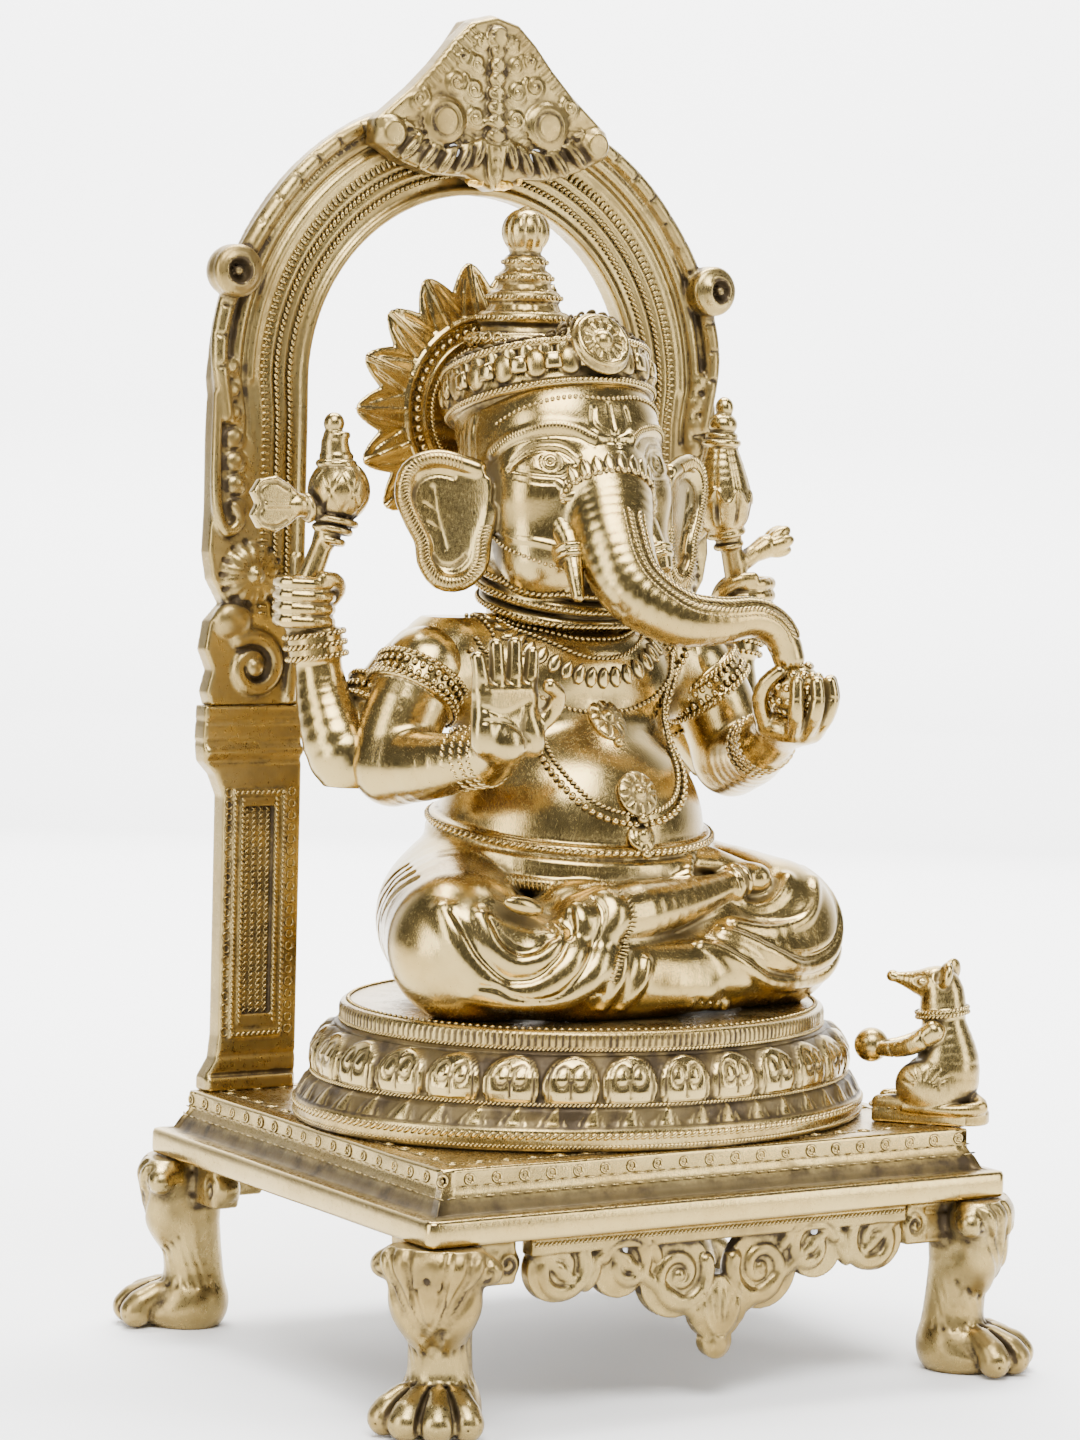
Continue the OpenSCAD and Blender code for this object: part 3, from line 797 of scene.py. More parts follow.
class Shader:
    """Builds one material's nodes."""

    def __init__(self, name):
        self.material = bpy.data.materials.new(name)
        self.material.use_nodes = True
        self.tree = self.material.node_tree
        self.bsdf = self.tree.nodes["Principled BSDF"]

    def put(self, socket, value):
        if isinstance(value, Value):
            self.tree.links.new(value.socket, socket)
        else:
            socket.default_value = value

    def node(self, kind, settings=None, *values, out=0, **sockets):
        """Adds a node: its settings first, then values or links in socket order or by name."""
        made = self.tree.nodes.new(kind)
        for key, value in (settings or {}).items():
            setattr(made, key, value)
        for socket, value in zip([s for s in made.inputs if s.enabled], values):
            self.put(socket, value)
        for key, value in sockets.items():
            self.put(next(s for s in made.inputs if s.name == key.replace("_", " ") and s.enabled), value)
        return Value(self, [s for s in made.outputs if s.enabled][out])

    def attribute(self, name):
        return self.node("ShaderNodeAttribute", {"attribute_name": name}, out=2)

    def place(self, scale=(1, 1, 1), turn=(0, 0, 0)):
        """Object coordinates in metres, turned and stretched."""
        spot = self.node("ShaderNodeTexCoord", None, out=3)
        return self.node("ShaderNodeMapping", None, Vector=spot, Rotation=turn, Scale=scale)

    def noise(self, place, scale, detail=3.0, rough=0.55):
        return self.node(
            "ShaderNodeTexNoise", None, Vector=place, Scale=scale, Detail=detail, Roughness=rough
        )

    def blend(self, share, one, two):
        return self.node("ShaderNodeMix", {"data_type": "RGBA"}, Factor=share, A=one, B=two)

    def set(self, name, value):
        self.put(self.bsdf.inputs[name], value)


def rgba(colour):
    return (*tuple(colour)[:3], 1.0)


def brass(name, look, bright, patina, shine, darkness, relief=0.0):
    """Cast brass: buffed high places, brown wax and patina in the hollows (laid on by occlusion, so partly
    painted shade), fine scratches and pits.
    """
    s = Shader(name)
    here = s.place()
    broad = s.noise(here, 38.0, 3.0)
    cloud = s.noise(here, 140.0, 4.0, 0.6)
    fine = s.noise(here, 900.0, 3.0, 0.6)
    grain = s.noise(here, 3200.0, 2.0, 0.6)
    scratch_a = s.noise(s.place((1, 9, 1), (0.3, 0.2, 0.5)), 620.0, 2.0, 0.5)
    scratch_b = s.noise(s.place((8, 1, 1.5), (0.1, 0.7, -0.4)), 540.0, 2.0, 0.5)
    patina_and_shade = s.attribute("patina_and_shade")
    wear = s.attribute("wear")
    # hollow darkening from the occlusion mask: real patina and painted shade together, broken up by noise
    depth = (
        patina_and_shade + (cloud - 0.5) * 0.55 + (fine - 0.5) * 0.3 - wear * 0.12
    ).between(0.22 - 0.1 * darkness, 0.74 - 0.16 * darkness)
    film = ((broad * 0.55 + cloud * 0.45).between(0.42, 0.7)) * (0.16 + 0.3 * darkness) * (1.0 - wear * 0.7)
    dark = (depth * (0.72 + 0.26 * darkness) + film).clamped()
    warm = s.blend(
        broad.between(0.35, 0.68), rgba(bright), rgba([c * f for c, f in zip(bright, (1.03, 0.97, 0.84))])
    )
    pale = s.blend(
        (wear * 0.75 + fine * 0.3 - 0.15).clamped(), warm,
        rgba([min(c * f, 1) for c, f in zip(bright, (1.25, 1.25, 1.3))])
    )
    brown = s.blend(
        cloud.between(0.35, 0.65), rgba(patina), rgba([c * f for c, f in zip(patina, (0.62, 0.6, 0.6))])
    )
    colour = s.blend(dark, pale, brown)
    s.set("Base Color", colour)
    s.set("Metallic", 1.0 - dark * 0.42)
    s.set(
        "Roughness",
        (
            shine + dark * 0.26 + (scratch_a + scratch_b - 1.0) * 0.22 + (fine - 0.5) * 0.2 - wear * 0.05
        ).clamped()
    )
    s.set("Specular IOR Level", 0.45)
    height = (
        scratch_a + scratch_b
    ) * 0.5 + fine * (0.5 + relief) + grain * 0.25 + cloud * (0.6 + 2 * relief)
    bump = s.node("ShaderNodeBump", None, Strength=look.pitting, Distance=0.00012, Height=height)
    s.set("Normal", bump)
    return s.material


def steel(name):
    """Plain drawn rod and turned nuts, with fine lines round them."""
    s = Shader(name)
    lines = s.noise(s.place((1, 1, 14)), 700.0, 2.0)
    cloud = s.noise(s.place(), 160.0, 3.0)
    s.set("Base Color", s.blend(cloud, rgba((0.56, 0.56, 0.58)), rgba((0.44, 0.44, 0.45))))
    s.set("Metallic", 1.0)
    s.set("Roughness", lines * 0.25 + cloud * 0.15 + 0.2)
    s.set("Normal", s.node("ShaderNodeBump", None, Strength=0.25, Distance=0.0001, Height=lines))
    return s.material


def plaster(name, colour):
    """The plain floor and backdrop."""
    s = Shader(name)
    cloud = s.noise(s.place(), 3.0, 4.0)
    fine = s.noise(s.place(), 180.0, 2.0)
    s.set("Base Color", s.blend(cloud, rgba(colour), rgba([c * 0.97 for c in colour])))
    s.set("Roughness", fine * 0.1 + 0.7)
    s.set("Specular IOR Level", 0.25)
    return s.material


FINISHES = {}


def finish(name):
    """One of the figure's finishes, made on first use."""
    if name not in FINISHES:
        look = bpy.context.scene.idol_look
        shine = look.polish
        if name == "steel":
            FINISHES[name] = steel("drawn_steel")
        elif name == "polished":
            FINISHES[name] = brass("polished_brass", look, look.bright, look.patina, shine, 0.12)
        elif name == "carved":
            FINISHES[name] = brass("carved_brass", look, look.bright, look.patina, shine + 0.04, 0.5)
        elif name == "plinth":
            FINISHES[name] = brass("plinth_brass", look, look.bright, look.patina, shine + 0.05, 0.3, 0.15)
        elif name == "aged":
            duller = [c * 0.8 for c in look.bright]
            FINISHES[name] = brass("aged_brass", look, duller, look.patina, shine + 0.1, 0.95, 0.3)
        elif name == "braze":
            FINISHES[name] = brass("yellow_braze", look, look.braze, look.patina, shine + 0.1, 0.3, 0.6)
    return FINISHES[name]


# ---------------------------------------------------------------- sizes and colours a user would change


def colour(name, description, value):
    return bpy.props.FloatVectorProperty(
        name=name, description=description, subtype="COLOR", size=3, min=0, max=1, default=value
    )


def number(name, description, low, high, value, **kind):
    return bpy.props.FloatProperty(
        name=name, description=description, min=low, max=high, default=value, **kind
    )


class IdolLook(bpy.types.PropertyGroup):
    bright: colour("Brass", "Colour of the buffed brass", (0.42, 0.31, 0.12))
    patina: colour("Patina", "Colour of the wax and patina left in the carving", (0.06, 0.038, 0.013))
    braze: colour("Braze", "Colour of the brazing metal at the joints", (0.78, 0.50, 0.11))
    polish: number(
        "Polish", "Roughness of the buffed metal, lower is shinier", 0.05, 0.6, 0.2, subtype="FACTOR"
    )
    pitting: number("Pitting", "How strongly casting pits and scratches show", 0, 1, 0.35, subtype="FACTOR")


class IdolSizes(bpy.types.PropertyGroup):
    detail: number(
        "Detail", "Size of the smallest facet on the figure", 0.0003, 0.003, 0.00062, unit="LENGTH"
    )
    rope: number(
        "Rope pitch", "Distance between the rope edges' strands", 0.0008, 0.004, 0.0017, unit="LENGTH"
    )
    punch: number("Punch", "Width of the ring punches on the plinth", 0.0015, 0.004, 0.0034, unit="LENGTH")
    petals: bpy.props.IntProperty(
        name="Pedestal petals", description="Number of lotus petals round the pedestal", min=20, max=80,
        default=28
    )
    halo_petals: bpy.props.IntProperty(
        name="Halo petals", description="Number of petals round the halo", min=12, max=28, default=18
    )


class IdolStage(bpy.types.PropertyGroup):
    floor: colour("Floor", "Colour of the floor and backdrop", (0.97, 0.97, 0.97))
    key_power: number("Key light", "Strength of the large soft light", 0, 200, 24.0, unit="POWER")
    fill_power: number("Fill light", "Strength of the side lights", 0, 200, 12.0, unit="POWER")
    backdrop_power: number(
        "Backdrop light", "Strength of the light on the backdrop", 0, 500, 150.0, unit="POWER"
    )
    world_grey: number("Room", "Brightness of the room round the figure", 0, 2, 0.15, subtype="FACTOR")


def sizes():
    return bpy.context.scene.idol_sizes


def cell(share=1.0):
    """Facet size in millimetres."""
    return sizes().detail / MM * share


class IDOL_OT_stage(bpy.types.Operator):
    """Floor, backdrop, lights and camera"""

    bl_idname = "idol.stage"
    bl_label = "Stage"

    def execute(self, context):
        stage = context.scene.idol_stage
        low, high = CAD_BOX
        tall = high[2] - low[2]
        profile = [(-2.2, 0), (1.05, 0), (1.3, 0.05), (1.5, 0.2), (1.6, 0.45), (1.6, 2.8)]
        profile = curve([(y, z, 0) for y, z in profile], 40)
        verts = [(x, y, max(z, 0)) for x in (-3.2, 3.2) for y, z, _ in profile]
        n = len(profile)
        mesh = bpy.data.meshes.new("floor")
        mesh.from_pydata(verts, [], [(i, n + i, n + i + 1, i + 1) for i in range(n - 1)])
        yaw = math.radians(-31.86)
        mesh.transform(Matrix.Rotation(yaw, 4, "Z"))
        mesh.polygons.foreach_set("use_smooth", [True] * len(mesh.polygons))
        floor = bpy.data.objects.new("floor", mesh)
        context.scene.collection.objects.link(floor)
        floor.data.materials.append(plaster("pale_floor", stage.floor))

        def area(name, at, aim, size, power, tint=(1, 1, 1)):
            lamp = bpy.data.lights.new(name, "AREA")
            lamp.shape, lamp.size, lamp.size_y, lamp.energy, lamp.color = "RECTANGLE", *size, power, tint
            obj = bpy.data.objects.new(name, lamp)
            obj.matrix_world = Matrix.Translation(at) @ (
                Vector(aim) - Vector(at)
            ).to_track_quat("-Z", "Y").to_matrix().to_4x4()
            context.scene.collection.objects.link(obj)

        heart = (0, 0, tall * 0.5)
        area("key", (-0.35, -0.75, 1.25), heart, (0.9, 0.7), stage.key_power)
        area("fill_left", (-1.15, -0.15, 0.45), heart, (0.5, 1.0), stage.fill_power)
        area("fill_right", (0.75, -0.95, 0.5), heart, (0.4, 0.9), stage.fill_power * 0.7)
        area("top", (0.1, 0.35, 1.3), heart, (0.8, 0.5), stage.fill_power)
        area("backdrop", (0.25, 0.5, 1.7), (1.0, 1.6, 0.5), (1.4, 0.8), stage.backdrop_power)
        area("floor", (-0.7, -1.1, 1.9), (-0.1, -0.2, 0), (1.2, 1.2), stage.backdrop_power * 0.2)
        world = bpy.data.worlds.new("room")
        context.scene.world = world
        world.use_nodes = True
        world.node_tree.nodes["Background"].inputs[0].default_value = (1, 1, 1, 1)
        world.node_tree.nodes["Background"].inputs[1].default_value = stage.world_grey

        lens = bpy.data.cameras.new("camera")
        lens.lens, lens.sensor_width, lens.sensor_fit, lens.clip_start = 107.7, 36, "AUTO", 0.01
        camera = bpy.data.objects.new("camera", lens)
        yaw, pitch, roll = (math.radians(a) for a in (31.86, 4.13, 1.49))
        view = Vector((math.sin(yaw) * math.cos(pitch), math.cos(yaw) * math.cos(pitch), -math.sin(pitch)))
        side = Vector((math.cos(yaw), -math.sin(yaw), 0))
        up = side.cross(view)
        right = side * math.cos(roll) + up * math.sin(roll)
        top = up * math.cos(roll) - side * math.sin(roll)
        turn = Matrix((right, top, -view)).transposed().to_4x4()
        camera.matrix_world = Matrix.Translation((-0.6511, -1.0243, 0.2663)) @ turn
        context.scene.collection.objects.link(camera)
        context.scene.camera = camera
        return {"FINISHED"}


# ---------------------------------------------------------------- plinth, feet and apron


def rectangle(half_x, half_y, z, step=3.0):
    """Points round a rectangle at a height, with their outward directions."""
    corners = [(-half_x, -half_y, z), (half_x, -half_y, z), (half_x, half_y, z), (-half_x, half_y, z)]
    points, outs = [], []
    for a, b in zip(corners, corners[1:] + corners[:1]):
        a, b = np.array(a), np.array(b)
        out = unit(np.cross(b - a, (0, 0, 1)))
        count = max(int(np.linalg.norm(b - a) / step), 2)
        for k in range(count):
            points.append(a + (b - a) * k / count)
            outs.append(out)
    return np.array(points), np.array(outs)


class IDOL_OT_plinth(bpy.types.Operator):
    """Plinth: slab with a bright upright edge, a cove and a raised tier with struck rings"""

    bl_idname = "idol.plinth"
    bl_label = "Plinth"

    def execute(self, context):
        low, high = box_mm("plinth")
        half_x, half_y = high[0], high[1]
        base, top = low[2], high[2]
        slab = 7.3
        inset = 8.5
        plate = 6.0
        rim = 10.0
        # outward distance from the tier's corner and height, from the hollow's edge to the top's middle
        profile = [
            (-half_x, top - plate), (-rim - 3, top - plate), (-rim - 1, top - plate - 1.5),
            (-rim, base + 0.6), (-rim + 0.8, base), (-1.2, base),
            (-0.35, base + 0.3), (0, base + 1.2), (0.05, base + slab / 2), (0, base + slab - 1.2),
            (-0.45, base + slab - 0.25), (-1.3, base + slab),
            (-inset + 4.2, base + slab + 0.15), (-inset + 3.2, base + slab + 0.5),
            (-inset + 2.4, base + slab + 2.2), (-inset + 1.7, base + slab + 3.6),
            (-inset + 0.9, base + slab + 4.6), (-inset + 0.15, top - 5.8), (-inset, top - 4.9),
            (-inset, top - 1.1), (-inset - 0.35, top - 0.3), (-inset - 1.3, top),
            (-inset - 8, top + 0.02), (-inset - 24, top), (-half_x, top),
        ]
        # darkness of each profile point: patina and painted shade inside the hollow underneath and down in
        # the cove where the slab meets the tier
        deep = [
            0.9, 0.9, 0.9, 0.8, 0.6, 0.3, 0.1, 0, 0.05, 0, 0, 0.15, 0.55, 0.8, 0.75, 0.5, 0.35, 0.2, 0.1, 0,
            0, 0, 0.1, 0.12, 0.2
        ]
        proud = [
            0, 0, 0, 0, 0, 0.3, 0.8, 0.9, 0.4, 0.9, 0.8, 0.3, 0, 0, 0, 0, 0, 0.1, 0.3, 0.8, 0.9, 0.4, 0.1,
            0, 0
        ]
        turns = 9
        around = []
        for sx, sy in ((-1, -1), (1, -1), (1, 1), (-1, 1)):
            first = math.degrees(math.atan2(sy, sx)) - 45
            for k in range(turns):
                around.append((sx, sy, math.radians(first + 90 * k / (turns - 1))))
        corner = 3.0
        rng = np.random.default_rng(3)
        verts, patina_and_shade, wear = [], [], []
        runs = []
        for i, (sx, sy, a) in enumerate(around):
            runs.append((sx, sy, a))
            nxt = around[(i + 1) % len(around)]
            if (nxt[0], nxt[1]) != (sx, sy):
                for t in np.linspace(0, 1, 40)[1:-1]:
                    runs.append((sx + (nxt[0] - sx) * t, sy + (nxt[1] - sy) * t, a))
        n = len(profile)
        phase = rng.uniform(0, 6.28, 6)
        for sx, sy, a in runs:
            for (out, z), g, w in zip(profile, deep, proud):
                inward = min(out + corner, 0)
                r = max(out + corner, 0.0)
                x = sx * (half_x - corner + max(inward, corner - half_x)) + r * math.cos(a)
                y = sy * (half_y - corner + max(inward, corner - half_y)) + r * math.sin(a)
                wave = 0.16 * (math.sin(0.11 * x + phase[0]) + math.sin(0.13 * y + phase[1])) - 0.3
                if z > top - 0.5:
                    z = z + 0.12 * math.sin(0.09 * x + phase[2]) * math.sin(0.08 * y + phase[3]) - 0.1
                else:
                    x, y = x + wave * math.cos(a) * 0.5, y + wave * math.sin(a) * 0.5
                verts.append((x, y, z))
                patina_and_shade.append(g)
                wear.append(w)
        faces = []
        for i in range(len(runs)):
            j = (i + 1) % len(runs)
            for k in range(n - 1):
                faces.append((i * n + k, j * n + k, j * n + k + 1, i * n + k + 1))
        obj = mesh_object("plinth_casting", verts, faces, patina_and_shade, wear)
        merge = obj.modifiers.new("weld", "WELD")
        merge.merge_threshold = 0.00002
        graph = bpy.context.evaluated_depsgraph_get()
        mesh = bpy.data.meshes.new_from_object(obj.evaluated_get(graph))
        obj.modifiers.remove(merge)
        obj.data = mesh
        finish_piece(obj, *PLINTH, "plinth")

        r = sizes().punch / MM / 2
        punch = ornament("ring_punch", *hoop(r * 0.78, r * 0.24))
        pip = ornament("pip_punch", *pad(0.9, 0.9, 0.3))
        dart = ornament("dart_punch", *pad(3.2, 0.5, 0.26, spin=0, around=6))
        ring_paths, pip_paths = [], []
        for inward in (7.0,):
            p, _ = rectangle(half_x - inset - inward, half_y - inset - inward, top + 0.02)
            ring_paths.append(Path(p, (0, 0, 1), closed=True))
            p, _ = rectangle(half_x - inset - inward, half_y - inset - inward, top + 0.02)
            pip_paths.append(Path(p, (0, 0, 1), closed=True))
        sides, outs = rectangle(half_x - inset - 0.1, half_y - inset - 0.1, top - 2.9)
        ring_paths.append(Path(sides, outs, closed=True))
        pip_paths.append(Path(sides, outs, closed=True))
        strand("plinth_rings", ring_paths, punch, 8.4, *PLINTH, uneven=0.1)
        strand("plinth_pips", pip_paths, pip, 8.4, *PLINTH, uneven=0.1)
        p, out = rectangle(half_x - inset + 1.55, half_y - inset + 1.55, top - 7.2)
        q, out2 = rectangle(half_x - inset + 0.75, half_y - inset + 0.75, top - 4.8)
        rows = [Path(p, out + (0, 0, 0.3), closed=True), Path(q, out2 + (0, 0, 0.2), closed=True)]
        strand("plinth_cove_darts", rows, dart, 3.9, *PLINTH, uneven=0.2)
        p, _ = rectangle(half_x - inset - 6.0, half_y - inset - 6.0, top + 0.02)
        line = ornament("struck_line", *pad(2.1, 0.35, 0.16, around=6))
        strand("plinth_lines", [Path(p, (0, 0, 1), closed=True)], line, 2.0, *PLINTH)
        return {"FINISHED"}


def paw_foot():
    """One foot at the origin, its toes towards +X, with a leaf-shaped knee and two scrolled brackets."""
    top = 49.2
    s = Sculpt()
    s.add(
        chain(
            [(0, 0, 6), (-0.5, 0, 14), (0.2, 0, 22), (1.0, 0, 30), (-0.5, 0, 38), (-1.5, 0, 47)],
            [9.2, 8.6, 8.4, 8.6, 7.6, 7.4]
        )
    )
    s.add(oval((4.5, 0, 4.5), (12.5, 11.6, 5.6)), k=5)
    s.add(oval((0.5, 0, 8), (10, 10, 7)), k=4)
    toes = [(-40, 15.6, 4.4), (-13.5, 16.6, 4.9), (13.5, 16.6, 4.9), (40, 15.6, 4.4)]
    for turn, out, wide in toes:
        t = math.radians(turn)
        c, sn = math.cos(t), math.sin(t)
        s.add(
            strap(
                [(6 * c, 6 * sn, 10.5), (11 * c, 11 * sn, 9.8), (out * c, out * sn, 7.4)], [3.6, 3.9, 4.2],
                0.9, (0, 0, 1)
            ),
            k=1.4
        )
        s.add(oval(((out + 1.6) * c, (out + 1.6) * sn, 4.9), (4.6, wide, 4.6), axes((c, sn, 0))), k=0.9)
    for turn, out, wide in toes:
        t = math.radians(turn)
        c, sn = math.cos(t), math.sin(t)
        side = np.array((-sn, c, 0))
        tip = np.array((c, sn, 0)) * (out + 5.2)
        ahead = np.array((c, sn, 0))
        nail = curve([
            tip + side * -1.5 + (0, 0, 4.0), tip + side * -1.4 + (0, 0, 6.4) - ahead * 0.8,
            tip + (0, 0, 7.6) - ahead * 1.8, tip + side * 1.4 + (0, 0, 6.4) - ahead * 0.8,
            tip + side * 1.5 + (0, 0, 4.0),
        ], 12)
        s.groove(nail, 0.45, 0.75)
        s.ridge(
            [
                np.array((c, sn, 0)) * (out - 4) + (0, 0, 11.4),
                np.array((c, sn, 0)) * (out + 1) + (0, 0, 10.4)
            ],
            0.7, 0.35
        )
    for turn in (-26.5, 0, 26.5):
        t = math.radians(turn)
        s.groove(
            [
                (7 * math.cos(t), 7 * math.sin(t), 13), (14 * math.cos(t), 14 * math.sin(t), 10.5),
                (20.5 * math.cos(t), 20.5 * math.sin(t), 6), (21 * math.cos(t), 21 * math.sin(t), 1)
            ],
            0.8, 1.5
        )
    # hair of the ankle: short slanted cuts in rows
    for row, (z, r) in enumerate(((14.5, 9.4), (18, 9.0), (21.5, 8.8), (25, 9.0))):
        for k in range(15):
            t = math.radians(-126 + 18 * k + 9 * (row % 2))
            a = np.array((r * math.cos(t), r * math.sin(t), z + 1.8))
            b = np.array((r * math.cos(t + 0.12), r * math.sin(t + 0.12), z - 1.8))
            s.groove([a, b], 0.5, 0.6)
    # knee: a bellied leaf with flutes fanning up under the slab
    s.add(oval((6.4, 0, 36), (8.2, 12.6, 13.5)), k=4)
    s.add(oval((6.6, 0, 44.5), (9.4, 15.8, 7.4)), k=3)
    root = np.array((11.2, 0, 22.5))
    for k, spread in enumerate((-1, -0.66, -0.33, 0.33, 0.66, 1)):
        w = 15.8 * spread
        knee = [
            root, (15.2 - 1.5 * abs(spread), w * 0.42, 31), (15.4 - 3.6 * abs(spread), w * 0.8, 39),
            (13.4 - 4.4 * abs(spread), w * 0.98, 47.5)
        ]
        s.engrave(knee, 14, 0.95, 1.5)
    for spread in (-0.84, -0.5, 0.5, 0.84):
        w = 15.8 * spread
        knee = [
            root + (0.4, 0, 2), (15.6 - 1.5 * abs(spread), w * 0.42, 32),
            (15.6 - 3.6 * abs(spread), w * 0.8, 40), (14 - 4.4 * abs(spread), w * 0.98, 47)
        ]
        s.ridge(curve(knee, 14), 1.0, 0.5)
    leaf_side = [(14.2, -0.3, 25), (15.6, -3.6, 31), (15.5, -4.4, 36), (14.9, -2.6, 42), (14.4, 0, 46)]
    for side in (1, -1):
        s.ridge(curve(np.array(leaf_side) * (1, side, 1), 16), 0.8, 0.9)
        inner = np.array([(15.2, 0, 29), (15.8, -1.9, 33), (15.7, -1.6, 38), (15.2, 0, 42)]) * (1, side, 1)
        s.groove(curve(inner, 12), 0.5, 0.6)
        # volutes beside the knee and the brackets behind them
        s.add(ball((5.5, side * 14.2, 43.5), 3.6), k=1.6)
        s.groove(
            spiral((8.8, side * 14.6, 43.5), (0, side, 0), (0, 0, 1), 2.6, 0.5, 1.3, 20, 90), 0.45, 0.6
        )
    for turn in (135, -135):
        d = np.array((math.cos(math.radians(turn)), math.sin(math.radians(turn)), 0))
        s.add(block(d * 11 + (0, 0, 43), (9.5, 4.0, 6), axes(d), 1.2), k=2)
        s.add(ball(d * 18.4 + (0, 0, 42.4), 4.6), k=1.5)
        side = np.cross((0, 0, 1), d)
        for f in (1, -1):
            s.groove(
                spiral(d * 17.6 + (0, 0, 42.6) + side * 4.2 * f, d, (0, 0, 1), 3.8, 0.8, 1.5, 24), 0.5, 0.8
            )
            s.groove(
                [d * 4 + side * 4.2 * f + (0, 0, 39.5), d * 13 + side * 4.2 * f + (0, 0, 39.0)], 0.5, 0.7
            )
            s.groove(
                [d * 4 + side * 4.2 * f + (0, 0, 45.5), d * 14 + side * 4.2 * f + (0, 0, 46.5)], 0.5, 0.7
            )
    s.trim(half_space((0, 0, 0), (0, 0, -1)))
    s.trim(half_space((0, 0, top), (0, 0, 1)))
    return s


# how far out each foot's own origin stands, in millimetres
FOOT_OUT = (84.0, 70.5)


class IDOL_OT_feet(bpy.types.Operator):
    """Four cast paw feet, one under each corner"""

    bl_idname = "idol.feet"
    bl_label = "Paw feet"

    def execute(self, context):
        verts, quads, deep, proud = paw_foot().skin(cell(1.05))
        print(f"  foot: {2 * len(quads)} triangles each")
        for node, sx, sy in (
            ("leg_front_right", -1, -1), ("leg_front_left", 1, -1), ("leg_back_right", -1, 1),
            ("leg_back_left", 1, 1)
        ):
            a = math.atan2(sy, sx)
            turn = np.array([[math.cos(a), math.sin(a), 0], [-math.sin(a), math.cos(a), 0], [0, 0, 1]])
            placed = verts @ turn + (sx * FOOT_OUT[0], sy * FOOT_OUT[1], 0)
            obj = mesh_object(node + "_paw", placed, quads, deep, proud)
            finish_piece(obj, *AGED, node)
        return {"FINISHED"}


class IDOL_OT_apron(bpy.types.Operator):
    """Pierced scroll apron under the slab's front edge"""

    bl_idname = "idol.apron"
    bl_label = "Apron"

    def execute(self, context):
        low, high = box_mm("apron")
        y0, y1 = low[1], high[1]
        mid = (y0 + y1) / 2
        top = high[2]
        face = y0 + 0.3
        s = Sculpt()
        s.add(block((0, mid, top - 2.4), (high[0] - 0.5, (y1 - y0) / 2 - 0.2, 2.4), soft=0.8))
        for x, z, r in ((52, -9, 9), (32, -10, 8.5), (14, -14, 11.5), (0, -24, 8.6), (0, -33, 4.6)):
            for side in (1, -1):
                s.add(drum((side * x, y0 + 2.2, top + z), (side * x, y1, top + z), r), k=0.5)
        up, across = np.array((0, 0, 1)), np.array((1, 0, 0))
        for side in (1, -1):
            def scroll(at, big, turns, start, r0=2.6, r1=1.6):
                line = spiral(
                    (side * at[0], mid, at[1]), across * side, up, big, big * 0.18, turns, 40, start
                )
                s.add(chain(line, np.linspace(r0, r1, 40)), k=0.5)
                s.groove(line + (0, face - mid, 0), 0.5, 0.5)
                s.add(ball((side * at[0], mid, at[1]), 2.3), k=0.4)

            scroll((51, top - 9.0), 8.2, 1.35, 150)
            scroll((30, top - 9.5), 8.0, 1.3, 20)
            scroll((13.2, top - 14.0), 9.4, 1.4, 160)
            vine = curve(
                [
                    (side * 58, mid, top - 4), (side * 44, mid, top - 13.5), (side * 37, mid, top - 5),
                    (side * 22, mid, top - 15), (side * 7, mid, top - 25)
                ],
                24
            )
            s.add(chain(vine, np.full(24, 2.1)), k=0.6)
            for x, z, tilt in ((41, top - 12, 60), (21.5, top - 6.5, 120), (6.5, top - 24, 80)):
                d = np.array((side * math.cos(math.radians(tilt)), 0, -math.sin(math.radians(tilt))))
                s.add(oval((side * x, mid, z), (4.6, 2.2, 2.4), axes(d, (0, 1, 0.01))), k=0.6)
                s.groove(
                    [np.array((side * x, face, z)) - d * 3.4, np.array((side * x, face, z)) + d * 3.4], 0.5,
                    0.6
                )
        s.add(oval((0, mid, top - 24), (7.6, 2.9, 9)), k=0.8)
        s.add(oval((0, mid, top - 34), (3.9, 2.5, 3.9)), k=0.8)
        s.ridge(
            curve(
                [
                    (-6, face, top - 18), (-4.6, face, top - 27), (0, face, top - 32),
                    (4.6, face, top - 27), (6, face, top - 18)
                ],
                20
            ),
            0.7, 0.6
        )
        for x in (-3, 0, 3):
            s.groove([(x, face - 0.1, top - 18), (x * 0.4, face - 0.1, top - 29)], 0.5, 0.7)
        s.trim(half_space((0, y0 + 0.1, 0), (0, -1, 0)))
        s.trim(half_space((0, y1, 0), (0, 1, 0)))
        cast("apron_scrolls", s, cell(0.95), *AGED, "apron")
        rope = ornament("apron_rope_twist", *pad(2.2, 1.0, 0.7, spin=40, around=6))
        line = Path(
            [(x, face + 0.1, top - 1.6) for x in np.linspace(low[0] + 2, high[0] - 2, 12)], (0, -1, 0)
        )
        strand("apron_rope", [line], rope, sizes().rope / MM * 0.8, *AGED)
        return {"FINISHED"}


# ---------------------------------------------------------------- lotus pedestal


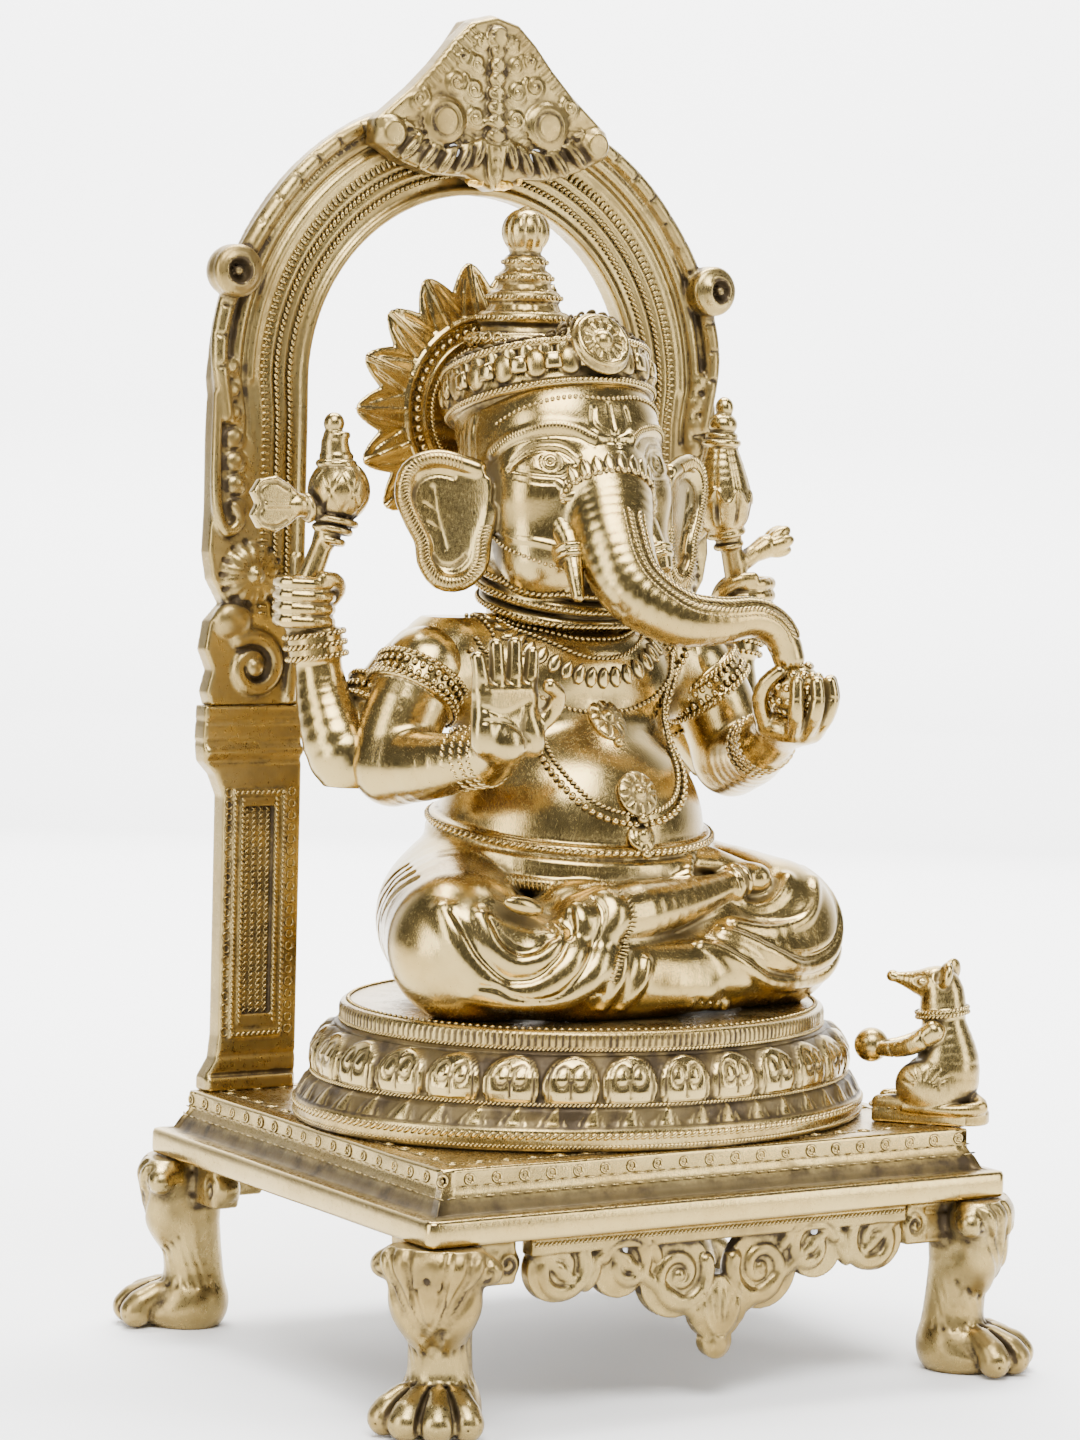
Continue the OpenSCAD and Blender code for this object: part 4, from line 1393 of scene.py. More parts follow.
class IDOL_OT_pedestal(bpy.types.Operator):
    """Oval lotus pedestal: rope edges, a ring of engraved petals and a hatched rim"""

    bl_idname = "idol.pedestal"
    bl_label = "Lotus pedestal"

    def execute(self, context):
        low, high = box_mm("lotus_pedestal")
        mid_y = (low[1] + high[1]) / 2
        half_x, half_y = (high[0] - low[0]) / 2, (high[1] - low[1]) / 2
        foot, top = low[2], high[2]
        petals = sizes().petals
        # height, half width, half depth, darkness of patina and painted shade
        stations = [
            (foot + 6, 55, 48, 0.9), (foot, 56, 49, 0.9), (foot, half_x - 0.9, half_y - 0.9, 0.8),
            (foot + 0.5, half_x - 0.2, half_y - 0.2, 0.5), (foot + 3.4, half_x, half_y, 0.1),
            (foot + 5.6, half_x - 0.1, half_y - 0.1, 0.1), (foot + 6.6, half_x - 0.8, half_y - 0.8, 0.7),
            (foot + 8.2, half_x - 1.6, half_y - 1.6, 0.3),
            (foot + 10.8, half_x - 3.6, half_y - 1.6, 0.3), (foot + 12.4, half_x - 6.2, half_y - 2.6, 0.85),
            (foot + 13.4, half_x - 6.4, half_y - 2.4, 0.6),
            (foot + 15.6, half_x - 6.0, half_y - 2.1, 0.2), (foot + 19.4, half_x - 6.3, half_y - 2.4, 0.15),
            (foot + 22.6, half_x - 8.4, half_y - 3.6, 0.2),
            (foot + 24.6, half_x - 10.8, half_y - 5.0, 0.3),
            (foot + 25.8, half_x - 13.4, half_y - 6.2, 0.8),
            (foot + 26.4, half_x - 14.6, half_y - 6.6, 0.9),
            (foot + 27.0, half_x - 14.2, half_y - 6.0, 0.3),
            (foot + 29.6, half_x - 14.2, half_y - 5.9, 0.1),
            (foot + 31.0, half_x - 14.6, half_y - 6.2, 0.1),
            (top, half_x - 15.8, half_y - 7.4, 0.0), (top - 0.05, half_x - 22, half_y - 14, 0.2),
            (top - 0.05, 40, 34, 0.5), (top - 0.05, 2, 2, 0.6),
        ]
        run = [0.0]
        for a, b in zip(stations, stations[1:]):
            run.append(run[-1] + math.hypot(b[0] - a[0], b[1] - a[1]))
        fine = [
            t for a,
            b in zip(run, run[1:]) for t in np.linspace(
                a, b, max(int((b - a) / (0.55 if a > 60 and b < 110 or b - a < 6 else 8)), 1) + 1
            )[:-1]
        ] + [run[-1]]
        st = np.array([[np.interp(t, run, [s[k] for s in stations]) for k in range(4)] for t in fine])
        around = 720
        theta = np.arange(around) * 2 * math.pi / around
        t_fine = np.linspace(0, 2 * math.pi, 7201)
        ring_len = np.concatenate(
            [
                [0],
                np.cumsum(
                    np.hypot(np.diff((half_x - 6) * np.sin(t_fine)), np.diff((half_y - 2) * np.cos(t_fine)))
                )
            ]
        )
        ring_len /= ring_len[-1]
        share = np.interp(theta, t_fine, ring_len)
        x = st[:, 1][:, None] * np.sin(theta)
        y = -st[:, 2][:, None] * np.cos(theta)
        z = np.repeat(st[:, 0][:, None], around, 1)
        patina_and_shade = np.repeat(st[:, 3][:, None], around, 1)
        wear = np.zeros_like(patina_and_shade)

        # heart petals on the lotus tier
        v = (z - (foot + 12.8)) / (12.4)
        u = (share * petals % 1) * 2 - 1
        zone = (v > 0) & (v < 1)
        edge = 0.97 * np.clip(np.sin(math.pi * np.clip(v * 0.82 + 0.2, 0, 1)), 0, 1) ** 0.3
        inside = np.clip((edge - np.abs(u)) / 0.08, 0, 1)
        body = inside * (1 - 0.2 * (u / np.maximum(edge, 0.2)) ** 2)
        rib = np.exp(
            -(((np.abs(u) - edge * 0.8) / 0.055) ** 2)
        ) + 0.9 * np.exp(-((u / 0.05) ** 2)) * (v > 0.12) * (v < 0.5)
        rib += 0.8 * np.exp(-(((np.hypot((np.abs(u) - 0.3) * 1.6, (v - 0.58) * 1.7) - 0.36) / 0.08) ** 2))
        rise = zone * (1.25 * body - 0.62 * rib * inside - 0.9 * (1 - inside))
        # dark between the petals and along their ribs: patina and painted shade
        patina_and_shade = np.where(zone, np.clip(0.08 + 0.75 * (1 - inside) + 0.7 * rib * inside, 0, 1), patina_and_shade)
        wear = np.where(zone, np.clip(body * (1 - rib), 0, 1), wear)
        # small leaves on the rim's underside and the hatched rim
        v2 = (z - (foot + 27.0)) / 3.6
        hatch = np.sin(share * petals * 8 * 2 * math.pi)
        zone2 = (v2 > 0.1) & (v2 < 0.95)
        rise += np.where(zone2, 0.22 * hatch, 0)
        # hatch troughs darker: patina and painted shade
        patina_and_shade = np.where(zone2, np.clip(0.35 - 0.5 * hatch, 0, 1), patina_and_shade)
        # flat leaf tongues on the slope of the low tier
        v3 = (z - (foot + 6.6)) / 5.4
        u3 = (share * petals * 1.6 % 1) * 2 - 1
        zone3 = (v3 > 0.05) & (v3 < 1)
        edge3 = 0.85 * np.sqrt(np.clip(1 - v3, 0, 1)) + 0.05
        in3 = np.clip((edge3 - np.abs(u3)) / 0.18, 0, 1)
        rise += np.where(
            zone3, 0.7 * in3 - 0.5 * np.exp(-(((np.abs(u3) - edge3 * 0.55) / 0.13) ** 2)) * in3 - 0.5, 0
        )
        # dark between the tongues and in their grooves: patina and painted shade
        patina_and_shade = np.where(
            zone3,
            np.clip(
                0.15 + 0.8 * (1 - in3) + 0.6 * np.exp(-(((np.abs(u3) - edge3 * 0.55) / 0.13) ** 2)), 0, 1
            ),
            patina_and_shade
        )
        x = x + rise * np.sin(theta)
        y = y - rise * np.cos(theta) + mid_y
        verts = np.stack([x, y, z], -1).reshape(-1, 3)
        rows = len(st)
        i, j = np.meshgrid(np.arange(rows - 1), np.arange(around), indexing="ij")
        j2 = (j + 1) % around
        quads = np.stack(
            [i * around + j, i * around + j2, (i + 1) * around + j2, (i + 1) * around + j], -1
        ).reshape(-1, 4)
        faces = quads.tolist()
        faces.append(list(range(around))[::-1])
        faces.append([(rows - 1) * around + k for k in range(around)])
        print(f"  lotus_pedestal_casting: {2 * len(quads)} triangles")
        obj = mesh_object("lotus_pedestal_casting", verts, faces, patina_and_shade.ravel(), wear.ravel())
        finish_piece(obj, *CARVED, "lotus_pedestal")

        def oval_path(hx, hy, z, tilt=0.0):
            t = np.linspace(0, 2 * math.pi, 181)[:-1]
            p = np.stack([hx * np.sin(t), mid_y - hy * np.cos(t), np.full_like(t, z)], 1)
            n = np.stack([np.sin(t) / hx, -np.cos(t) / hy, np.zeros_like(t)], 1)
            n = n / length(n)[:, None] + (0, 0, tilt)
            return Path(p, n, closed=True)

        rope = ornament("pedestal_rope_twist", *pad(3.4, 1.5, 1.0, spin=38, around=8))
        strand(
            "pedestal_foot_rope", [oval_path(half_x - 0.55, half_y - 0.55, foot + 4.4)], rope, 2.1, *CARVED
        )
        thin = ornament("pedestal_thin_twist", *pad(2.0, 0.8, 0.55, spin=38, around=6))
        strand(
            "pedestal_thin_ropes",
            [
                oval_path(half_x - 0.3, half_y - 0.3, foot + 1.5),
                oval_path(half_x - 5.6, half_y - 2.2, foot + 12.4, 0.3),
                oval_path(half_x - 14.3, half_y - 6.3, foot + 26.6)
            ],
            thin, 1.2, *CARVED,
        )
        bead = ornament("pedestal_rim_bead", *pad(1.5, 1.5, 0.6, around=8))
        strand(
            "pedestal_rim_beads", [oval_path(half_x - 16.6, half_y - 8.2, top + 0.05, 9.0)], bead, 2.1,
            *CARVED
        )
        return {"FINISHED"}


# ---------------------------------------------------------------- pillars, arch and crest


def mirror_path(path):
    return Path(path.points * (-1, 1, 1), path.ups * (-1, 1, 1), path.share, path.closed)


class IDOL_OT_pillars(bpy.types.Operator):
    """Two pillars with ring-punched borders, roped frames and hatched panels"""

    bl_idname = "idol.pillars"
    bl_label = "Pillars"

    def execute(self, context):
        low, high = box_mm("pillar_left")
        y0, y1 = low[1], high[1]
        foot, top = box_mm("plinth")[1][2], high[2]
        inner, outer = 54.5, 79.5
        s = Sculpt()
        body = [(inner, foot), (high[0] - 2.9, foot), (
            high[0] - 2.9, foot + 4
        ), (outer + 0.8, foot + 9), (outer, foot + 16), (outer, top - 26),
                (outer + 2.5, top - 20), (high[0] - 0.6, top - 16), (high[0], top - 10),
                (high[0] - 0.4, top), (inner - 1, top), (inner - 1, top - 6), (inner, top - 9)]
        s.add(slice_xz(body, y0 + 0.9, y1, 0.9))
        s.add(
            slice_xz(
                [
                    (inner + 5.5, foot + 15), (outer - 2.5, foot + 15), (outer - 2.5, top - 24),
                    (inner + 5.5, top - 24)
                ],
                y0 - 0.2, y0 + 3, 0.6
            ),
            k=0.6
        )
        s.cut(
            slice_xz(
                [(63.6, foot + 22), (73.4, foot + 22), (73.4, top - 29), (63.6, top - 29)], y0 - 3,
                y0 + 1.3, 0.3
            )
        )
        for x in (inner + 1.0, outer - 1.0):
            s.groove(
                [
                    (x + (0.7 if x < 60 else -0.7), y0 + 0.9, foot + 16),
                    (x + (0.7 if x < 60 else -0.7), y0 + 0.9, top - 24)
                ],
                0.4, 0.4
            )
        for dx, z in ((61.7, 0), (75.3, 0)):
            s.groove([(dx, y0 - 0.2, foot + 19), (dx, y0 - 0.2, top - 26)], 0.45, 0.8)
        for z in (foot + 18, top - 26):
            s.groove([(61.7, y0 - 0.2, z), (75.3, y0 - 0.2, z)], 0.45, 0.7)
        # mouldings of the cap and the foot
        for z, d in (
            (top - 16, 0.9), (top - 10.5, 0.7), (top - 4.5, 0.9), (foot + 4.5, 0.8), (foot + 10, 0.6)
        ):
            s.groove([(inner - 4, y0 + 0.9, z), (high[0] + 2, y0 + 0.9, z)], 0.7, d)
            s.groove([(high[0], y0 - 2, z), (high[0], y1, z)], 0.6, d * 0.6)
        s.add(
            block(
                ((inner + high[0]) / 2 - 0.5, (y0 + y1) / 2, top - 13.2), ((high[0] - inner) / 2, 3.9, 1.5),
                soft=1.3
            ),
            k=0.5
        )
        s.add(
            block(
                ((inner + high[0]) / 2 - 1, (y0 + y1) / 2, foot + 2), ((high[0] - inner) / 2 - 2, 4, 2),
                soft=0.8
            ),
            k=0.5
        )
        for i in range(13):
            x = inner + 1 + i * 2.5
            s.groove([(x, y0 - 0.2, top - 9.3), (x + 1.1, y0 - 0.2, top - 5.5)], 0.45, 0.6)
        s.add(
            slice_xz(
                [(60.5, foot - 7.5), (72.5, foot - 7.5), (72.5, foot + 2), (60.5, foot + 2)],
                (y0 + y1) / 2 - 1.9, (y0 + y1) / 2 + 1.9, 0.3
            )
        )
        verts, quads, deep, proud = s.skin(cell(1.15))
        print(f"  pillar: {2 * len(quads)} triangles each")
        punch = ornament("pillar_punch", *hoop(1.15, 0.34))
        rope = ornament("pillar_rope_twist", *pad(2.1, 1.0, 0.7, spin=42, around=6))
        hatch = ornament("panel_hatch", *pad(3.0, 0.42, 0.4, spin=45, around=6))
        cross = ornament("panel_cross_hatch", *pad(3.0, 0.42, 0.4, spin=-45, around=6))
        front = (0, -1, 0)
        up = lambda x, y, a=foot + 17, b=top - 25: Path([(x, y, z) for z in np.linspace(a, b, 12)], front)
        rings = [up(57.6, y0 + 0.85), up(78.0, y0 + 0.85)]
        ropes = [
            up(60.6, y0 - 0.15), up(63.0, y0 - 0.15, foot + 20, top - 27),
            up(74.0, y0 - 0.15, foot + 20, top - 27), up(76.4, y0 - 0.15)
        ]
        ropes += [
            Path(
                [(x, y0 - 0.15, z) for x in np.linspace(61, 76, 6)], front
            ) for z in (foot + 16.5, top - 24.8)
        ]
        hatches = [up(x, y0 + 1.3, foot + 23, top - 30) for x in (65.2, 67.5, 69.8, 72)]
        for node, side in (("pillar_left", LEFT), ("pillar_right", RIGHT)):
            q = quads if side == LEFT else quads[:, ::-1]
            obj = mesh_object(node + "_casting", verts * (side, 1, 1), q, deep, proud)
            finish_piece(obj, *ARCH, node)
            turn = (lambda paths: paths) if side == LEFT else (
                lambda paths: [mirror_path(p) for p in paths]
            )
            strand(node + "_rings", turn(rings), punch, 3.4, *ARCH, uneven=0.1)
            strand(node + "_ropes", turn(ropes), rope, 1.5, *ARCH)
            strand(node + "_hatching", turn(hatches), hatch, 1.7, *ARCH)
            strand(node + "_cross_hatching", turn(hatches), cross, 1.7, *ARCH)
        return {"FINISHED"}


def band_curve(offset):
    """The arch's line from its foot scroll over the top to the middle, so far outside the inner edge."""
    centre_z, inner = 273.0, 55.0
    r = inner + offset
    lead = [(55.0 + offset * 0.92, z) for z in np.linspace(203 + offset * 0.2, 262, 12)]
    turn = [(r * math.cos(t), centre_z + r * math.sin(t)) for t in np.radians(np.linspace(0, 90, 30))]
    return np.array(lead + turn)


class IDOL_OT_arch(bpy.types.Operator):
    """Horseshoe arch: ribbed and roped mouldings, a notched outer wing, scroll balls and rosettes"""

    bl_idname = "idol.arch"
    bl_label = "Arch"

    def execute(self, context):
        low, high = box_mm("arch")
        y0, y1 = 64.3, min(high[1], 72.3)
        foot = low[2]
        s = Sculpt()
        outer_edge = [(55.2, foot), (84, foot), (85.2, foot + 4), (
            83.5, foot + 10
        ), (86, foot + 16), (84.6, foot + 24), (80, foot + 29), (84, foot + 36),
                      (85.4, foot + 44), (84.8, foot + 56), (84.9, foot + 76), (84.5, 268), (85, 273)]
        outer_edge += [
            (84.6 * math.cos(t), 273 + 84.6 * math.sin(t)) for t in np.radians(np.linspace(6, 66, 16))
        ]
        outer_edge += [(28, 352), (26, 349), (0, 350)]
        inner_edge = [(0, 328.2)] + [
            (55.2 * math.cos(t), 273 + 55.2 * math.sin(t)) for t in np.radians(np.linspace(84, 0, 20))
        ] + [(55.2, foot + 20)]
        both = [p for p in outer_edge + inner_edge]
        half = slice_xz(both, y0 + 1.6, y1, 0.8)
        s.add(
            Form(
                lambda p: half.far(np.stack([np.abs(p[:, 0]), p[:, 1], p[:, 2]], 1)), (-high[0], y0, foot),
                (high[0], y1, 352)
            )
        )
        front = y0 + 1.6
        for side in (1, -1):
            def line(offset, lift=0.0, a=0, b=None):
                c = band_curve(offset)[a:b]
                return np.stack([side * c[:, 0], np.full(len(c), front - lift), c[:, 1]], 1)

            s.add(chain(line(1.5), 1.5), k=0.5)
            for o, r in ((8.4, 0.75), (12.6, 0.75), (16.4, 0.9)):
                s.ridge(line(o), r, 0.9)
            for o, h, w in ((18.6, 1.3, 1.2), (23.4, 1.9, 1.5)):
                s.ridge(line(o, 0, 12 - int((o - 18) * 0.4)), w, h)
            s.groove(line(21.0, 0, 10), 0.8, 0.9)
            s.groove(line(25.9, 0, 10), 0.7, 0.8)
            wing = curve(
                [
                    (side * 81.5, front - 0.6, 262), (side * 84.0, front - 0.6, 284),
                    (side * 77, front - 0.4, 306), (side * 62, front - 0.4, 328),
                    (side * 46, front - 0.3, 342), (side * 29, front - 0.3, 350)
                ],
                40
            )
            s.add(
                chain(wing, np.concatenate([np.linspace(2.2, 2.9, 20), np.linspace(2.9, 2.2, 20)])), k=1.0
            )
            for k in range(5, 36, 3):
                t = wing[min(k + 1, 39)] - wing[k - 1]
                n = unit(np.cross(t, (0, 1, 0)))
                s.groove([wing[k] - n * 3.4 + (0, -1.9, 0), wing[k] + n * 3.4 + (0, -1.9, 0)], 0.5, 0.75)
            # scroll ball on the shoulder
            at = np.array((side * 81.0, y0 - 0.5, 303.0))
            s.add(ball(at, 7.6), k=0.8)
            s.add(ring(at + (0, -3.2, 0), (0, 1, 0), 5.6, 1.9), k=0.4)
            s.cut(ball(at + (side * 0.8, -6.6, 0), 3.4), k=0.8)
            s.add(ball(at + (side * 0.8, -5.0, 0), 1.5))
            s.groove(spiral(at + (0, -6.4, 0), (side, 0, 0), (0, 0, 1), 6.4, 3.8, 0.9, 24, 160), 0.45, 0.7)
            # stacked crescents below the ball
            for k in range(7):
                c = np.array((side * (80.2 - 0.5 * k), front + 0.4, foot + 96 - k * 6.6))
                s.add(oval(c, (3.6, 2.4, 3.4)), k=0.5)
                s.groove(loop(c + (0, -1.6, 1.2), (0, 1, 0), 2.5, 14, 0, 180), 0.4, 0.6)
            rim = curve(
                [
                    (side * 84.2, front - 0.6, 268), (side * 84.2, front - 0.8, foot + 60),
                    (side * 81, front - 1, foot + 50), (side * 76.5, front - 1, foot + 53),
                    (side * 78.5, front - 1, foot + 57)
                ],
                30
            )
            s.add(chain(rim, np.linspace(1.4, 1.7, 30)), k=0.5)
            # rosette ball, smooth lobe and the scroll that stands on the pillar
            c = np.array((side * 72.0, front + 0.6, foot + 37.5))
            s.add(oval(c, (9.6, 4.4, 9.2)), k=1.0)
            for k in range(14):
                t = 2 * math.pi * k / 14
                d = np.array((math.cos(t), 0, math.sin(t)))
                s.groove([c + d * 3.6 + (0, -4.2, 0), c + d * 7.2 + (0, -3.2, 0), c + d * 9.8], 0.6, 0.9)
            s.add(ball(c + (0, -3.4, 0), 2.2), k=0.3)
            s.groove(loop(c + (0, -4.2, 0), (0, 1, 0), 3.1, 24), 0.4, 0.6)
            s.add(oval((side * 77.5, front + 0.4, foot + 24.5), (6, 3.6, 5.4)), k=0.9)
            scroll = spiral(
                (side * 71, front + 0.2, foot + 11), (side, 0, 0), (0, 0, 1), 9.2, 2.6, 1.2, 34, 60
            )
            s.add(chain(scroll, np.linspace(2.6, 2.0, 34)), k=0.6)
            s.add(ball((side * 71, front - 0.6, foot + 11), 3.0), k=0.4)
            s.add(
                chain(
                    curve(
                        [
                            (side * 59, front, foot + 2), (side * 57.8, front, foot + 20),
                            (side * 57, front, foot + 42)
                        ],
                        12
                    ),
                    2.0
                ),
                k=0.6
            )
            for k in range(6):
                s.groove(
                    [
                        (side * (62 + 3.4 * k), front - 2.6, foot + 0.4),
                        (side * (62 + 3.4 * k), front - 1.8, foot + 3.6)
                    ],
                    0.45, 0.7
                )
        s.trim(half_space((0, 0, foot + 0.05), (0, 0, -1)))
        s.trim(half_space((0, y1, 0), (0, 1, 0)))
        cast("arch_casting", s, cell(1.3), *ARCH, "arch")

        rope = ornament("arch_rope_twist", *pad(2.6, 1.3, 0.95, spin=40, around=7))
        paths = {}
        for o in (14.6, 10.5, 6.2):
            c = band_curve(o)
            half = np.stack([c[:, 0], np.full(len(c), front - 0.15), c[:, 1]], 1)
            paths[o] = [Path(np.vstack([half, (half * (-1, 1, 1))[-2::-1]]), (0, -1, 0))]
        strand(
            "arch_rungs", paths[14.6], ornament("arch_ladder_rung", *pad(1.2, 3.4, 0.9, around=8)), 1.9,
            *ARCH
        )
        strand("arch_ropes", paths[10.5] + paths[6.2], rope, 1.75, *ARCH)
        return {"FINISHED"}


class IDOL_OT_crest(bpy.types.Operator):
    """Carved mask crest in front of the arch's top, with a smooth rounded cap behind it"""

    bl_idname = "idol.crest"
    bl_label = "Crest"

    def execute(self, context):
        low, high = box_mm("crest")
        y0, y1, base, peak = low[1], high[1], low[2], high[2]
        s = Sculpt()
        face = y0 + 2.4
        shape = [
            (0, base), (9, base + 4), (20, base + 4), (30, base + 7), (39.5, base + 12), (39, base + 19),
            (33, base + 24), (27, base + 29), (20, base + 36), (14, base + 43), (8, peak - 2.5),
            (0, peak - 0.4)
        ]
        s.add(slice_xz(shape + [(-x, z) for x, z in shape[-2:0:-1]], face, y0 + 10, 1.6))
        cap = [(0, 350), (26, 350), (21, 358), (15, 366), (9.8, 373), (6, 378.4), (0, peak)]
        s.add(slice_xz(cap + [(-x, z) for x, z in cap[-2:0:-1]], y0 + 4, y1, 2.8), k=1.5)
        # central column of crescents between spiral knobs
        for k in range(8):
            z = base + 16 + k * 4.1
            s.add(oval((0, face - 0.4, z), (3.4 - 0.16 * k, 2.4, 2.5)), k=0.5)
        s.add(ball((0, face, peak - 6.5), 3.4), k=0.6)
        for side in (1, -1):
            def at(x, z, out=0.0):
                return np.array((side * x, face - out, z))

            def curl(x, z, big, turns, start, thick=0.9, high_=1.0):
                line = spiral(at(x, z, 0.2), (side, 0, 0), (0, 0, 1), big, big * 0.16, turns, 26, start)
                s.ridge(line, thick, high_)
                s.add(ball(at(x, z, 0.5), big * 0.24), k=0.3)

            # eye shells: rings round a bead with a fan below
            s.add(oval(at(17.5, base + 19.5), (7.6, 2.8, 7.2)), k=0.8)
            for r in (6.4, 4.4):
                s.groove(loop(at(17.5, base + 19.5, 2.2), (0, 1, 0), r, 30), 0.45, 0.9)
            s.add(ball(at(17.5, base + 19.5, 2.6), 2.3), k=0.3)
            for k in range(11):
                t = math.radians(200 + 16 * k)
                d = np.array((side * math.cos(t), 0, math.sin(t)))
                c = at(17.5, base + 19.5, 0.4)
                s.groove([c + d * 7.4, c + d * 11.6 + (0, 0.4, 0)], 0.5, 0.9)
            # feathered curls up the cheeks
            for x, z, big, start in (
                (6.6, base + 21, 3.2, 200), (7.4, base + 29, 3.2, 210), (6.6, base + 36.5, 2.7, 220),
                (13.2, base + 31, 3.4, 150), (11, base + 38, 2.4, 160), (25.5, base + 25.5, 3.0, 130),
                (5.2, base + 43, 2.0, 220)
            ):
                curl(x, z, big, 1.4, start)
            for k in range(9):
                a = at(21 - k * 1.9, base + 29 + k * 1.9, 0.3)
                s.groove([a, a + (side * 3.4, 0.3, 2.9)], 0.45, 0.8)
            # shoulder scroll and snout leaves
            s.add(ball(at(34.5, base + 15, -1.5), 5.0), k=1.2)
            curl(34.5, base + 15, 4.2, 1.5, 60, 0.8, 1.1)
            for k, (x, z, tilt) in enumerate(
                (
                    (5.5, base + 11, -70), (10.5, base + 9, -60), (16, base + 8.2, -55),
                    (22, base + 9, -50), (28, base + 11.5, -45)
                )
            ):
                d = np.array((side * math.cos(math.radians(tilt)), 0, math.sin(math.radians(tilt))))
                s.add(oval(at(x, z), (4.8, 2.0, 2.5), axes(d, (0, -1, 0.01))), k=0.4)
                s.groove([at(x, z, 1.9) - d * 3.8, at(x, z, 1.9) + d * 3.8], 0.4, 0.7)
            s.ridge(
                curve(
                    [
                        at(3, base + 14, 0.4), at(9, base + 13.2, 0.5), at(18, base + 11.5, 0.5),
                        at(30, base + 18.5, 0.4)
                    ],
                    20
                ),
                0.8, 0.9
            )
            for k in range(10):
                s.groove([at(1.3, base + 14 + 3.4 * k, 2.2), at(4.0, base + 15.4 + 3.4 * k, 1.4)], 0.4, 0.7)
        # tongue with beads
        s.add(
            slice_xz(
                [(-4, base + 14), (4, base + 14), (2.4, base + 4), (0, base + 0.4), (-2.4, base + 4)],
                y0 + 0.4, y0 + 6, 1.2
            ),
            k=0.4
        )
        for z in (12, 8.8, 5.8):
            s.add(ball((0, y0 + 1.0, base + z), 1.25))
        s.trim(half_space((0, y0 + 0.1, 0), (0, -1, 0)))
        s.trim(half_space((0, y1, 0), (0, 1, 0)))
        s.trim(half_space((0, 0, base + 0.1), (0, 0, -1)))
        cast("crest_carving", s, cell(0.85), *ARCH, "crest")
        lump = Sculpt()
        lump.add(
            oval((3, y0 + 4, base + 2.2), (4.5, 2.6, 1.7)), oval((-4, y0 + 5, base + 2.8), (3.8, 2.4, 1.6)),
            ball((9.5, y0 + 5, base + 4), 1.8), k=1
        )
        lump.relief(
            (-12, y0 - 2, base - 2), (14, y0 + 12, base + 8),
            lambda p: 0.22 * np.sin(p[:, 0] * 2.3) * np.sin(p[:, 1] * 2.7 + p[:, 2] * 1.9)
        )
        cast("crest_braze", lump, 0.5, *BRAZE)
        return {"FINISHED"}


# ---------------------------------------------------------------- head, crown and halo

HEAD = (0.0, 19.0, 256.0)
TRUNK = [
    ((0, -1, 249), 15.4), ((-0.4, -9, 240), 13.6), ((-3, -18, 229), 11.8), ((-1.4, -25.6, 217.5), 10.4),
    ((8, -33, 210), 9.3), ((19, -36.4, 209), 8.2), ((30, -37.4, 210), 7.0), ((37.5, -37.6, 207.6), 5.9),
    ((41.6, -37.6, 203), 5.1), ((43.4, -37.8, 198.6), 4.5)
]


# height and half width of the rolls round the throat
COLLARS = ((210.5, 21.8), (215.2, 22.8), (219.8, 23.4))


def ear_place(side, u, w, out=0.0):
    """A point on an ear: u outwards along the plate, w up from its middle, out in front of it."""
    t = math.radians(32)
    return np.array(
        (
            side * (38.6 + u * math.cos(t) + out * math.sin(t)), 13.5 + u * math.sin(t) - out * math.cos(t),
            234.6 + w
        )
    )


EAR = [
    (-12, 12), (-4, 16), (4, 17.2), (10.5, 14), (12.2, 7), (9.6, 0), (6.4, -6), (5.4, -12), (1.4, -17),
    (-5, -17), (-9.6, -12), (-10.4, -5), (-12, 2)
]


def ear_form(side):
    t = math.radians(32)
    flat = outline(curve(EAR, 40, closed=True)[:-1, :2], 0.8)
    away, front = f32((side * math.cos(t), math.sin(t), 0)), f32((side * math.sin(t), -math.cos(t), 0))
    origin = f32((side * 38.6, 13.5, 234.6))

    def far(p):
        q = p - origin
        u, v, w = q @ away, q @ front, q[:, 2]
        a, b = flat(u, w), np.abs(v + 0.05 * u - 0.012 * u * u) - 1.5 + 0.8
        return np.hypot(np.maximum(a, 0), np.maximum(b, 0)) + np.minimum(np.maximum(a, b), 0) - 0.8

    return Form(far, origin - 20, origin + 20)


# points of the left eyebrow's line
BROW = ((4.4, -8, 256.6), (9.5, -6, 260.6), (16, -3, 261.4), (22, 3, 258.6), (25.5, 9, 253.5))


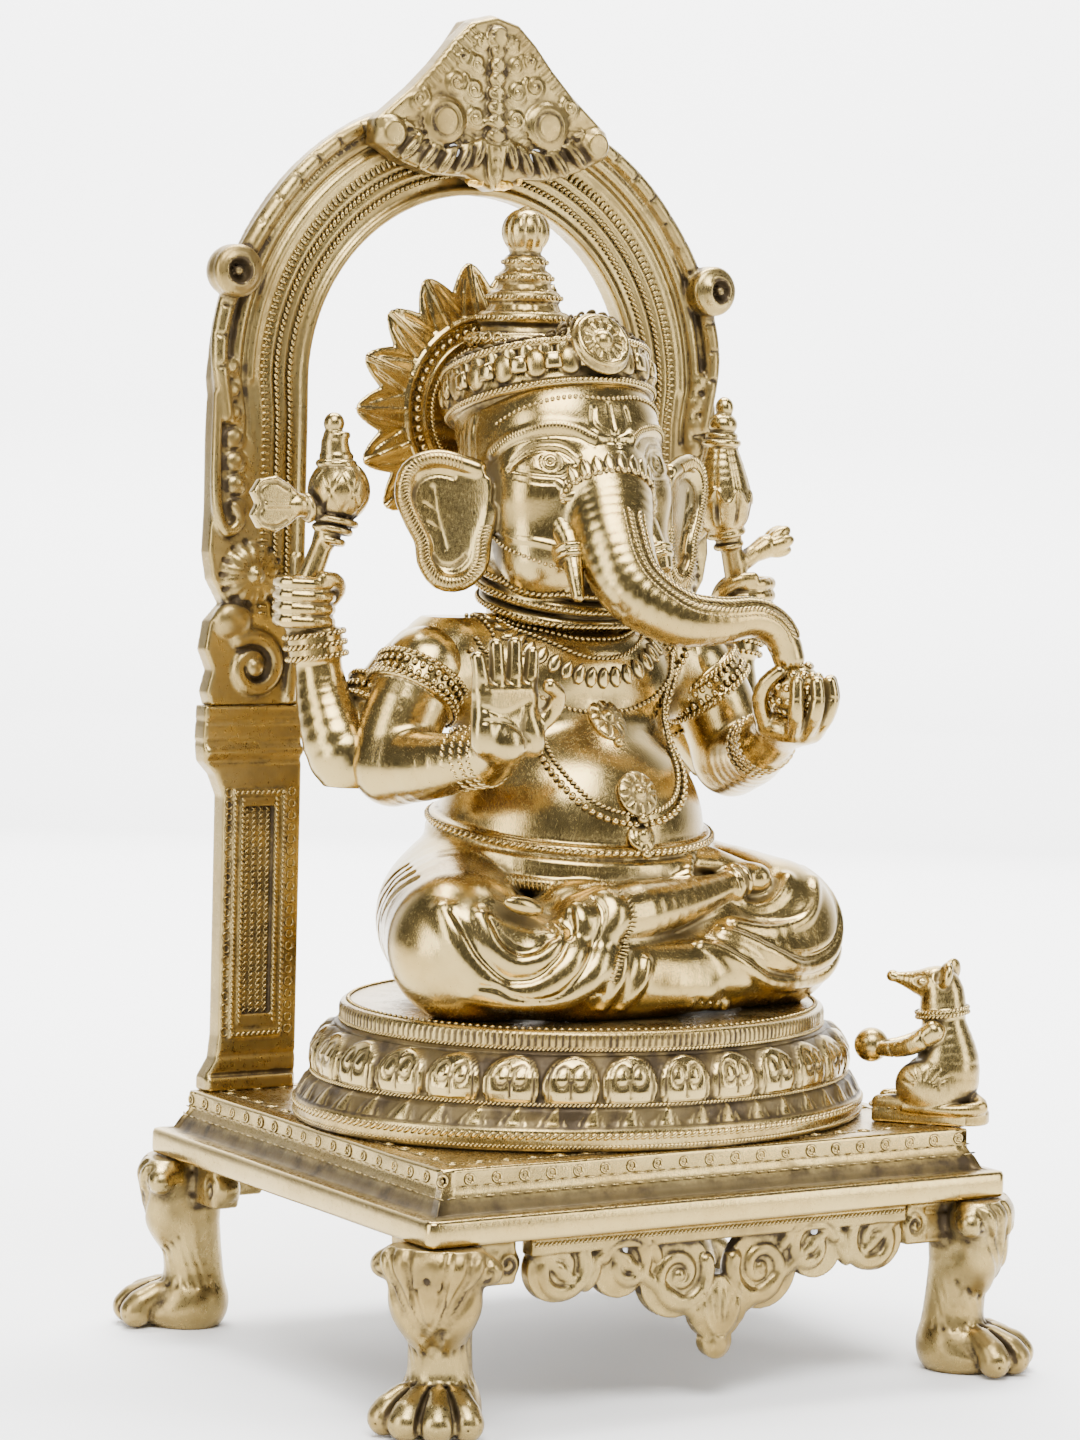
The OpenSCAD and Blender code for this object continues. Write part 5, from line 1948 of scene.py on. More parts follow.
class IDOL_OT_head(bpy.types.Operator):
    """Elephant head: dome, cheeks, folded ears, engraved eyes and brow, chevroned trunk, and tusks"""

    bl_idname = "idol.head"
    bl_label = "Head"

    def execute(self, context):
        s = Sculpt()
        s.add(oval((0, 18.5, 257), (28.0, 28.2, 27.4)), oval((0, 17, 238), (26, 24, 22)), k=8)
        s.add(oval((0, 5, 261), (21, 12, 14)), k=9)
        s.add(chain([(0, 17, 232), (0, 17, 209), (0, 17, 206.2)], [24, 19.6, 19.2]), k=6)
        for side in (1, -1):
            s.add(oval((side * 14.5, 3.5, 242), (13, 13, 14.5)), k=7)
            s.add(oval((side * 12, 2.5, 225), (14, 13.5, 14)), k=7)
        for z, r in COLLARS:
            s.add(ring((0, 14, z), (0, -0.22, 1), r, 1.9), k=0.8)
        s.trim(half_space((0, 0, 206.1), (0, 0, -1)))
        path = curve([p for p, _ in TRUNK], 34)
        bore = np.interp(np.linspace(0, 1, 34), np.linspace(0, 1, len(TRUNK)), [r for _, r in TRUNK])
        s.add(chain(path, bore), k=4.5)
        s.add(oval((40.6, -36.2, 205.6), (4.2, 4.2, 4.4)), k=2)
        for side in (1, -1):
            s.add(ear_form(side), k=2.2)
            rim = np.array(
                [ear_place(side, u, w, 1.2) for u, w, _ in curve([(*p, 0) for p in EAR], 44, closed=True)]
            )
            s.add(chain(rim[2:40], 2.5), k=0.8)
            inner = [
                ear_place(side, 0.72 * u + 0.6, 0.74 * w, 1.5) for u, w,
                _ in curve([(*p, 0) for p in EAR], 40, closed=True)
            ]
            s.groove(inner[4:36], 0.55, 0.7)
            s.groove(
                [ear_place(side, 0, -8, 1.5), ear_place(side, 3, 2, 1.5), ear_place(side, 4, 9, 1.5)], 0.5,
                0.5
            )
            s.groove([ear_place(side, 1.6, -3, 1.5), ear_place(side, 5, -1, 1.5)], 0.4, 0.4)
            s.groove([ear_place(side, 2.8, 2, 1.5), ear_place(side, 6.2, 4.4, 1.5)], 0.4, 0.4)
            # almond eye with iris, pupil and double lids
            eye = np.array((side * 16.4, -1, 250.4))
            s.add(oval(eye + (0, 1.6, 0), (7.8, 4.0, 4.1), axes((side, 0.62, -0.1))), k=1.2)
            along = np.array((side * 0.84, 0.52, -0.06))
            lid = [
                eye + along * 1.38 * t + (0, -3, 1.38 * h) for t,
                h in ((-6.6, -0.6), (-3.4, 2.1), (0.4, 2.9), (4, 1.9), (7.4, -0.5))
            ]
            under = [
                eye + along * 1.38 * t + (0, -3, 1.38 * h) for t,
                h in ((-6.6, -0.6), (-3, -2.2), (0.6, -2.7), (4, -2.0), (7.4, -0.5))
            ]
            for line, d in ((lid, 0.85), (under, 0.7)):
                s.engrave(line, 16, 0.6, d * 1.3)
            s.engrave(np.array(lid) + (0, 0, 2.4), 16, 0.4, 0.6)
            s.engrave(np.array(under) + (0, 0, -2.0), 16, 0.35, 0.4)
            spots, n = s.settle([eye + (0, -3, 0.1)])
            s.groove(loop(spots[0], n[0], 2.5, 20), 0.5, 0.9)
            s.cut(ball(spots[0] + n[0] * 0.3, 1.05), k=0.3)
            brow = np.array(BROW) * (side, 1, 1)
            s.emboss(brow, 26, 1.5, 1.1)
            s.engrave(brow - (0, 0, 2.4), 20, 0.4, 0.5)
            # hair combed down the side of the cap to the ear
            for k in range(8, 17):
                a = math.radians(14 + 9.2 * k)
                top = np.array((side * 29 * math.sin(a), 19 - 29 * math.cos(a), 270 - 5 * math.cos(a)))
                low_z = 251
                s.groove(
                    s.settle([top + (0, 0, t) for t in np.linspace(0, low_z - top[2], 4)])[0], 0.5, 0.6
                )
            # wrinkles at the trunk's root and jaw line
            jaw = [(side * 26, 12, 236), (side * 23, 2, 231), (side * 17, -3, 228), (side * 11, -5, 226)]
            s.emboss(jaw, 18, 0.9, 0.55)
        # trident and dot on the forehead
        for line in (
            [(0, -12, 254.6), (0, -9, 268)],
            [
                (-5.2, -9, 267), (-5.4, -9, 262.2), (-2.6, -10, 259.2), (0, -10.5, 258.2),
                (2.6, -10, 259.2), (5.4, -9, 262.2), (5.2, -9, 267)
            ],
            [(-2.4, -11, 256.6), (2.4, -11, 256.6)]
        ):
            s.engrave(line, 18, 0.55, 0.75)
        spots, n = s.settle([(0, -13, 251.4)])
        s.groove(loop(spots[0], n[0], 1.5, 16), 0.4, 0.6)
        # rings across the trunk's underside
        for k in range(7, 33, 2):
            t = unit(path[min(k + 1, 33)] - path[k - 1])
            front = unit(np.cross(np.cross(t, (0.25, -1, 0.45)), t))
            side_way = np.cross(t, front)
            arc = [
                path[k] + bore[k] * (
                    math.cos(a) * front + math.sin(a) * side_way
                ) for a in np.radians(np.linspace(118, 242, 12))
            ]
            s.groove(arc, 0.45, 0.4)
        cast("head_casting", s, cell(0.95), *SMOOTH, "head")

        def trunk_line(shift):
            pts = []
            for k in range(8, 32):
                t = unit(path[min(k + 1, 33)] - path[max(k - 1, 0)])
                front = unit(np.cross(np.cross(t, (0.15, -0.75, 0.65)), t))
                pts.append(path[k] + bore[k] * unit(front + shift / bore[k] * np.cross(t, front)))
            return on_surface(s, pts)

        chevron = (
            ornament("trunk_chevron_a", *pad(3.3, 0.95, 0.55, spin=35, around=6)),
            ornament("trunk_chevron_b", *pad(3.3, 0.95, 0.55, spin=-35, around=6))
        )
        for k, shift in ((0, 1.45), (1, -1.45)):
            strand(f"trunk_chevrons_{'ab'[k]}", [trunk_line(shift)], chevron[k], 1.35, *CARVED)
        for k, shift in ((0, 3.6), (1, -3.6)):
            strand(
                f"trunk_edge_{'ab'[k]}", [trunk_line(shift)],
                ornament("trunk_edge_" + "ab"[k], *pad(1.5, 0.75, 0.4, around=6)), 1.3, *CARVED
            )
        flame = ornament("trunk_collar_flame", *leaf(6.6, 4.0, 0.95, 0.3, rows=5, across=5))
        t = unit(path[5] - path[3])
        collar = loop(path[4], -t, bore[4] + 0.5, 30)
        collar = collar[[i for i, p in enumerate(collar) if p[1] < path[4][1] + 4.5]]
        order = np.argsort(collar[:, 0])
        strand("trunk_collar_flames", [on_surface(s, collar[order])], flame, 3.3, *CARVED)
        strand(
            "trunk_collar_beads", [on_surface(s, collar[order] - t * 0.8, 0.2)],
            ornament("collar_bead", *pad(1.5, 1.5, 0.9, around=7)), 1.6, *CARVED
        )
        throat = [
            on_surface(s, loop((0, 14, z), (0, -0.22, 1), r + 1.9, 90), 0.1, closed=True) for z,
            r in COLLARS
        ]
        strand(
            "throat_ropes", throat, ornament("throat_twist", *pad(2.6, 1.1, 0.9, spin=40, around=7)), 1.7,
            *CARVED
        )
        bead = ornament("face_bead", *pad(1.35, 1.35, 0.8, around=7))
        jaws = []
        for side in (1, -1):
            jaws.append(
                on_surface(
                    s,
                    curve(
                        [
                            (side * 27.5, 14, 233.6), (side * 24, 3, 228), (side * 18, -3, 224.6),
                            (side * 12, -5, 223)
                        ],
                        20
                    )
                )
            )
        hatch = ornament("brow_hatch", *pad(0.5, 2.2, 0.5, around=6))
        brows = [on_surface(s, curve(np.array(BROW) * (side, 1, 1), 26), -0.1) for side in (1, -1)]
        strand("brow_hatching", brows, hatch, 0.95, *CARVED)
        garland = on_surface(
            s,
            curve(
                [
                    (-26.5, 8, 262), (-22, -3, 269), (-12, -9.5, 272), (0, -11, 271), (12, -9.5, 272),
                    (22, -3, 269), (26.5, 8, 262)
                ],
                40
            )
        )
        strand("jaw_beads", jaws + [garland], bead, 1.6, *CARVED)
        ears = [
            Path(
                [
                    ear_place(side, 0.985 * u, w, 3.4) for u, w,
                    _ in curve([(*p, 0) for p in EAR], 44, closed=True)
                ][4:38],
                (side * math.sin(0.56), -math.cos(0.56), 0)
            ) for side in (1, -1)
        ]
        strand(
            "ear_hatching", ears, ornament("ear_hatch", *pad(0.6, 4.2, 0.7, spin=24, around=6)), 1.05,
            *CARVED
        )
        for node, side, share in (("tusk_right", -1, 1.0), ("tusk_left", 1, 0.5)):
            a, b = np.array((side * 13.5, -11.5, 229.5)), np.array((side * 15.5, -20, 215))
            tip = a + share * (b - a)
            t = Sculpt()
            t.add(
                chain(
                    curve([a + (0, 5, 5), a, (a + tip) / 2 + (side * 0.4, -0.7, 0), tip], 10),
                    np.linspace(4.6, 4.6 - 2.9 * share, 10)
                )
            )
            d = unit(b - a)
            for off, r in ((3.0, 5.0), (5.0, 4.6)):
                t.add(ring(a + d * off, d, r - 0.6, 1.0), k=0.4)
            for k in range(9):
                t.groove(
                    [p for p in (loop(a + d * 3.6, d, 5.6, 10)[k], loop(a + d * 6.0, d, 5.0, 10)[k])], 0.35,
                    0.4
                )
            if share < 1:
                t.cut(block(tip + d * 3.4, (4, 4, 2.4), axes(np.cross(d, (0, 1, 0)), d)), k=0.3)
            cast(node + "_ivory", t, 0.45, *SMOOTH, node)
        return {"FINISHED"}


TILT = math.radians(16)
BAND_UP = np.array((0, math.sin(TILT), math.cos(TILT)))


def band_loop(height, radius, count=72, start=0.0, sweep=360.0):
    """Round the headband, starting at the middle of the brow."""
    t = np.radians(start + np.linspace(0, sweep, count))
    across = np.stack([np.sin(t), -np.cos(t) * math.cos(TILT), np.cos(t) * math.sin(TILT)], 1)
    return np.array(HEAD) + BAND_UP * height + radius * across, across


# height above the cap and half width of the spire's discs
TIERS = ((0, 15.8), (6.2, 12.6), (12.2, 9.8), (17.8, 7.2), (22.4, 5.4))


class IDOL_OT_crown(bpy.types.Operator):
    """Crown: jewelled headband with a brow rosette, and a tiered spire with a bulb"""

    bl_idname = "idol.crown"
    bl_label = "Crown"

    def execute(self, context):
        head = np.array(HEAD)
        spire_y, tip = 38.0, box_mm("crown")[1][2]
        s = Sculpt()
        s.add(drum(head + BAND_UP * 10.5, head + BAND_UP * 23.4, 28.6, 28.2))
        s.add(oval(head + (0, 1, 6), (27.0, 27.4, 25)), k=2)
        for h, r in ((11.4, 1.25), (23.2, 1.35)):
            s.add(ring(head + BAND_UP * h, BAND_UP, 28.6, r))
        for t in (0, 19, -19, 38, -38, 57, -57, 76, -76, 95, -95, 114, -114, 133, -133, 152, -152):
            p, out = band_loop(17.4, 28.8, 1, t)
            if t:
                s.add(oval(p[0], (3.3, 1.9, 4.3), axes(np.cross(BAND_UP, out[0]), BAND_UP)), k=0.4)
        # cap between band and spire, ribbed
        s.add(chain([(0, 28, 267), (0, spire_y - 4, 272)], [26, 17.5]), k=3)
        for k in range(26):
            a = 2 * math.pi * k / 26
            s.groove(
                [
                    (24.5 * math.sin(a), 27 - 24.5 * math.cos(a), 284.5),
                    (15.5 * math.sin(a), spire_y - 15.5 * math.cos(a), 291)
                ],
                0.5, 0.7
            )
        z = 285.0
        for h, r in TIERS:
            at = (0, spire_y, z + h)
            s.add(chain([at, (0, spire_y, z + h + 5.0)], [r * 0.86, r * 0.74]), k=0.6)
            s.add(ring((0, spire_y, z + h + 0.8), (0, 0, 1), r - 1.2, 2.1), k=0.5)
            n = int(r * 1.5) + 6
            for k in range(n):
                a = 2 * math.pi * k / n
                d = np.array((math.sin(a), -math.cos(a), 0))
                s.groove([at + d * (r * 0.92) + (0, 0, 2.8), at + d * (r * 0.82) + (0, 0, 5.0)], 0.45, 0.6)
        s.add(
            chain([(0, spire_y, z + 20), (0, spire_y, z + 25), (0, spire_y, z + 28)], [4.6, 3.6, 3.9]), k=1
        )
        for h in (24.6, 26.6):
            s.add(ring((0, spire_y, z + h), (0, 0, 1), 3.9, 0.9), k=0.3)
        s.add(oval((0, spire_y, z + 32.0), (7.0, 7.0, 6.8)), k=0.8)
        s.add(chain([(0, spire_y, z + 36), (0, spire_y, tip - 1.6)], [3.0, 1.4]), k=1.2)
        for k in range(10):
            a = 2 * math.pi * k / 10
            d = np.array((math.sin(a), -math.cos(a), 0))
            s.groove(
                [np.array((0, spire_y, z + h)) + d * r for h, r in ((27.8, 5.6), (32.0, 7.2), (36.2, 5.4))],
                0.5, 0.6
            )
        # brow rosette standing on the band
        p, out = band_loop(21.6, 29.2, 1, 0)
        nose = unit(out[0] + 0.25 * BAND_UP)
        c = p[0] + nose * 0.2
        s.add(oval(c, (9.2, 9.8, 2.6), axes((1, 0, 0), nose)), k=0.6)
        s.add(ring(c + nose * 1.6, nose, 7.4, 1.1), k=0.3)
        s.add(ball(c + nose * 1.4, 3.2), k=0.4)
        up = np.cross(nose, (1, 0, 0))
        for k in range(12):
            a = 2 * math.pi * k / 12
            d = math.cos(a) * np.array((1, 0, 0)) + math.sin(a) * up
            s.groove([c + d * 3.8 + nose * 2.7, c + d * 6.3 + nose * 2.2], 0.55, 0.9)
        s.cut(ball(HEAD, 26))
        cast("crown_casting", s, cell(0.95), *CARVED, "crown")
        rope = ornament("band_rope_twist", *pad(2.3, 1.1, 0.8, spin=38, around=7))
        ropes = []
        for h in (11.4, 23.2):
            p, out = band_loop(h, 29.7)
            ropes.append(Path(p, out, closed=True))
        strand("band_ropes", ropes, rope, 1.55, *CARVED)
        gem = ornament("band_jewel", np.array(
            [
                (x * w, y * w, z_) for w, z_ in ((2.3, -0.4), (2.3, 0.9), (1.3, 1.5)) for x,
                y in ((-1, -1), (1, -1), (1, 1), (-1, 1))
            ]
        ),
                       [(3, 2, 1, 0), (8, 9, 10, 11)] + [
                           (4 * r + i, 4 * r + (i + 1) % 4, 4 * r + 4 + (i + 1) % 4, 4 * r + 4 + i)
                           for r in (0, 1) for i in range(4)
                       ])
        curls = [
            on_surface(s, band_loop(h, r)[0], 0.0, closed=True) for h,
            r in ((27.4, 26.6), (30.6, 24.6), (33.6, 21.6))
        ]
        strand("dome_curls", curls, ornament("dome_curl", *hoop(1.35, 0.5)), 3.7, *CARVED)
        p, out = band_loop(17.4, 29.9, 120, 9.5)
        strand("band_jewels", [Path(p, out, closed=True)], gem, 10.1, *CARVED, uneven=0.0)
        p, out = band_loop(24.2, 28.6, 120)
        strand(
            "band_petals", [Path(p[::-1], out[::-1], closed=True)],
            ornament("band_petal", *leaf(7.4, 5.6, 1.4, 0.4, rows=5, across=5)), 5.4, *CARVED
        )
        rings = [
            Path(
                loop((0, spire_y, z + h + 0.8), (0, 0, 1), r + 0.9, 60),
                unit_rows(loop((0, 0, 0), (0, 0, 1), 1, 60)), closed=True
            ) for h,
            r in TIERS
        ]
        strand("spire_beads", rings, ornament("spire_bead", *pad(1.5, 1.5, 0.7, around=7)), 1.9, *CARVED)
        return {"FINISHED"}


def unit_rows(rows):
    rows = np.asarray(rows, float)
    return rows / length(rows)[:, None]


class IDOL_OT_halo(bpy.types.Operator):
    """Halo of pointed petals behind the head"""

    bl_idname = "idol.halo"
    bl_label = "Halo"

    def execute(self, context):
        low, high = box_mm("halo")
        count = sizes().halo_petals
        centre = middle("halo")
        reach, y0, y1 = high[2] - centre[2], low[1], high[1]
        hub = reach * 0.64
        flat = outline(
            curve(
                [
                    (hub - 5, -5.2, 0), (hub + 1, -6.4, 0), (hub + 7.5, -6.2, 0), (reach - 0.4, 0, 0),
                    (hub + 7.5, 6.2, 0), (hub + 1, 6.4, 0), (hub - 5, 5.2, 0)
                ],
                24
            )[:, :2],
            0.5
        )

        def folded(p):
            x, z = p[:, 0] - centre[0], p[:, 2] - centre[2]
            r, a = np.hypot(x, z), np.arctan2(z, x)
            step = 2 * math.pi / count
            a = (a + step / 2) % step - step / 2
            return r * np.cos(a), r * np.sin(a)

        def petal(p):
            u, v = folded(p)
            a = flat(u, v)
            b = np.abs(p[:, 1] - (y0 + y1) / 2 - 0.3) - (1.5 - 0.09 * np.maximum(u - hub, 0)) + 0.5
            return np.hypot(np.maximum(a, 0), np.maximum(b, 0)) + np.minimum(np.maximum(a, b), 0) - 0.5

        def rise(p):
            u, v = folded(p)
            w = np.clip((reach - u) / (reach - hub), 0, 1) ** 0.7 * 6.0
            rib = 0.55 * np.exp(-((v / 0.5) ** 2)) * (u > hub - 1) - 0.5 * np.exp(
                -(((np.abs(v) - w * 0.8) / 0.4) ** 2)
            ) * (u > hub)
            return np.where(p[:, 1] < centre[1], rib, 0).astype(np.float32)

        s = Sculpt()
        s.add(
            Form(
                petal, (centre[0] - reach, y0, centre[2] - reach),
                (centre[0] + reach, y1, centre[2] + reach)
            )
        )
        s.relief((-50, y0 - 1, 200), (50, y1, 320), rise)
        s.add(drum((0, y0 + 0.9, centre[2]), (0, y1 - 0.2, centre[2]), hub - 0.5))
        s.add(
            ring((0, y0 + 1.2, centre[2]), (0, 1, 0), hub - 1.6, 1.3),
            ring((0, y0 + 1.2, centre[2]), (0, 1, 0), hub - 7.2, 0.8), k=0.3
        )
        s.trim(half_space((0, y0 + 0.05, 0), (0, -1, 0)))
        cast("halo_petals", s, cell(1.0), *SMOOTH, "halo")
        circle = lambda r: Path(loop((0, y0 + 0.8, centre[2]), (0, 1, 0), r, 70), (0, -1, 0), closed=True)
        strand(
            "halo_beads", [circle(hub - 4.4)], ornament("halo_bead", *pad(2.2, 2.2, 1.2, around=8)), 2.9,
            *CARVED
        )
        strand(
            "halo_rope", [circle(hub - 9.4)],
            ornament("halo_rope_twist", *pad(1.9, 0.9, 0.6, spin=38, around=6)), 1.3, *CARVED
        )
        return {"FINISHED"}


# ---------------------------------------------------------------- body, belts and chains


class IDOL_OT_body(bpy.types.Operator):
    """Seated body: belly, chest, folded legs in a pleated garment, foot, belts, cord and necklaces"""

    bl_idname = "idol.body"
    bl_label = "Body"

    def execute(self, context):
        seat = box_mm("lotus_pedestal")[1][2]
        s = Sculpt()
        s.add(oval((0, 6, seat + 47), (38.5, 37, 36)), oval((0, 16, seat + 84), (32, 21, 22)), k=14)
        s.add(chain([(-34, 19, seat + 93), (34, 19, seat + 93)], 14), k=8)
        for side in (1, -1):
            s.add(limb((side * 34, 17, seat + 95), (side * 48, 12, seat + 88), 13.5, 12), k=8)
            s.add(oval((side * 15, 0.5, seat + 88), (13, 8, 9.5)), k=8)
        s.groove(loop((0, -30, seat + 52), (0, -1, 0.1), 2.2, 16), 0.9, 0.9)
        s.add(oval((0, 8, seat + 95), (28, 17, 12.5)), k=8)
        s.add(chain([(-30, 14, seat + 22), (30, 14, seat + 22)], 22.5), k=10)
        s.add(oval((22, -29, seat + 21), (19, 11, 12)), oval((-16, -28, seat + 27), (16, 10, 11)), k=4)
        for side in (1, -1):
            s.add(
                chain(
                    curve(
                        [
                            (side * 28, 18, seat + 23), (side * 42, -2, seat + 23),
                            (side * 51, -20, seat + 21)
                        ],
                        10
                    ),
                    np.linspace(22, 19.5, 10)
                ),
                k=8
            )
            s.add(oval((side * 51, -22.5, seat + 17.5), (18.8, 17.5, 18.5)), k=6)
        s.add(
            chain(
                curve(
                    [
                        (-47, -29, seat + 15), (-36, -35, seat + 14), (-20, -38, seat + 12),
                        (6, -39, seat + 11), (22, -38, seat + 12)
                    ],
                    16
                ),
                np.linspace(14.5, 10.2, 16)
            ),
            k=5
        )
        s.add(
            chain(
                curve([(50, -27, seat + 14), (38, -34, seat + 13), (24, -37, seat + 12.5)], 10),
                np.linspace(14, 11.5, 10)
            ),
            k=5
        )
        # bare lower leg laid across to the far thigh, its heel and the toes of both feet
        s.add(
            chain(
                curve(
                    [
                        (-22, -38, seat + 25), (-8, -38.5, seat + 28.5), (10, -36.5, seat + 31),
                        (28, -33, seat + 34.5), (37, -30.5, seat + 36.5)
                    ],
                    16
                ),
                np.interp(np.linspace(0, 1, 16), [0, 0.25, 0.5, 0.8, 1], [9.2, 9.0, 7.0, 4.2, 3.9])
            ),
            k=2.0
        )
        s.add(ball((39, -31.5, seat + 36), 4.2), k=1.2)
        s.add(
            strap(
                [(37, -29, seat + 37.5), (27, -26, seat + 41), (17, -25, seat + 42)], [4.2, 5.2, 5.0], 0.6,
                (0, -0.5, 1)
            ),
            k=1.5
        )
        for k in range(5):
            s.add(
                limb(
                    (19 - 1.2 * k, -27 - 1.6 * k, seat + 43 - 1.4 * k),
                    (12.5 - 0.6 * k, -26 - 1.8 * k, seat + 43.4 - 1.7 * k), 1.9, 1.6
                ),
                k=0.6
            )

        # rolls of the garment over the near knee, one inside the other, and the broad fold round them
        rolls = (
            (
                [
                    (-66, -34, 132.8), (-62.7, -37, 123.8), (-58.9, -39, 116.4), (-50.3, -42, 109.6),
                    (-39.9, -44, 111.1), (-31, -45, 117.4), (-28.5, -46, 126.6), (-30.2, -44, 134.2)
                ],
                3.0, 2.4
            ),
            (
                [
                    (-55.4, -38, 129.5), (-52.9, -40, 121.2), (-46.3, -43, 116.9), (-38.2, -44, 118.6),
                    (-34.1, -45, 123.4), (-34.3, -43, 131.1)
                ],
                2.4, 2.0
            ),
            (
                [
                    (-19.1, -44, 137.9), (-17.4, -47, 130.3), (-21.2, -48, 121.4), (-26.6, -49, 113.2),
                    (-36.5, -48, 106.4), (-47.8, -46, 104.6), (-58, -40, 108.8)
                ],
                3.6, 2.5
            ),
        )
        heart = np.array((-44.5, -44, 125.5))
        for points, wide, high in rolls:
            points = np.array(points) + (0, 0, seat - 100)
            s.emboss(points, 34, wide, high)
            s.engrave(heart + (points - heart) * 0.84, 30, 0.95, 1.2)
        s.add(oval((-44, -41.5, seat + 32.5), (6.5, 2.6, 2.3), axes((1, 0, -0.25), (0, 1, 0))), k=1.2)
        # pleats between knee and foot
        for x, z0 in ((-19, 18.5), (-12.5, 15)):
            s.emboss(
                [(x + 3.5, -46, seat + z0), (x, -50, seat + z0 * 0.6), (x - 3.5, -51, seat + 3)], 16, 1.5,
                1.4
            )
        s.groove(spiral((-25, -50.5, seat + 7), (-1, 0, 0), (0, 0, 1), 3.6, 0.6, 1.4, 24, 200), 0.6, 0.9)
        # swags of the garment over the far thigh
        swags = (
            ((20, -45, 25), (33, -45, 17), (48, -42, 12), (60, -34, 16), (65, -27, 28), (62, -20, 35)),
            ((26, -44, 28), (38, -43, 23.5), (50, -38, 24), (57, -30, 32)),
            ((12, -46, 21), (24, -46, 13.5), (37, -44.5, 8.5), (54, -38, 8), (66, -30, 15)),
            ((32, -41, 32), (42, -37, 31), (49, -32, 35)),
        )
        for points in swags:
            line = s.settle(curve(np.array(points) + (0, 0, seat), 30))[0]
            s.ridge(line, 1.7, 1.9)
            s.groove(line + (0, 0, 3.0), 1.0, 1.1)
        for side in (1, -1):
            for k in range(4):
                s.engrave(
                    [
                        (side * (38 + 6 * k), 34 - 5 * k, seat + 8),
                        (side * (48 + 5 * k), 24 - 6 * k, seat + 24),
                        (side * (50 + 3 * k), 6 - 6 * k, seat + 36)
                    ],
                    18, 0.8, 0.8
                )
        # lower foot, its toes turned down beside the far knee
        s.add(
            strap(
                curve([(-10, -44.5, seat + 9), (0, -46, seat + 10), (10, -45, seat + 9)], 8),
                np.linspace(6.4, 7.4, 8), 0.7, (0, -1, 0.3)
            ),
            k=2.0
        )
        for k in range(5):
            tip = np.array((6.0 + 3.3 * k, -49.0 + 0.8 * k, seat + 5.2 - 0.5 * k))
            s.add(limb(tip + (-3.0, 1.0, 6.0), tip, 2.0, 1.8), k=0.6)
            s.groove(loop(tip + (0, -1.6, -0.2), (0.2, -1, -0.3), 1.0, 10), 0.3, 0.45)
        # bare-shin anklets
        for t in (0, 1):
            s.add(
                ring((30 + 2.6 * t, -32.6 + 0.5 * t, seat + 35 + 0.5 * t), (1, 0.28, 0.22), 4.1, 0.9), k=0.4
            )
        # rope belt, flat sash and hatched belt under the belly
        def belt(z, wide, deep, tilt):
            a = np.radians(np.linspace(-150, 150, 60))
            out = np.stack([np.sin(a), -np.cos(a), 0 * a], 1)
            return np.stack([wide * np.sin(a), 6 - deep * np.cos(a), z - tilt * np.cos(a)], 1), out

        rope_line, low_line = belt(seat + 49, 39.2, 37.4, 4.5), belt(seat + 38.5, 41.0, 39.8, 3.5)
        for line, r in (
            (rope_line, 1.7), (low_line, 2.0), (belt(seat + 45, 39.0, 37.6, 5), 2.5),
            (belt(seat + 42.4, 39.2, 37.8, 4.8), 2.5)
        ):
            s.add(chain(line[0], r), k=1.0)
        s.cut(drum((0, 12, seat - 2), (0, 12, seat + 70), 17))
        s.cut(drum((0, 17, seat + 98), (0, 17, seat + 122), 14.4))
        s.trim(half_space((0, 0, seat), (0, 0, -1)))
        s.trim(half_space((0, 0, seat + 107.5), (0, 0, 1)))
        cast("body_casting", s, cell(1.18), *SMOOTH, "torso")

        bead = ornament("chain_bead", *pad(2.1, 2.1, 1.5, around=8))
        small = ornament("chain_small_bead", *pad(1.4, 1.4, 0.9, around=7))
        twist = ornament("belt_rope_twist", *pad(3.0, 1.5, 1.4, spin=40, around=8))
        fine = ornament("collar_rope_twist", *pad(2.2, 1.0, 0.9, spin=40, around=6))
        hatch = ornament("belt_hatch", *pad(0.6, 4.2, 0.8, spin=12, around=6))
        strand("rope_belt", [Path(rope_line[0] + 1.3 * rope_line[1], rope_line[1])], twist, 2.2, *CARVED)
        strand("low_belt", [Path(low_line[0] + 1.6 * low_line[1], low_line[1])], hatch, 1.2, *CARVED)

        def drape(points, lift=0.2, n=44):
            return on_surface(s, curve(points, n), lift)

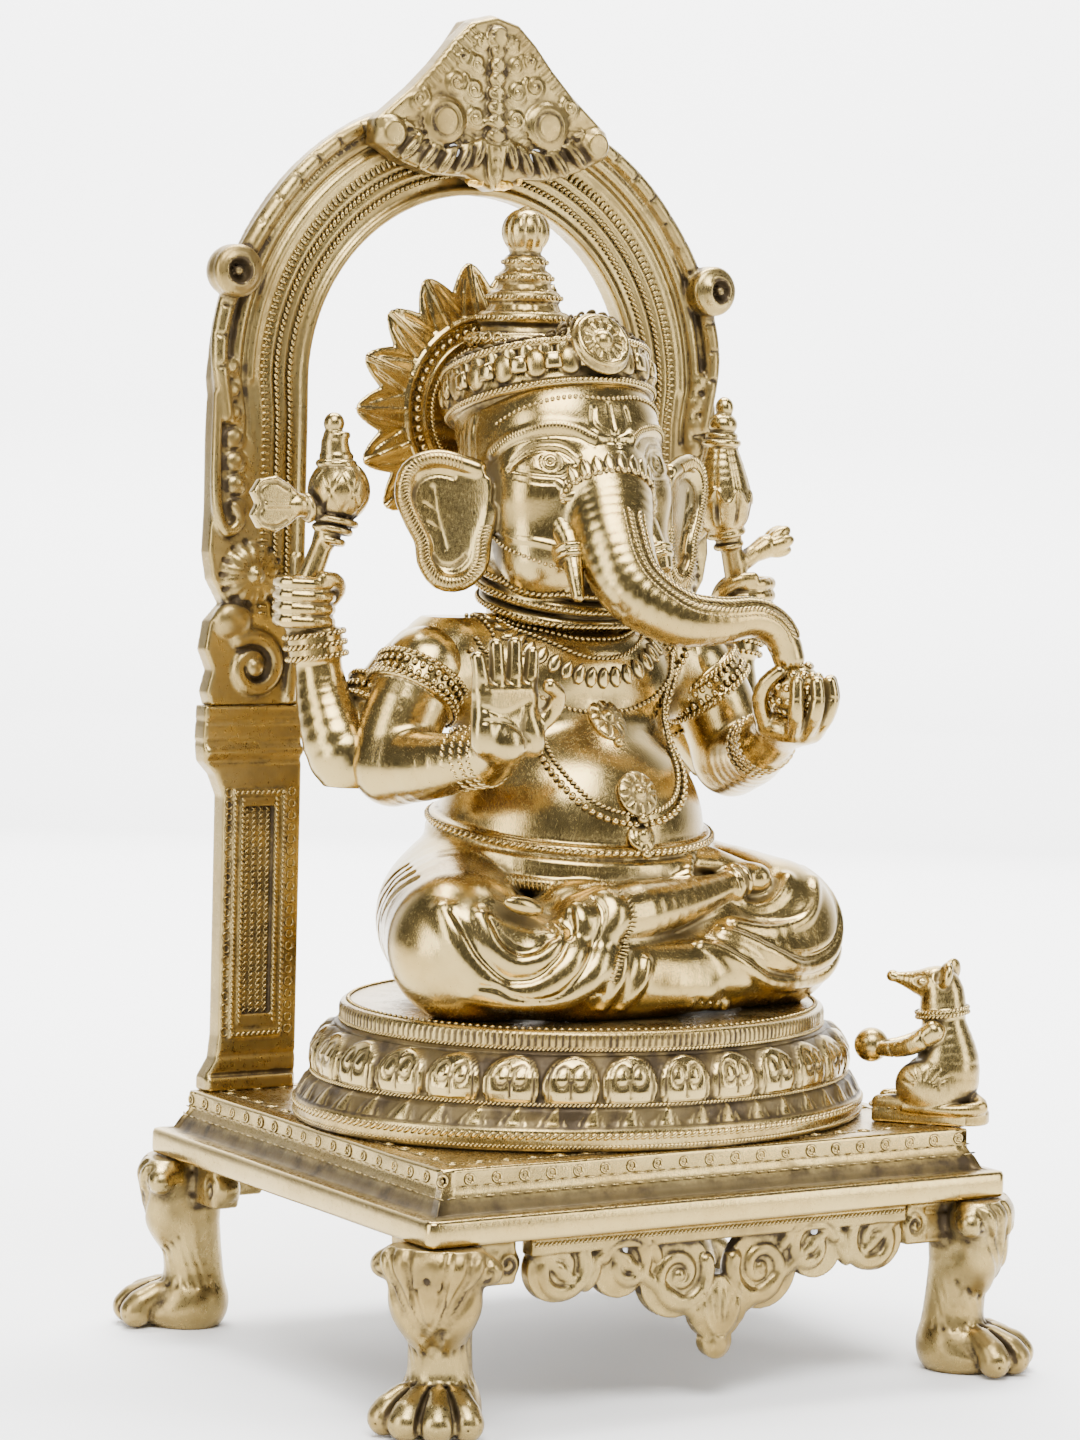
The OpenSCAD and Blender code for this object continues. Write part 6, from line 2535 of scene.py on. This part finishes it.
        neck = lambda w, drop, y: [
            (-w, 14, seat + 108), (-w * 0.8, 4, seat + 108 - drop * 0.55),
            (-w * 0.4, y, seat + 108 - drop * 0.9), (0, y - 1, seat + 108 - drop),
            (w * 0.4, y, seat + 108 - drop * 0.9), (w * 0.8, 4, seat + 108 - drop * 0.55),
            (w, 14, seat + 108)
        ]
        strand("necklace_ropes", [drape(neck(21, 4, -1)), drape(neck(25, 12, -4))], fine, 1.5, *CARVED)
        strand(
            "necklace_small_beads", [drape(neck(23, 8, -3)), drape(neck(31, 27, -7))], small, 1.7, *CARVED
        )
        strand(
            "necklace_plates", [drape(neck(29, 19, -6))],
            ornament("necklace_plate", *leaf(6.0, 4.2, 1.3, 0.3, rows=5, across=5)), 4.3, *CARVED
        )
        sacred = [
            (36, 5, seat + 98), (30, -10, seat + 88), (27, -24, seat + 72), (17, -34, seat + 58),
            (0, -36, seat + 53), (-17, -34, seat + 58), (-27, -24, seat + 72), (-30, -10, seat + 88),
            (-36, 5, seat + 98)
        ]
        inner = (np.array(sacred) * (0.93, 1, 1) + (0, 0, 3.4)).tolist()
        strand("sacred_cord", [drape(sacred)], bead, 2.3, *CARVED)
        strand("sacred_cord_rope", [drape(inner)], fine, 1.5, *CARVED)
        hem = [
            on_surface(
                s,
                curve(
                    np.array(
                        [(-14.4, -44, 36), (-12.6, -49, 28), (-15.8, -49, 20), (-21, -50, 12)]
                    ) + (0, 0, seat),
                    16
                ),
                0.1
            )
        ]
        strand(
            "garment_hem", hem, ornament("hem_hatch", *pad(0.6, 3.0, 0.8, spin=20, around=6)), 1.2, *CARVED
        )
        # breast pendant and scroll rosette on the belly
        p = Sculpt()
        for at, wide, tall in (
            ((0, -10, seat + 78), 5.4, 8.0), ((0, -37, seat + 64), 6.2, 6.6),
            ((0, -36, seat + 50), 4.4, 4.8)
        ):
            spot, n = s.settle([at])
            spot, n = spot[0], n[0]
            side_way = unit(np.cross(n, (0, 0, 1)))
            up = np.cross(side_way, n)
            p.add(oval(spot + n * 0.6, (wide, tall, 1.7), f32([side_way, up, n])))
            p.add(ball(spot + n * 1.6, 1.9), k=0.4)
            p.groove(loop(spot + n * 2.1, n, 2.7, 20), 0.4, 0.6)
            for k in range(10):
                a = 2 * math.pi * k / 10
                d = math.cos(a) * side_way + math.sin(a) * up
                p.groove([spot + d * 3.4 + n * 2, spot + d * 6.5 + n * 1.2], 0.4, 0.7)
            p.add(ball(spot - up * (tall + 0.8) + n * 0.8, 1.5), k=0.4)
        cast("pendants", p, 0.45, *CARVED)
        return {"FINISHED"}


# ---------------------------------------------------------------- arms, hands and what they hold


def band_round(at, axis, radius, spread):
    """Loops of a band across a limb, at each distance in spread along its axis."""
    axis = unit(axis)
    out = []
    for off, r in spread:
        p = loop(np.asarray(at) + axis * off, axis, radius + r, 40)
        c = np.asarray(at) + axis * off
        out.append(Path(p, unit_rows(p - c), closed=True))
    return out


def armlet(s, at, axis, r):
    """Raised double band round a limb."""
    axis = unit(axis)
    s.add(drum(np.asarray(at) - axis * 3.4, np.asarray(at) + axis * 3.4, r + 1.0, soft=0.8), k=0.6)
    for off in (-3.4, 3.4):
        s.add(ring(np.asarray(at) + axis * off, axis, r + 0.7, 1.0), k=0.3)


def fist(s, side, at):
    """A closed hand at the top of a raised forearm, its fingers folded to the front."""
    c = np.array(at, float)
    s.add(oval(c + (0, 1, -2.5), (8.0, 7.2, 8.6)), k=3)
    for k in range(4):
        z = 3.4 - 3.5 * k
        path = curve(
            [
                c + (side * 7.6, 1.5, z), c + (side * 8.2, -4.2, z), c + (side * 2.5, -8.0, z - 0.2),
                c + (side * -3.5, -7.0, z - 0.4), c + (side * -4.2, -3.4, z - 0.4)
            ],
            10
        )
        s.add(chain(path, np.linspace(2.1, 1.75, 10)), k=0.45)
        s.groove(loop(path[4], path[5] - path[4], 2.0, 10, 0, 200), 0.3, 0.3)
    thumb = curve(
        [
            c + (side * -6, 2.5, -4), c + (side * -8, -3, 1), c + (side * -5.2, -7.0, 4.2),
            c + (side * -0.6, -8.2, 5.0)
        ],
        10
    )
    s.add(chain(thumb, np.linspace(2.7, 1.9, 10)), k=0.7)


class IDOL_OT_arms(bpy.types.Operator):
    """Four arms with banded armlets, bracelets, an open palm, a cupped hand and two fists"""

    bl_idname = "idol.arms"
    bl_label = "Arms and hands"

    def execute(self, context):
        seat = box_mm("lotus_pedestal")[1][2]
        beads, ropes = [], []
        for side, name in ((RIGHT, "right"), (LEFT, "left")):
            s = Sculpt()
            stations = [
                ((40, 20, seat + 93), 12.5), ((49, 24, seat + 84), 11.2), ((61, 20, seat + 67), 10.8),
                ((66.5, 22, seat + 71), 10.4), ((69, 27, seat + 84), 8.6), ((70.5, 29.4, seat + 98), 6.6),
                ((72, 30.4, seat + 104), 6.6)
            ]
            path = curve([flip(p, side) for p, _ in stations], 20)
            bore = np.interp(
                np.linspace(0, 1, 20), np.linspace(0, 1, len(stations)), [r for _, r in stations]
            )
            s.add(chain(path, bore), k=0)
            fist(s, side, flip((73, 31, seat + 113), side))
            at, axis = path[4], path[5] - path[3]
            armlet(s, at, axis, bore[4])
            beads += [(name + "_rear", band_round(at, axis, bore[4], ((0, 1.4),)))]
            wrist, w_axis = flip((70.6, 29.5, seat + 99), side), flip((1.6, 1, 12), side)
            s.add(drum(wrist - unit(w_axis) * 4.4, wrist + unit(w_axis) * 4.2, 7.9, soft=1.2), k=1.0)
            ropes += [
                (
                    name + "_rear",
                    band_round(
                        wrist, w_axis, 7.7, ((-3.2, 0.3), (0, 0.4), (3.0, 0.3))
                    ) + band_round(at, axis, bore[4], ((-3.4, 1.6), (3.4, 1.6)))
                )
            ]
            s.trim(half_space((0, 0, seat + 60), (0, 0, -1)))
            cast("rear_arm_" + name, s, cell(0.92), *SMOOTH, "arm_rear_" + name)

        for side, name, wrist in (
            (RIGHT, "right", (-47, -27, seat + 72)), (LEFT, "left", (48, -22, seat + 74))
        ):
            s = Sculpt()
            upper = curve(
                [
                    flip(p, side) for p in (
                        (44, 13, seat + 93), (50, 11, seat + 85), (55, 10, seat + 74), (57, 9, seat + 67)
                    )
                ],
                10
            )
            s.add(chain(upper, np.linspace(12.2, 11, 10)))
            elbow = flip((56.5, 8, seat + 66.5), side)
            fore = curve([elbow, (elbow + wrist) / 2 + (side * 1.5, 0, -1.2), np.array(wrist, float)], 10)
            s.add(chain(fore, np.linspace(11, 6.9, 10)), k=2.5)
            at, axis = upper[2], upper[3] - upper[1]
            armlet(s, at, axis, 11.6)
            beads += [(name + "_front", band_round(at, axis, 11.6, ((-1.5, 1.3), (1.5, 1.3))))]
            w_axis = unit(np.asarray(wrist) - elbow)
            b = np.array(wrist) - w_axis * 3.5
            ropes += [
                (
                    name + "_front",
                    band_round(
                        b, w_axis, 7.3, ((-6.4, 0.9), (-3.2, 0.7), (0, 0.6), (3.0, 0.5))
                    ) + band_round(at, axis, 11.6, ((-3.5, 1.7), (3.5, 1.7)))
                )
            ]
            s.add(drum(b - w_axis * 7.6, b + w_axis * 4.0, 8.3, soft=1.2), k=1.0)
            if side == RIGHT:
                palm = np.array((-48.0, -35.6, seat + 83))
                s.add(chain([wrist, palm + (0, 0.5, -7)], [6.6, 6.6]), k=3)
                s.add(block(palm, (10.0, 3.7, 10.0), soft=3.6), k=2.5)
                s.add(
                    oval(palm + (7.2, -1.6, -4.4), (4.2, 3.6, 6.6), axes((1, 0, 0.35))),
                    oval(palm + (-7, -1.4, -3.6), (3.4, 3.0, 6.4)), k=1.6
                )
                for k, (x, top, lean) in enumerate(
                    ((-7.6, 16.2, -1.3), (-2.7, 19.6, -0.5), (2.3, 20.0, 0.3), (7.0, 17.4, 1.2))
                ):
                    finger = curve(
                        [palm + (x, 0, 7), palm + (x + lean * 0.5, -0.6, 12), palm + (x + lean, -0.2, top)],
                        8
                    )
                    s.add(chain(finger, np.linspace(2.55, 1.95, 8)), k=0.7)
                    for share in (2, 4, 5):
                        s.groove(
                            [finger[share] + (-2.4, -2.4, 0), finger[share] + (2.4, -2.4, 0)], 0.35, 0.45
                        )
                thumb = curve(
                    [
                        palm + (8.6, -0.5, -3), palm + (13.4, -2.2, 1.5), palm + (14.0, -4.4, 6.6),
                        palm + (10.8, -5.4, 8.8)
                    ],
                    10
                )
                s.add(chain(thumb, np.linspace(3.0, 2.1, 10)), k=1.2)
                for line in (
                    [(-8.6, -4, 3.0), (-2, -4.2, 1.4), (5.6, -4, 4.4)],
                    [(-8.6, -4, -0.6), (-1.5, -4.2, -1.0), (5.0, -4.4, -5.6)],
                    [(4.4, -4.4, 2.6), (3.2, -4.6, -2.6), (3.8, -4.4, -7.4)]
                ):
                    s.engrave(palm + np.array(line), 14, 0.5, 0.65)
            else:
                cup = np.array((48.0, -32.5, seat + 79))
                s.add(chain([wrist, cup + (0, 3, 0)], [6.8, 7.2]), k=3)
                s.add(oval(cup, (9.6, 11.0, 5.4), axes((1, 0.1, 0), (0, -0.15, 1))), k=3)
                sweet = middle("modak")
                for k in range(4):
                    a = math.radians(-158 + 34 * k)
                    d = np.array((math.cos(a) * -1, math.sin(a), 0))
                    finger = curve(
                        [
                            cup + d * 6 + (0, -2, -1.6), sweet + d * 9.0 + (0, 0, -8),
                            sweet + d * 10.8 + (0, 0, -2.4), sweet + d * 10.0 + (0, 0, 2.2)
                        ],
                        9
                    )
                    s.add(chain(finger, np.linspace(2.5, 1.9, 9)), k=0.8)
                    s.groove(loop(finger[6], finger[7] - finger[5], 2.0, 10, 0, 300), 0.3, 0.3)
                thumb = curve(
                    [
                        cup + (-7, 1, 0), sweet + (-9.6, 3.5, -4), sweet + (-10.0, 0.5, 1.5),
                        sweet + (-7.6, -2.5, 5)
                    ],
                    9
                )
                s.add(chain(thumb, np.linspace(2.8, 2.0, 9)), k=1)
                s.cut(ball(sweet, 8.55), k=0.3)
            cast("front_arm_" + name, s, cell(0.92), *SMOOTH, "arm_front_" + name)
        bead = ornament("armlet_bead", *pad(2.0, 2.4, 1.0, around=8))
        twist = ornament("bracelet_twist", *pad(2.5, 1.2, 1.1, spin=40, around=7))
        strand("armlet_beads", [p for _, group in beads for p in group], bead, 2.5, *CARVED)
        strand("bracelets", [p for _, group in ropes for p in group], twist, 1.8, *CARVED)
        return {"FINISHED"}


class IDOL_OT_attributes(bpy.types.Operator):
    """Axe and mace, lotus bud with its flower bundle, and the bumpy sweet"""

    bl_idname = "idol.attributes"
    bl_label = "What the hands hold"

    def execute(self, context):
        seat = box_mm("lotus_pedestal")[1][2]
        s = Sculpt()
        s.add(
            chain([(-72, 31, seat + 118), (-69, 30.5, seat + 126), (-66, 30, seat + 133)], [3.4, 3.0, 4.4]),
            k=1
        )
        for h, r in ((128.0, 4.3), (131.2, 5.6), (133.6, 6.6)):
            s.add(ring((-66.6 + (h - 128) * 0.25, 30, seat + h), (0.2, 0, 1), r - 0.8, 1.05), k=0.4)
        mace = np.array((-64, 30, seat + 142))
        s.add(oval(mace, (8.8, 8.8, 9.2)), k=0.6)
        for k in range(8):
            for lean in (1, -1):
                a = np.radians(45 * k + lean * np.linspace(-34, 34, 16))
                lat = np.radians(np.linspace(-58, 58, 16))
                line = mace + np.stack(
                    [np.cos(a) * np.cos(lat), np.sin(a) * np.cos(lat), np.sin(lat)], 1
                ) * (8.9, 8.9, 9.3)
                s.groove(line, 0.42, 0.75)
        for h, r in ((149.6, 5.6), (151.6, 4.6), (157.5, 3.6)):
            s.add(ring((-65, 30, seat + h), (0, 0, 1), r - 0.9, 1.1), k=0.3)
        s.add(
            chain([(-65, 30, seat + 149), (-65.6, 30, seat + 155), (-66, 30, seat + 158)], [4.8, 3.9, 2.6]),
            k=0.5
        )
        s.add(oval((-66, 30, seat + 160.8), (2.9, 2.9, 3.1)), k=0.3)
        s.add(chain([(-69, 30, seat + 136), (-77, 30, seat + 138)], [2.6, 3.2]), k=0.8)
        s.add(ring((-74, 30, seat + 137.2), (1, 0, 0.2), 3.4, 1.0), k=0.3)
        blade = [
            (-77, 135), (-80, 132.5), (-84.5, 130.2), (-89.5, 131.4), (-91.8, 135), (-90.2, 138),
            (-91.9, 141.4), (-89.5, 145), (-84.5, 146), (-80, 143.6), (-77, 141)
        ]
        s.add(slice_xz([(x, seat + z) for x, z in blade], 28.2, 31.8, 1.2), k=0.8)
        edge = curve(
            [
                (x, 28.4, seat + z) for x,
                z in [
                    (-81, 133.6), (-84.6, 131.9), (-88.6, 132.8), (-90.2, 135.2), (-88.7, 138),
                    (-90.2, 141.2), (-88.6, 143.6), (-84.6, 144.2), (-81, 142.4)
                ]
            ],
            30
        )
        s.groove(edge, 0.45, 0.7)
        s.ridge([(-77, 28.4, seat + 138), (-88, 28.4, seat + 138)], 0.8, 0.7)
        cast("axe_and_mace_head", s, cell(0.8), *CARVED, "axe_and_mace")

        s = Sculpt()
        s.add(
            chain([(72, 31, seat + 118), (70, 31, seat + 126), (67.5, 31, seat + 133)], [3.4, 3.2, 4.8]),
            k=1
        )
        for h, r in ((127.5, 4.4), (131, 5.8)):
            s.add(ring((69 - (h - 127) * 0.3, 31, seat + h), (-0.25, 0, 1), r - 0.9, 1.05), k=0.4)
        s.add(
            chain(
                curve(
                    [
                        (66.6, 31, seat + 136), (66, 31, seat + 141), (65.4, 31, seat + 149),
                        (65, 31, seat + 156)
                    ],
                    10
                ),
                [6.8, 8.2, 8.8, 8.7, 8.2, 7.6, 7.0, 6.3, 5.6, 5.0]
            ),
            k=0.6
        )
        for k in range(8):
            a = 2 * math.pi * k / 8
            d = np.array((math.cos(a), math.sin(a), 0))
            s.groove(
                curve(
                    [
                        np.array((66.4, 31, seat + 134)) + d * 6.8,
                        np.array((66, 31, seat + 142)) + d * 8.9,
                        np.array((65.3, 31, seat + 150)) + d * 7.6, np.array((65, 31, seat + 157)) + d * 5.2
                    ],
                    16
                ),
                0.6, 0.8
            )
            e = np.array((math.cos(a + 0.39), math.sin(a + 0.39), 0))
            drape = curve(
                [
                    np.array((66, 31, seat + 144)) + d * 8.8, np.array((66.2, 31, seat + 140)) + e * 9.0,
                    np.array((66, 31, seat + 144)) + (2 * e - d) / np.linalg.norm(2 * e - d) * 8.8
                ],
                12
            )
            s.ridge(drape, 0.55, 0.6)
        for h, r in ((157.6, 5.8), (159.6, 4.8)):
            s.add(ring((65.2, 31, seat + h), (0, 0, 1), r - 1, 1.1), k=0.3)
        s.add(
            oval((65.5, 31, seat + 163), (4.4, 4.4, 3.6)), oval((66, 31, seat + 168), (2.7, 2.7, 3.2)),
            k=0.5
        )
        s.add(
            chain([(73, 31, seat + 122), (78, 31, seat + 125), (82, 31, seat + 127)], [3.0, 2.8, 3.6]),
            k=0.8
        )
        for a in range(0, 360, 60):
            d = np.array((0.25, math.cos(math.radians(a)), math.sin(math.radians(a))))
            c = np.array((85.2, 31, seat + 128.3)) + d * 2.6
            s.add(oval(c, (4.4, 2.2, 2.2), axes((1, 0.25 * d[1], 0.35 + 0.3 * d[2]))), k=0.4)
        s.add(ball((87.5, 31, seat + 129.6), 2.4), k=0.3)
        cast("lotus_bud_and_flower", s, cell(0.8), *CARVED, "lotus_bud")

        s = Sculpt()
        sweet = middle("modak")
        s.add(oval(sweet, (7.3, 7.3, 7.3)), k=0)
        cast("sweet_core", s, 0.6, *CARVED, "modak")
        t = np.linspace(0.16, math.pi - 0.2, 260)
        a = 2 * math.pi * 5.4 * (t / math.pi)
        n = np.stack([np.sin(t) * np.cos(a), np.sin(t) * np.sin(a), np.cos(t)], 1)
        strand(
            "sweet_bumps", [Path(sweet + n * 6.9, n)],
            ornament("sweet_bump", *pad(2.9, 2.9, 1.6, around=8)), 2.75, *CARVED, uneven=0.08
        )
        return {"FINISHED"}


# ---------------------------------------------------------------- mouse


class IDOL_OT_mouse(bpy.types.Operator):
    """Mouse on its base plate, holding a round sweet up to the figure"""

    bl_idname = "idol.mouse"
    bl_label = "Mouse"

    def execute(self, context):
        tier = box_mm("plinth")[1]
        home = np.array((81.0, -57.0, tier[2]))
        a = math.radians(133)
        turn = np.array([[math.cos(a), math.sin(a), 0], [-math.sin(a), math.cos(a), 0], [0, 0, 1]])
        s = Sculpt()
        s.add(block((0, 0, 2), (13.4, 8.2, 2), soft=0.9), drum((-11.6, 0, 0), (-11.6, 0, 4), 7.2, soft=0.9))
        s.add(
            chain(
                curve([(-6, 0, 10), (-6.6, 0, 18), (-5.4, 0, 26), (-4.4, 0, 32)], 10),
                [9, 9.4, 9.2, 8.8, 8.2, 7.6, 7.0, 6.4, 6.1, 6.0]
            ),
            k=2
        )
        s.add(
            chain(
                curve([(-5, 0, 33), (-3.6, 0, 38.4), (2, 0, 39.2), (8.4, 0, 40.2)], 12),
                [6.2, 6.3, 6.2, 5.9, 5.4, 4.8, 4.2, 3.6, 3.0, 2.5, 2.0, 1.6]
            ),
            k=1.6
        )
        s.add(ball((10.0, 0, 40.6), 1.7), k=0.5)
        s.groove([(10.6, -3, 38.6), (6, -3.4, 37.0), (2, -5, 36.6)], 0.4, 0.8)
        s.groove([(10.6, 3, 38.6), (6, 3.4, 37.0), (2, 5, 36.6)], 0.4, 0.8)
        for side in (1, -1):
            s.add(oval((-6, side * 5, 42.2), (1.7, 3.3, 3.9), axes((0.8, side * 0.5, 0.2))), k=0.6)
            s.cut(oval((-4.4, side * 5.4, 42.4), (1.2, 2.1, 2.6), axes((0.8, side * 0.5, 0.2))), k=0.5)
            eye = np.array((1.4, side * 4.6, 40.0))
            lids = ((-2.3, 0, 0), (-0.4, 0, 1.5), (2.2, 0, 0.2), (-0.2, 0, -1.2), (-2.3, 0, 0))
            s.engrave([eye + d for d in lids], 20, 0.32, 0.5)
            s.add(ball(s.settle([eye])[0][0], 0.75), k=0.2)
            # haunch, foot and arm
            s.add(oval((-1.5, side * 6.6, 10.5), (8.6, 4.2, 7.6), axes((1, 0, 0.3))), k=1.6)
            s.add(chain([(2, side * 6.4, 5.4), (11.5, side * 5.6, 5.2)], [2.8, 2.3]), k=0.9)
            for k in range(3):
                s.groove(
                    [(10.6, side * (4.4 + 1.1 * k), 7.6), (14.2, side * (4.4 + 1.1 * k), 5.0)], 0.3, 0.5
                )
            s.add(
                chain(
                    curve(
                        [
                            (-3.4, side * 7.2, 26.5), (2, side * 7.6, 22.5), (7.2, side * 5.2, 20.6),
                            (11.6, side * 3.0, 20.0)
                        ],
                        8
                    ),
                    np.linspace(3.2, 2.1, 8)
                ),
                k=0.9
            )
            for k in range(6):
                s.groove(
                    loop(
                        (-1.6 + 2.0 * k, side * (7.2 - 0.55 * k), 24.6 - 0.8 * k), (1, -side * 0.25, -0.35),
                        3.1 - 0.14 * k, 16
                    ),
                    0.32, 0.45
                )
            for k in range(6):
                b = math.radians(20 + 26 * k)
                s.groove(
                    [
                        (-1.5 + 3.4 * math.cos(b), side * 10.6, 10.5 + 3.0 * math.sin(b)),
                        (-1.5 + 8 * math.cos(b), side * 9.4, 10.5 + 7 * math.sin(b))
                    ],
                    0.4, 0.6
                )
        # fur in slanted rows down the back and flanks
        for row in range(6):
            for k in range(14):
                b = math.radians(70 + 220 * k / 13 + 8 * (row % 2))
                r = 10.2 - 0.35 * abs(row - 1)
                z = 12 + 3.1 * row
                p = np.array((-6.2 + r * math.cos(b), r * math.sin(b), z))
                s.groove([p + (0, 0, 1.3), p + (-0.25 * math.sin(b), 0.25 * math.cos(b), -1.3)], 0.34, 0.5)
        # tail along the plate, collar and sweet
        s.add(
            chain(
                curve([(-14, 1, 7), (-17, 4, 5.4), (-12, 7.6, 4.8), (-3, 8.4, 4.6), (4, 8.2, 4.6)], 18),
                np.linspace(2.4, 1.0, 18)
            ),
            k=0.6
        )
        s.add(ring((-4.6, 0, 31.2), (0.15, 0, 1), 6.1, 1.3), k=0.4)
        s.add(ball((15.4, 0, 20.6), 4.9), k=0.5)
        moved = lambda f: Form(
            lambda p: f.far((p - f32(home)) @ f32(turn.T)), home - 26, home + (26, 26, 50)
        )
        s.steps = [(kind, moved(f), k) for kind, f, k in s.steps]
        s._put("add", [], 0)
        cast("mouse_figure", s, cell(0.75), *CARVED, "mouse")
        lean = unit(np.array((0.15, 0, 1)) @ turn)
        c = np.array((-4.6, 0, 31.2)) @ turn + home
        strand(
            "mouse_collar", band_round(c, lean, 6.6, ((-0.6, 0.7), (0.7, 0.7))),
            ornament("collar_chevron", *pad(1.9, 0.8, 0.6, spin=40, around=6)), 1.2, *CARVED
        )
        p = np.array(
            [(x, y, 4.0) for x, y in ((-12, -6.8), (12, -6.8), (12, 6.8), (-12, 6.8))]
        ) @ turn + home
        strand(
            "mouse_plate_beads", [Path(curve(p, 60, closed=True)[:-1], (0, 0, 1), closed=True)],
            ornament("plate_bead", *pad(1.2, 1.2, 0.5, around=7)), 1.9, *CARVED
        )
        return {"FINISHED"}


FASTENERS = (
    "leg_studs", "apron_pins", "figure_studs", "figure_washers", "figure_nuts", "halo_pin", "arch_dowels",
    "crest_rivets", "mouse_peg",
)


class IDOL_OT_fasteners(bpy.types.Operator):
    """Steel finish for the hidden studs, nuts, pins and dowels"""

    bl_idname = "idol.fasteners"
    bl_label = "Fasteners"

    def execute(self, context):
        for name in FASTENERS:
            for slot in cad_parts[name].material_slots:
                slot.material = finish("steel")
        return {"FINISHED"}


# ---------------------------------------------------------------- panel and run

STEPS = (
    IDOL_OT_stage, IDOL_OT_plinth, IDOL_OT_feet, IDOL_OT_apron, IDOL_OT_pedestal, IDOL_OT_pillars,
    IDOL_OT_arch, IDOL_OT_crest, IDOL_OT_head, IDOL_OT_crown, IDOL_OT_halo, IDOL_OT_body, IDOL_OT_arms,
    IDOL_OT_attributes, IDOL_OT_mouse, IDOL_OT_fasteners,
)
GROUPS = (IdolLook, IdolSizes, IdolStage)


class IDOL_PT_panel(bpy.types.Panel):
    """Lists the figure's sizes, colours and building steps"""

    bl_idname = "IDOL_PT_panel"
    bl_label = "Seated figure"
    bl_space_type = "VIEW_3D"
    bl_region_type = "UI"
    bl_category = "Idol"

    def draw(self, context):
        scene = context.scene
        for group in (scene.idol_look, scene.idol_sizes, scene.idol_stage):
            box = self.layout.box()
            for name in group.__annotations__:
                box.prop(group, name)
        for step in STEPS:
            self.layout.operator(step.bl_idname)


def register():
    for item in (*GROUPS, *STEPS, IDOL_PT_panel):
        bpy.utils.register_class(item)
    bpy.types.Scene.idol_look = bpy.props.PointerProperty(type=IdolLook)
    bpy.types.Scene.idol_sizes = bpy.props.PointerProperty(type=IdolSizes)
    bpy.types.Scene.idol_stage = bpy.props.PointerProperty(type=IdolStage)


def unregister():
    del bpy.types.Scene.idol_look, bpy.types.Scene.idol_sizes, bpy.types.Scene.idol_stage
    for item in reversed((*GROUPS, *STEPS, IDOL_PT_panel)):
        bpy.utils.unregister_class(item)


def main():
    register()
    for step in STEPS:
        start = time.time()
        getattr(bpy.ops.idol, step.bl_idname.split(".")[1])()
        print(f"{step.bl_label}: {time.time() - start:.1f} s")


if __name__ == "__main__":
    main()
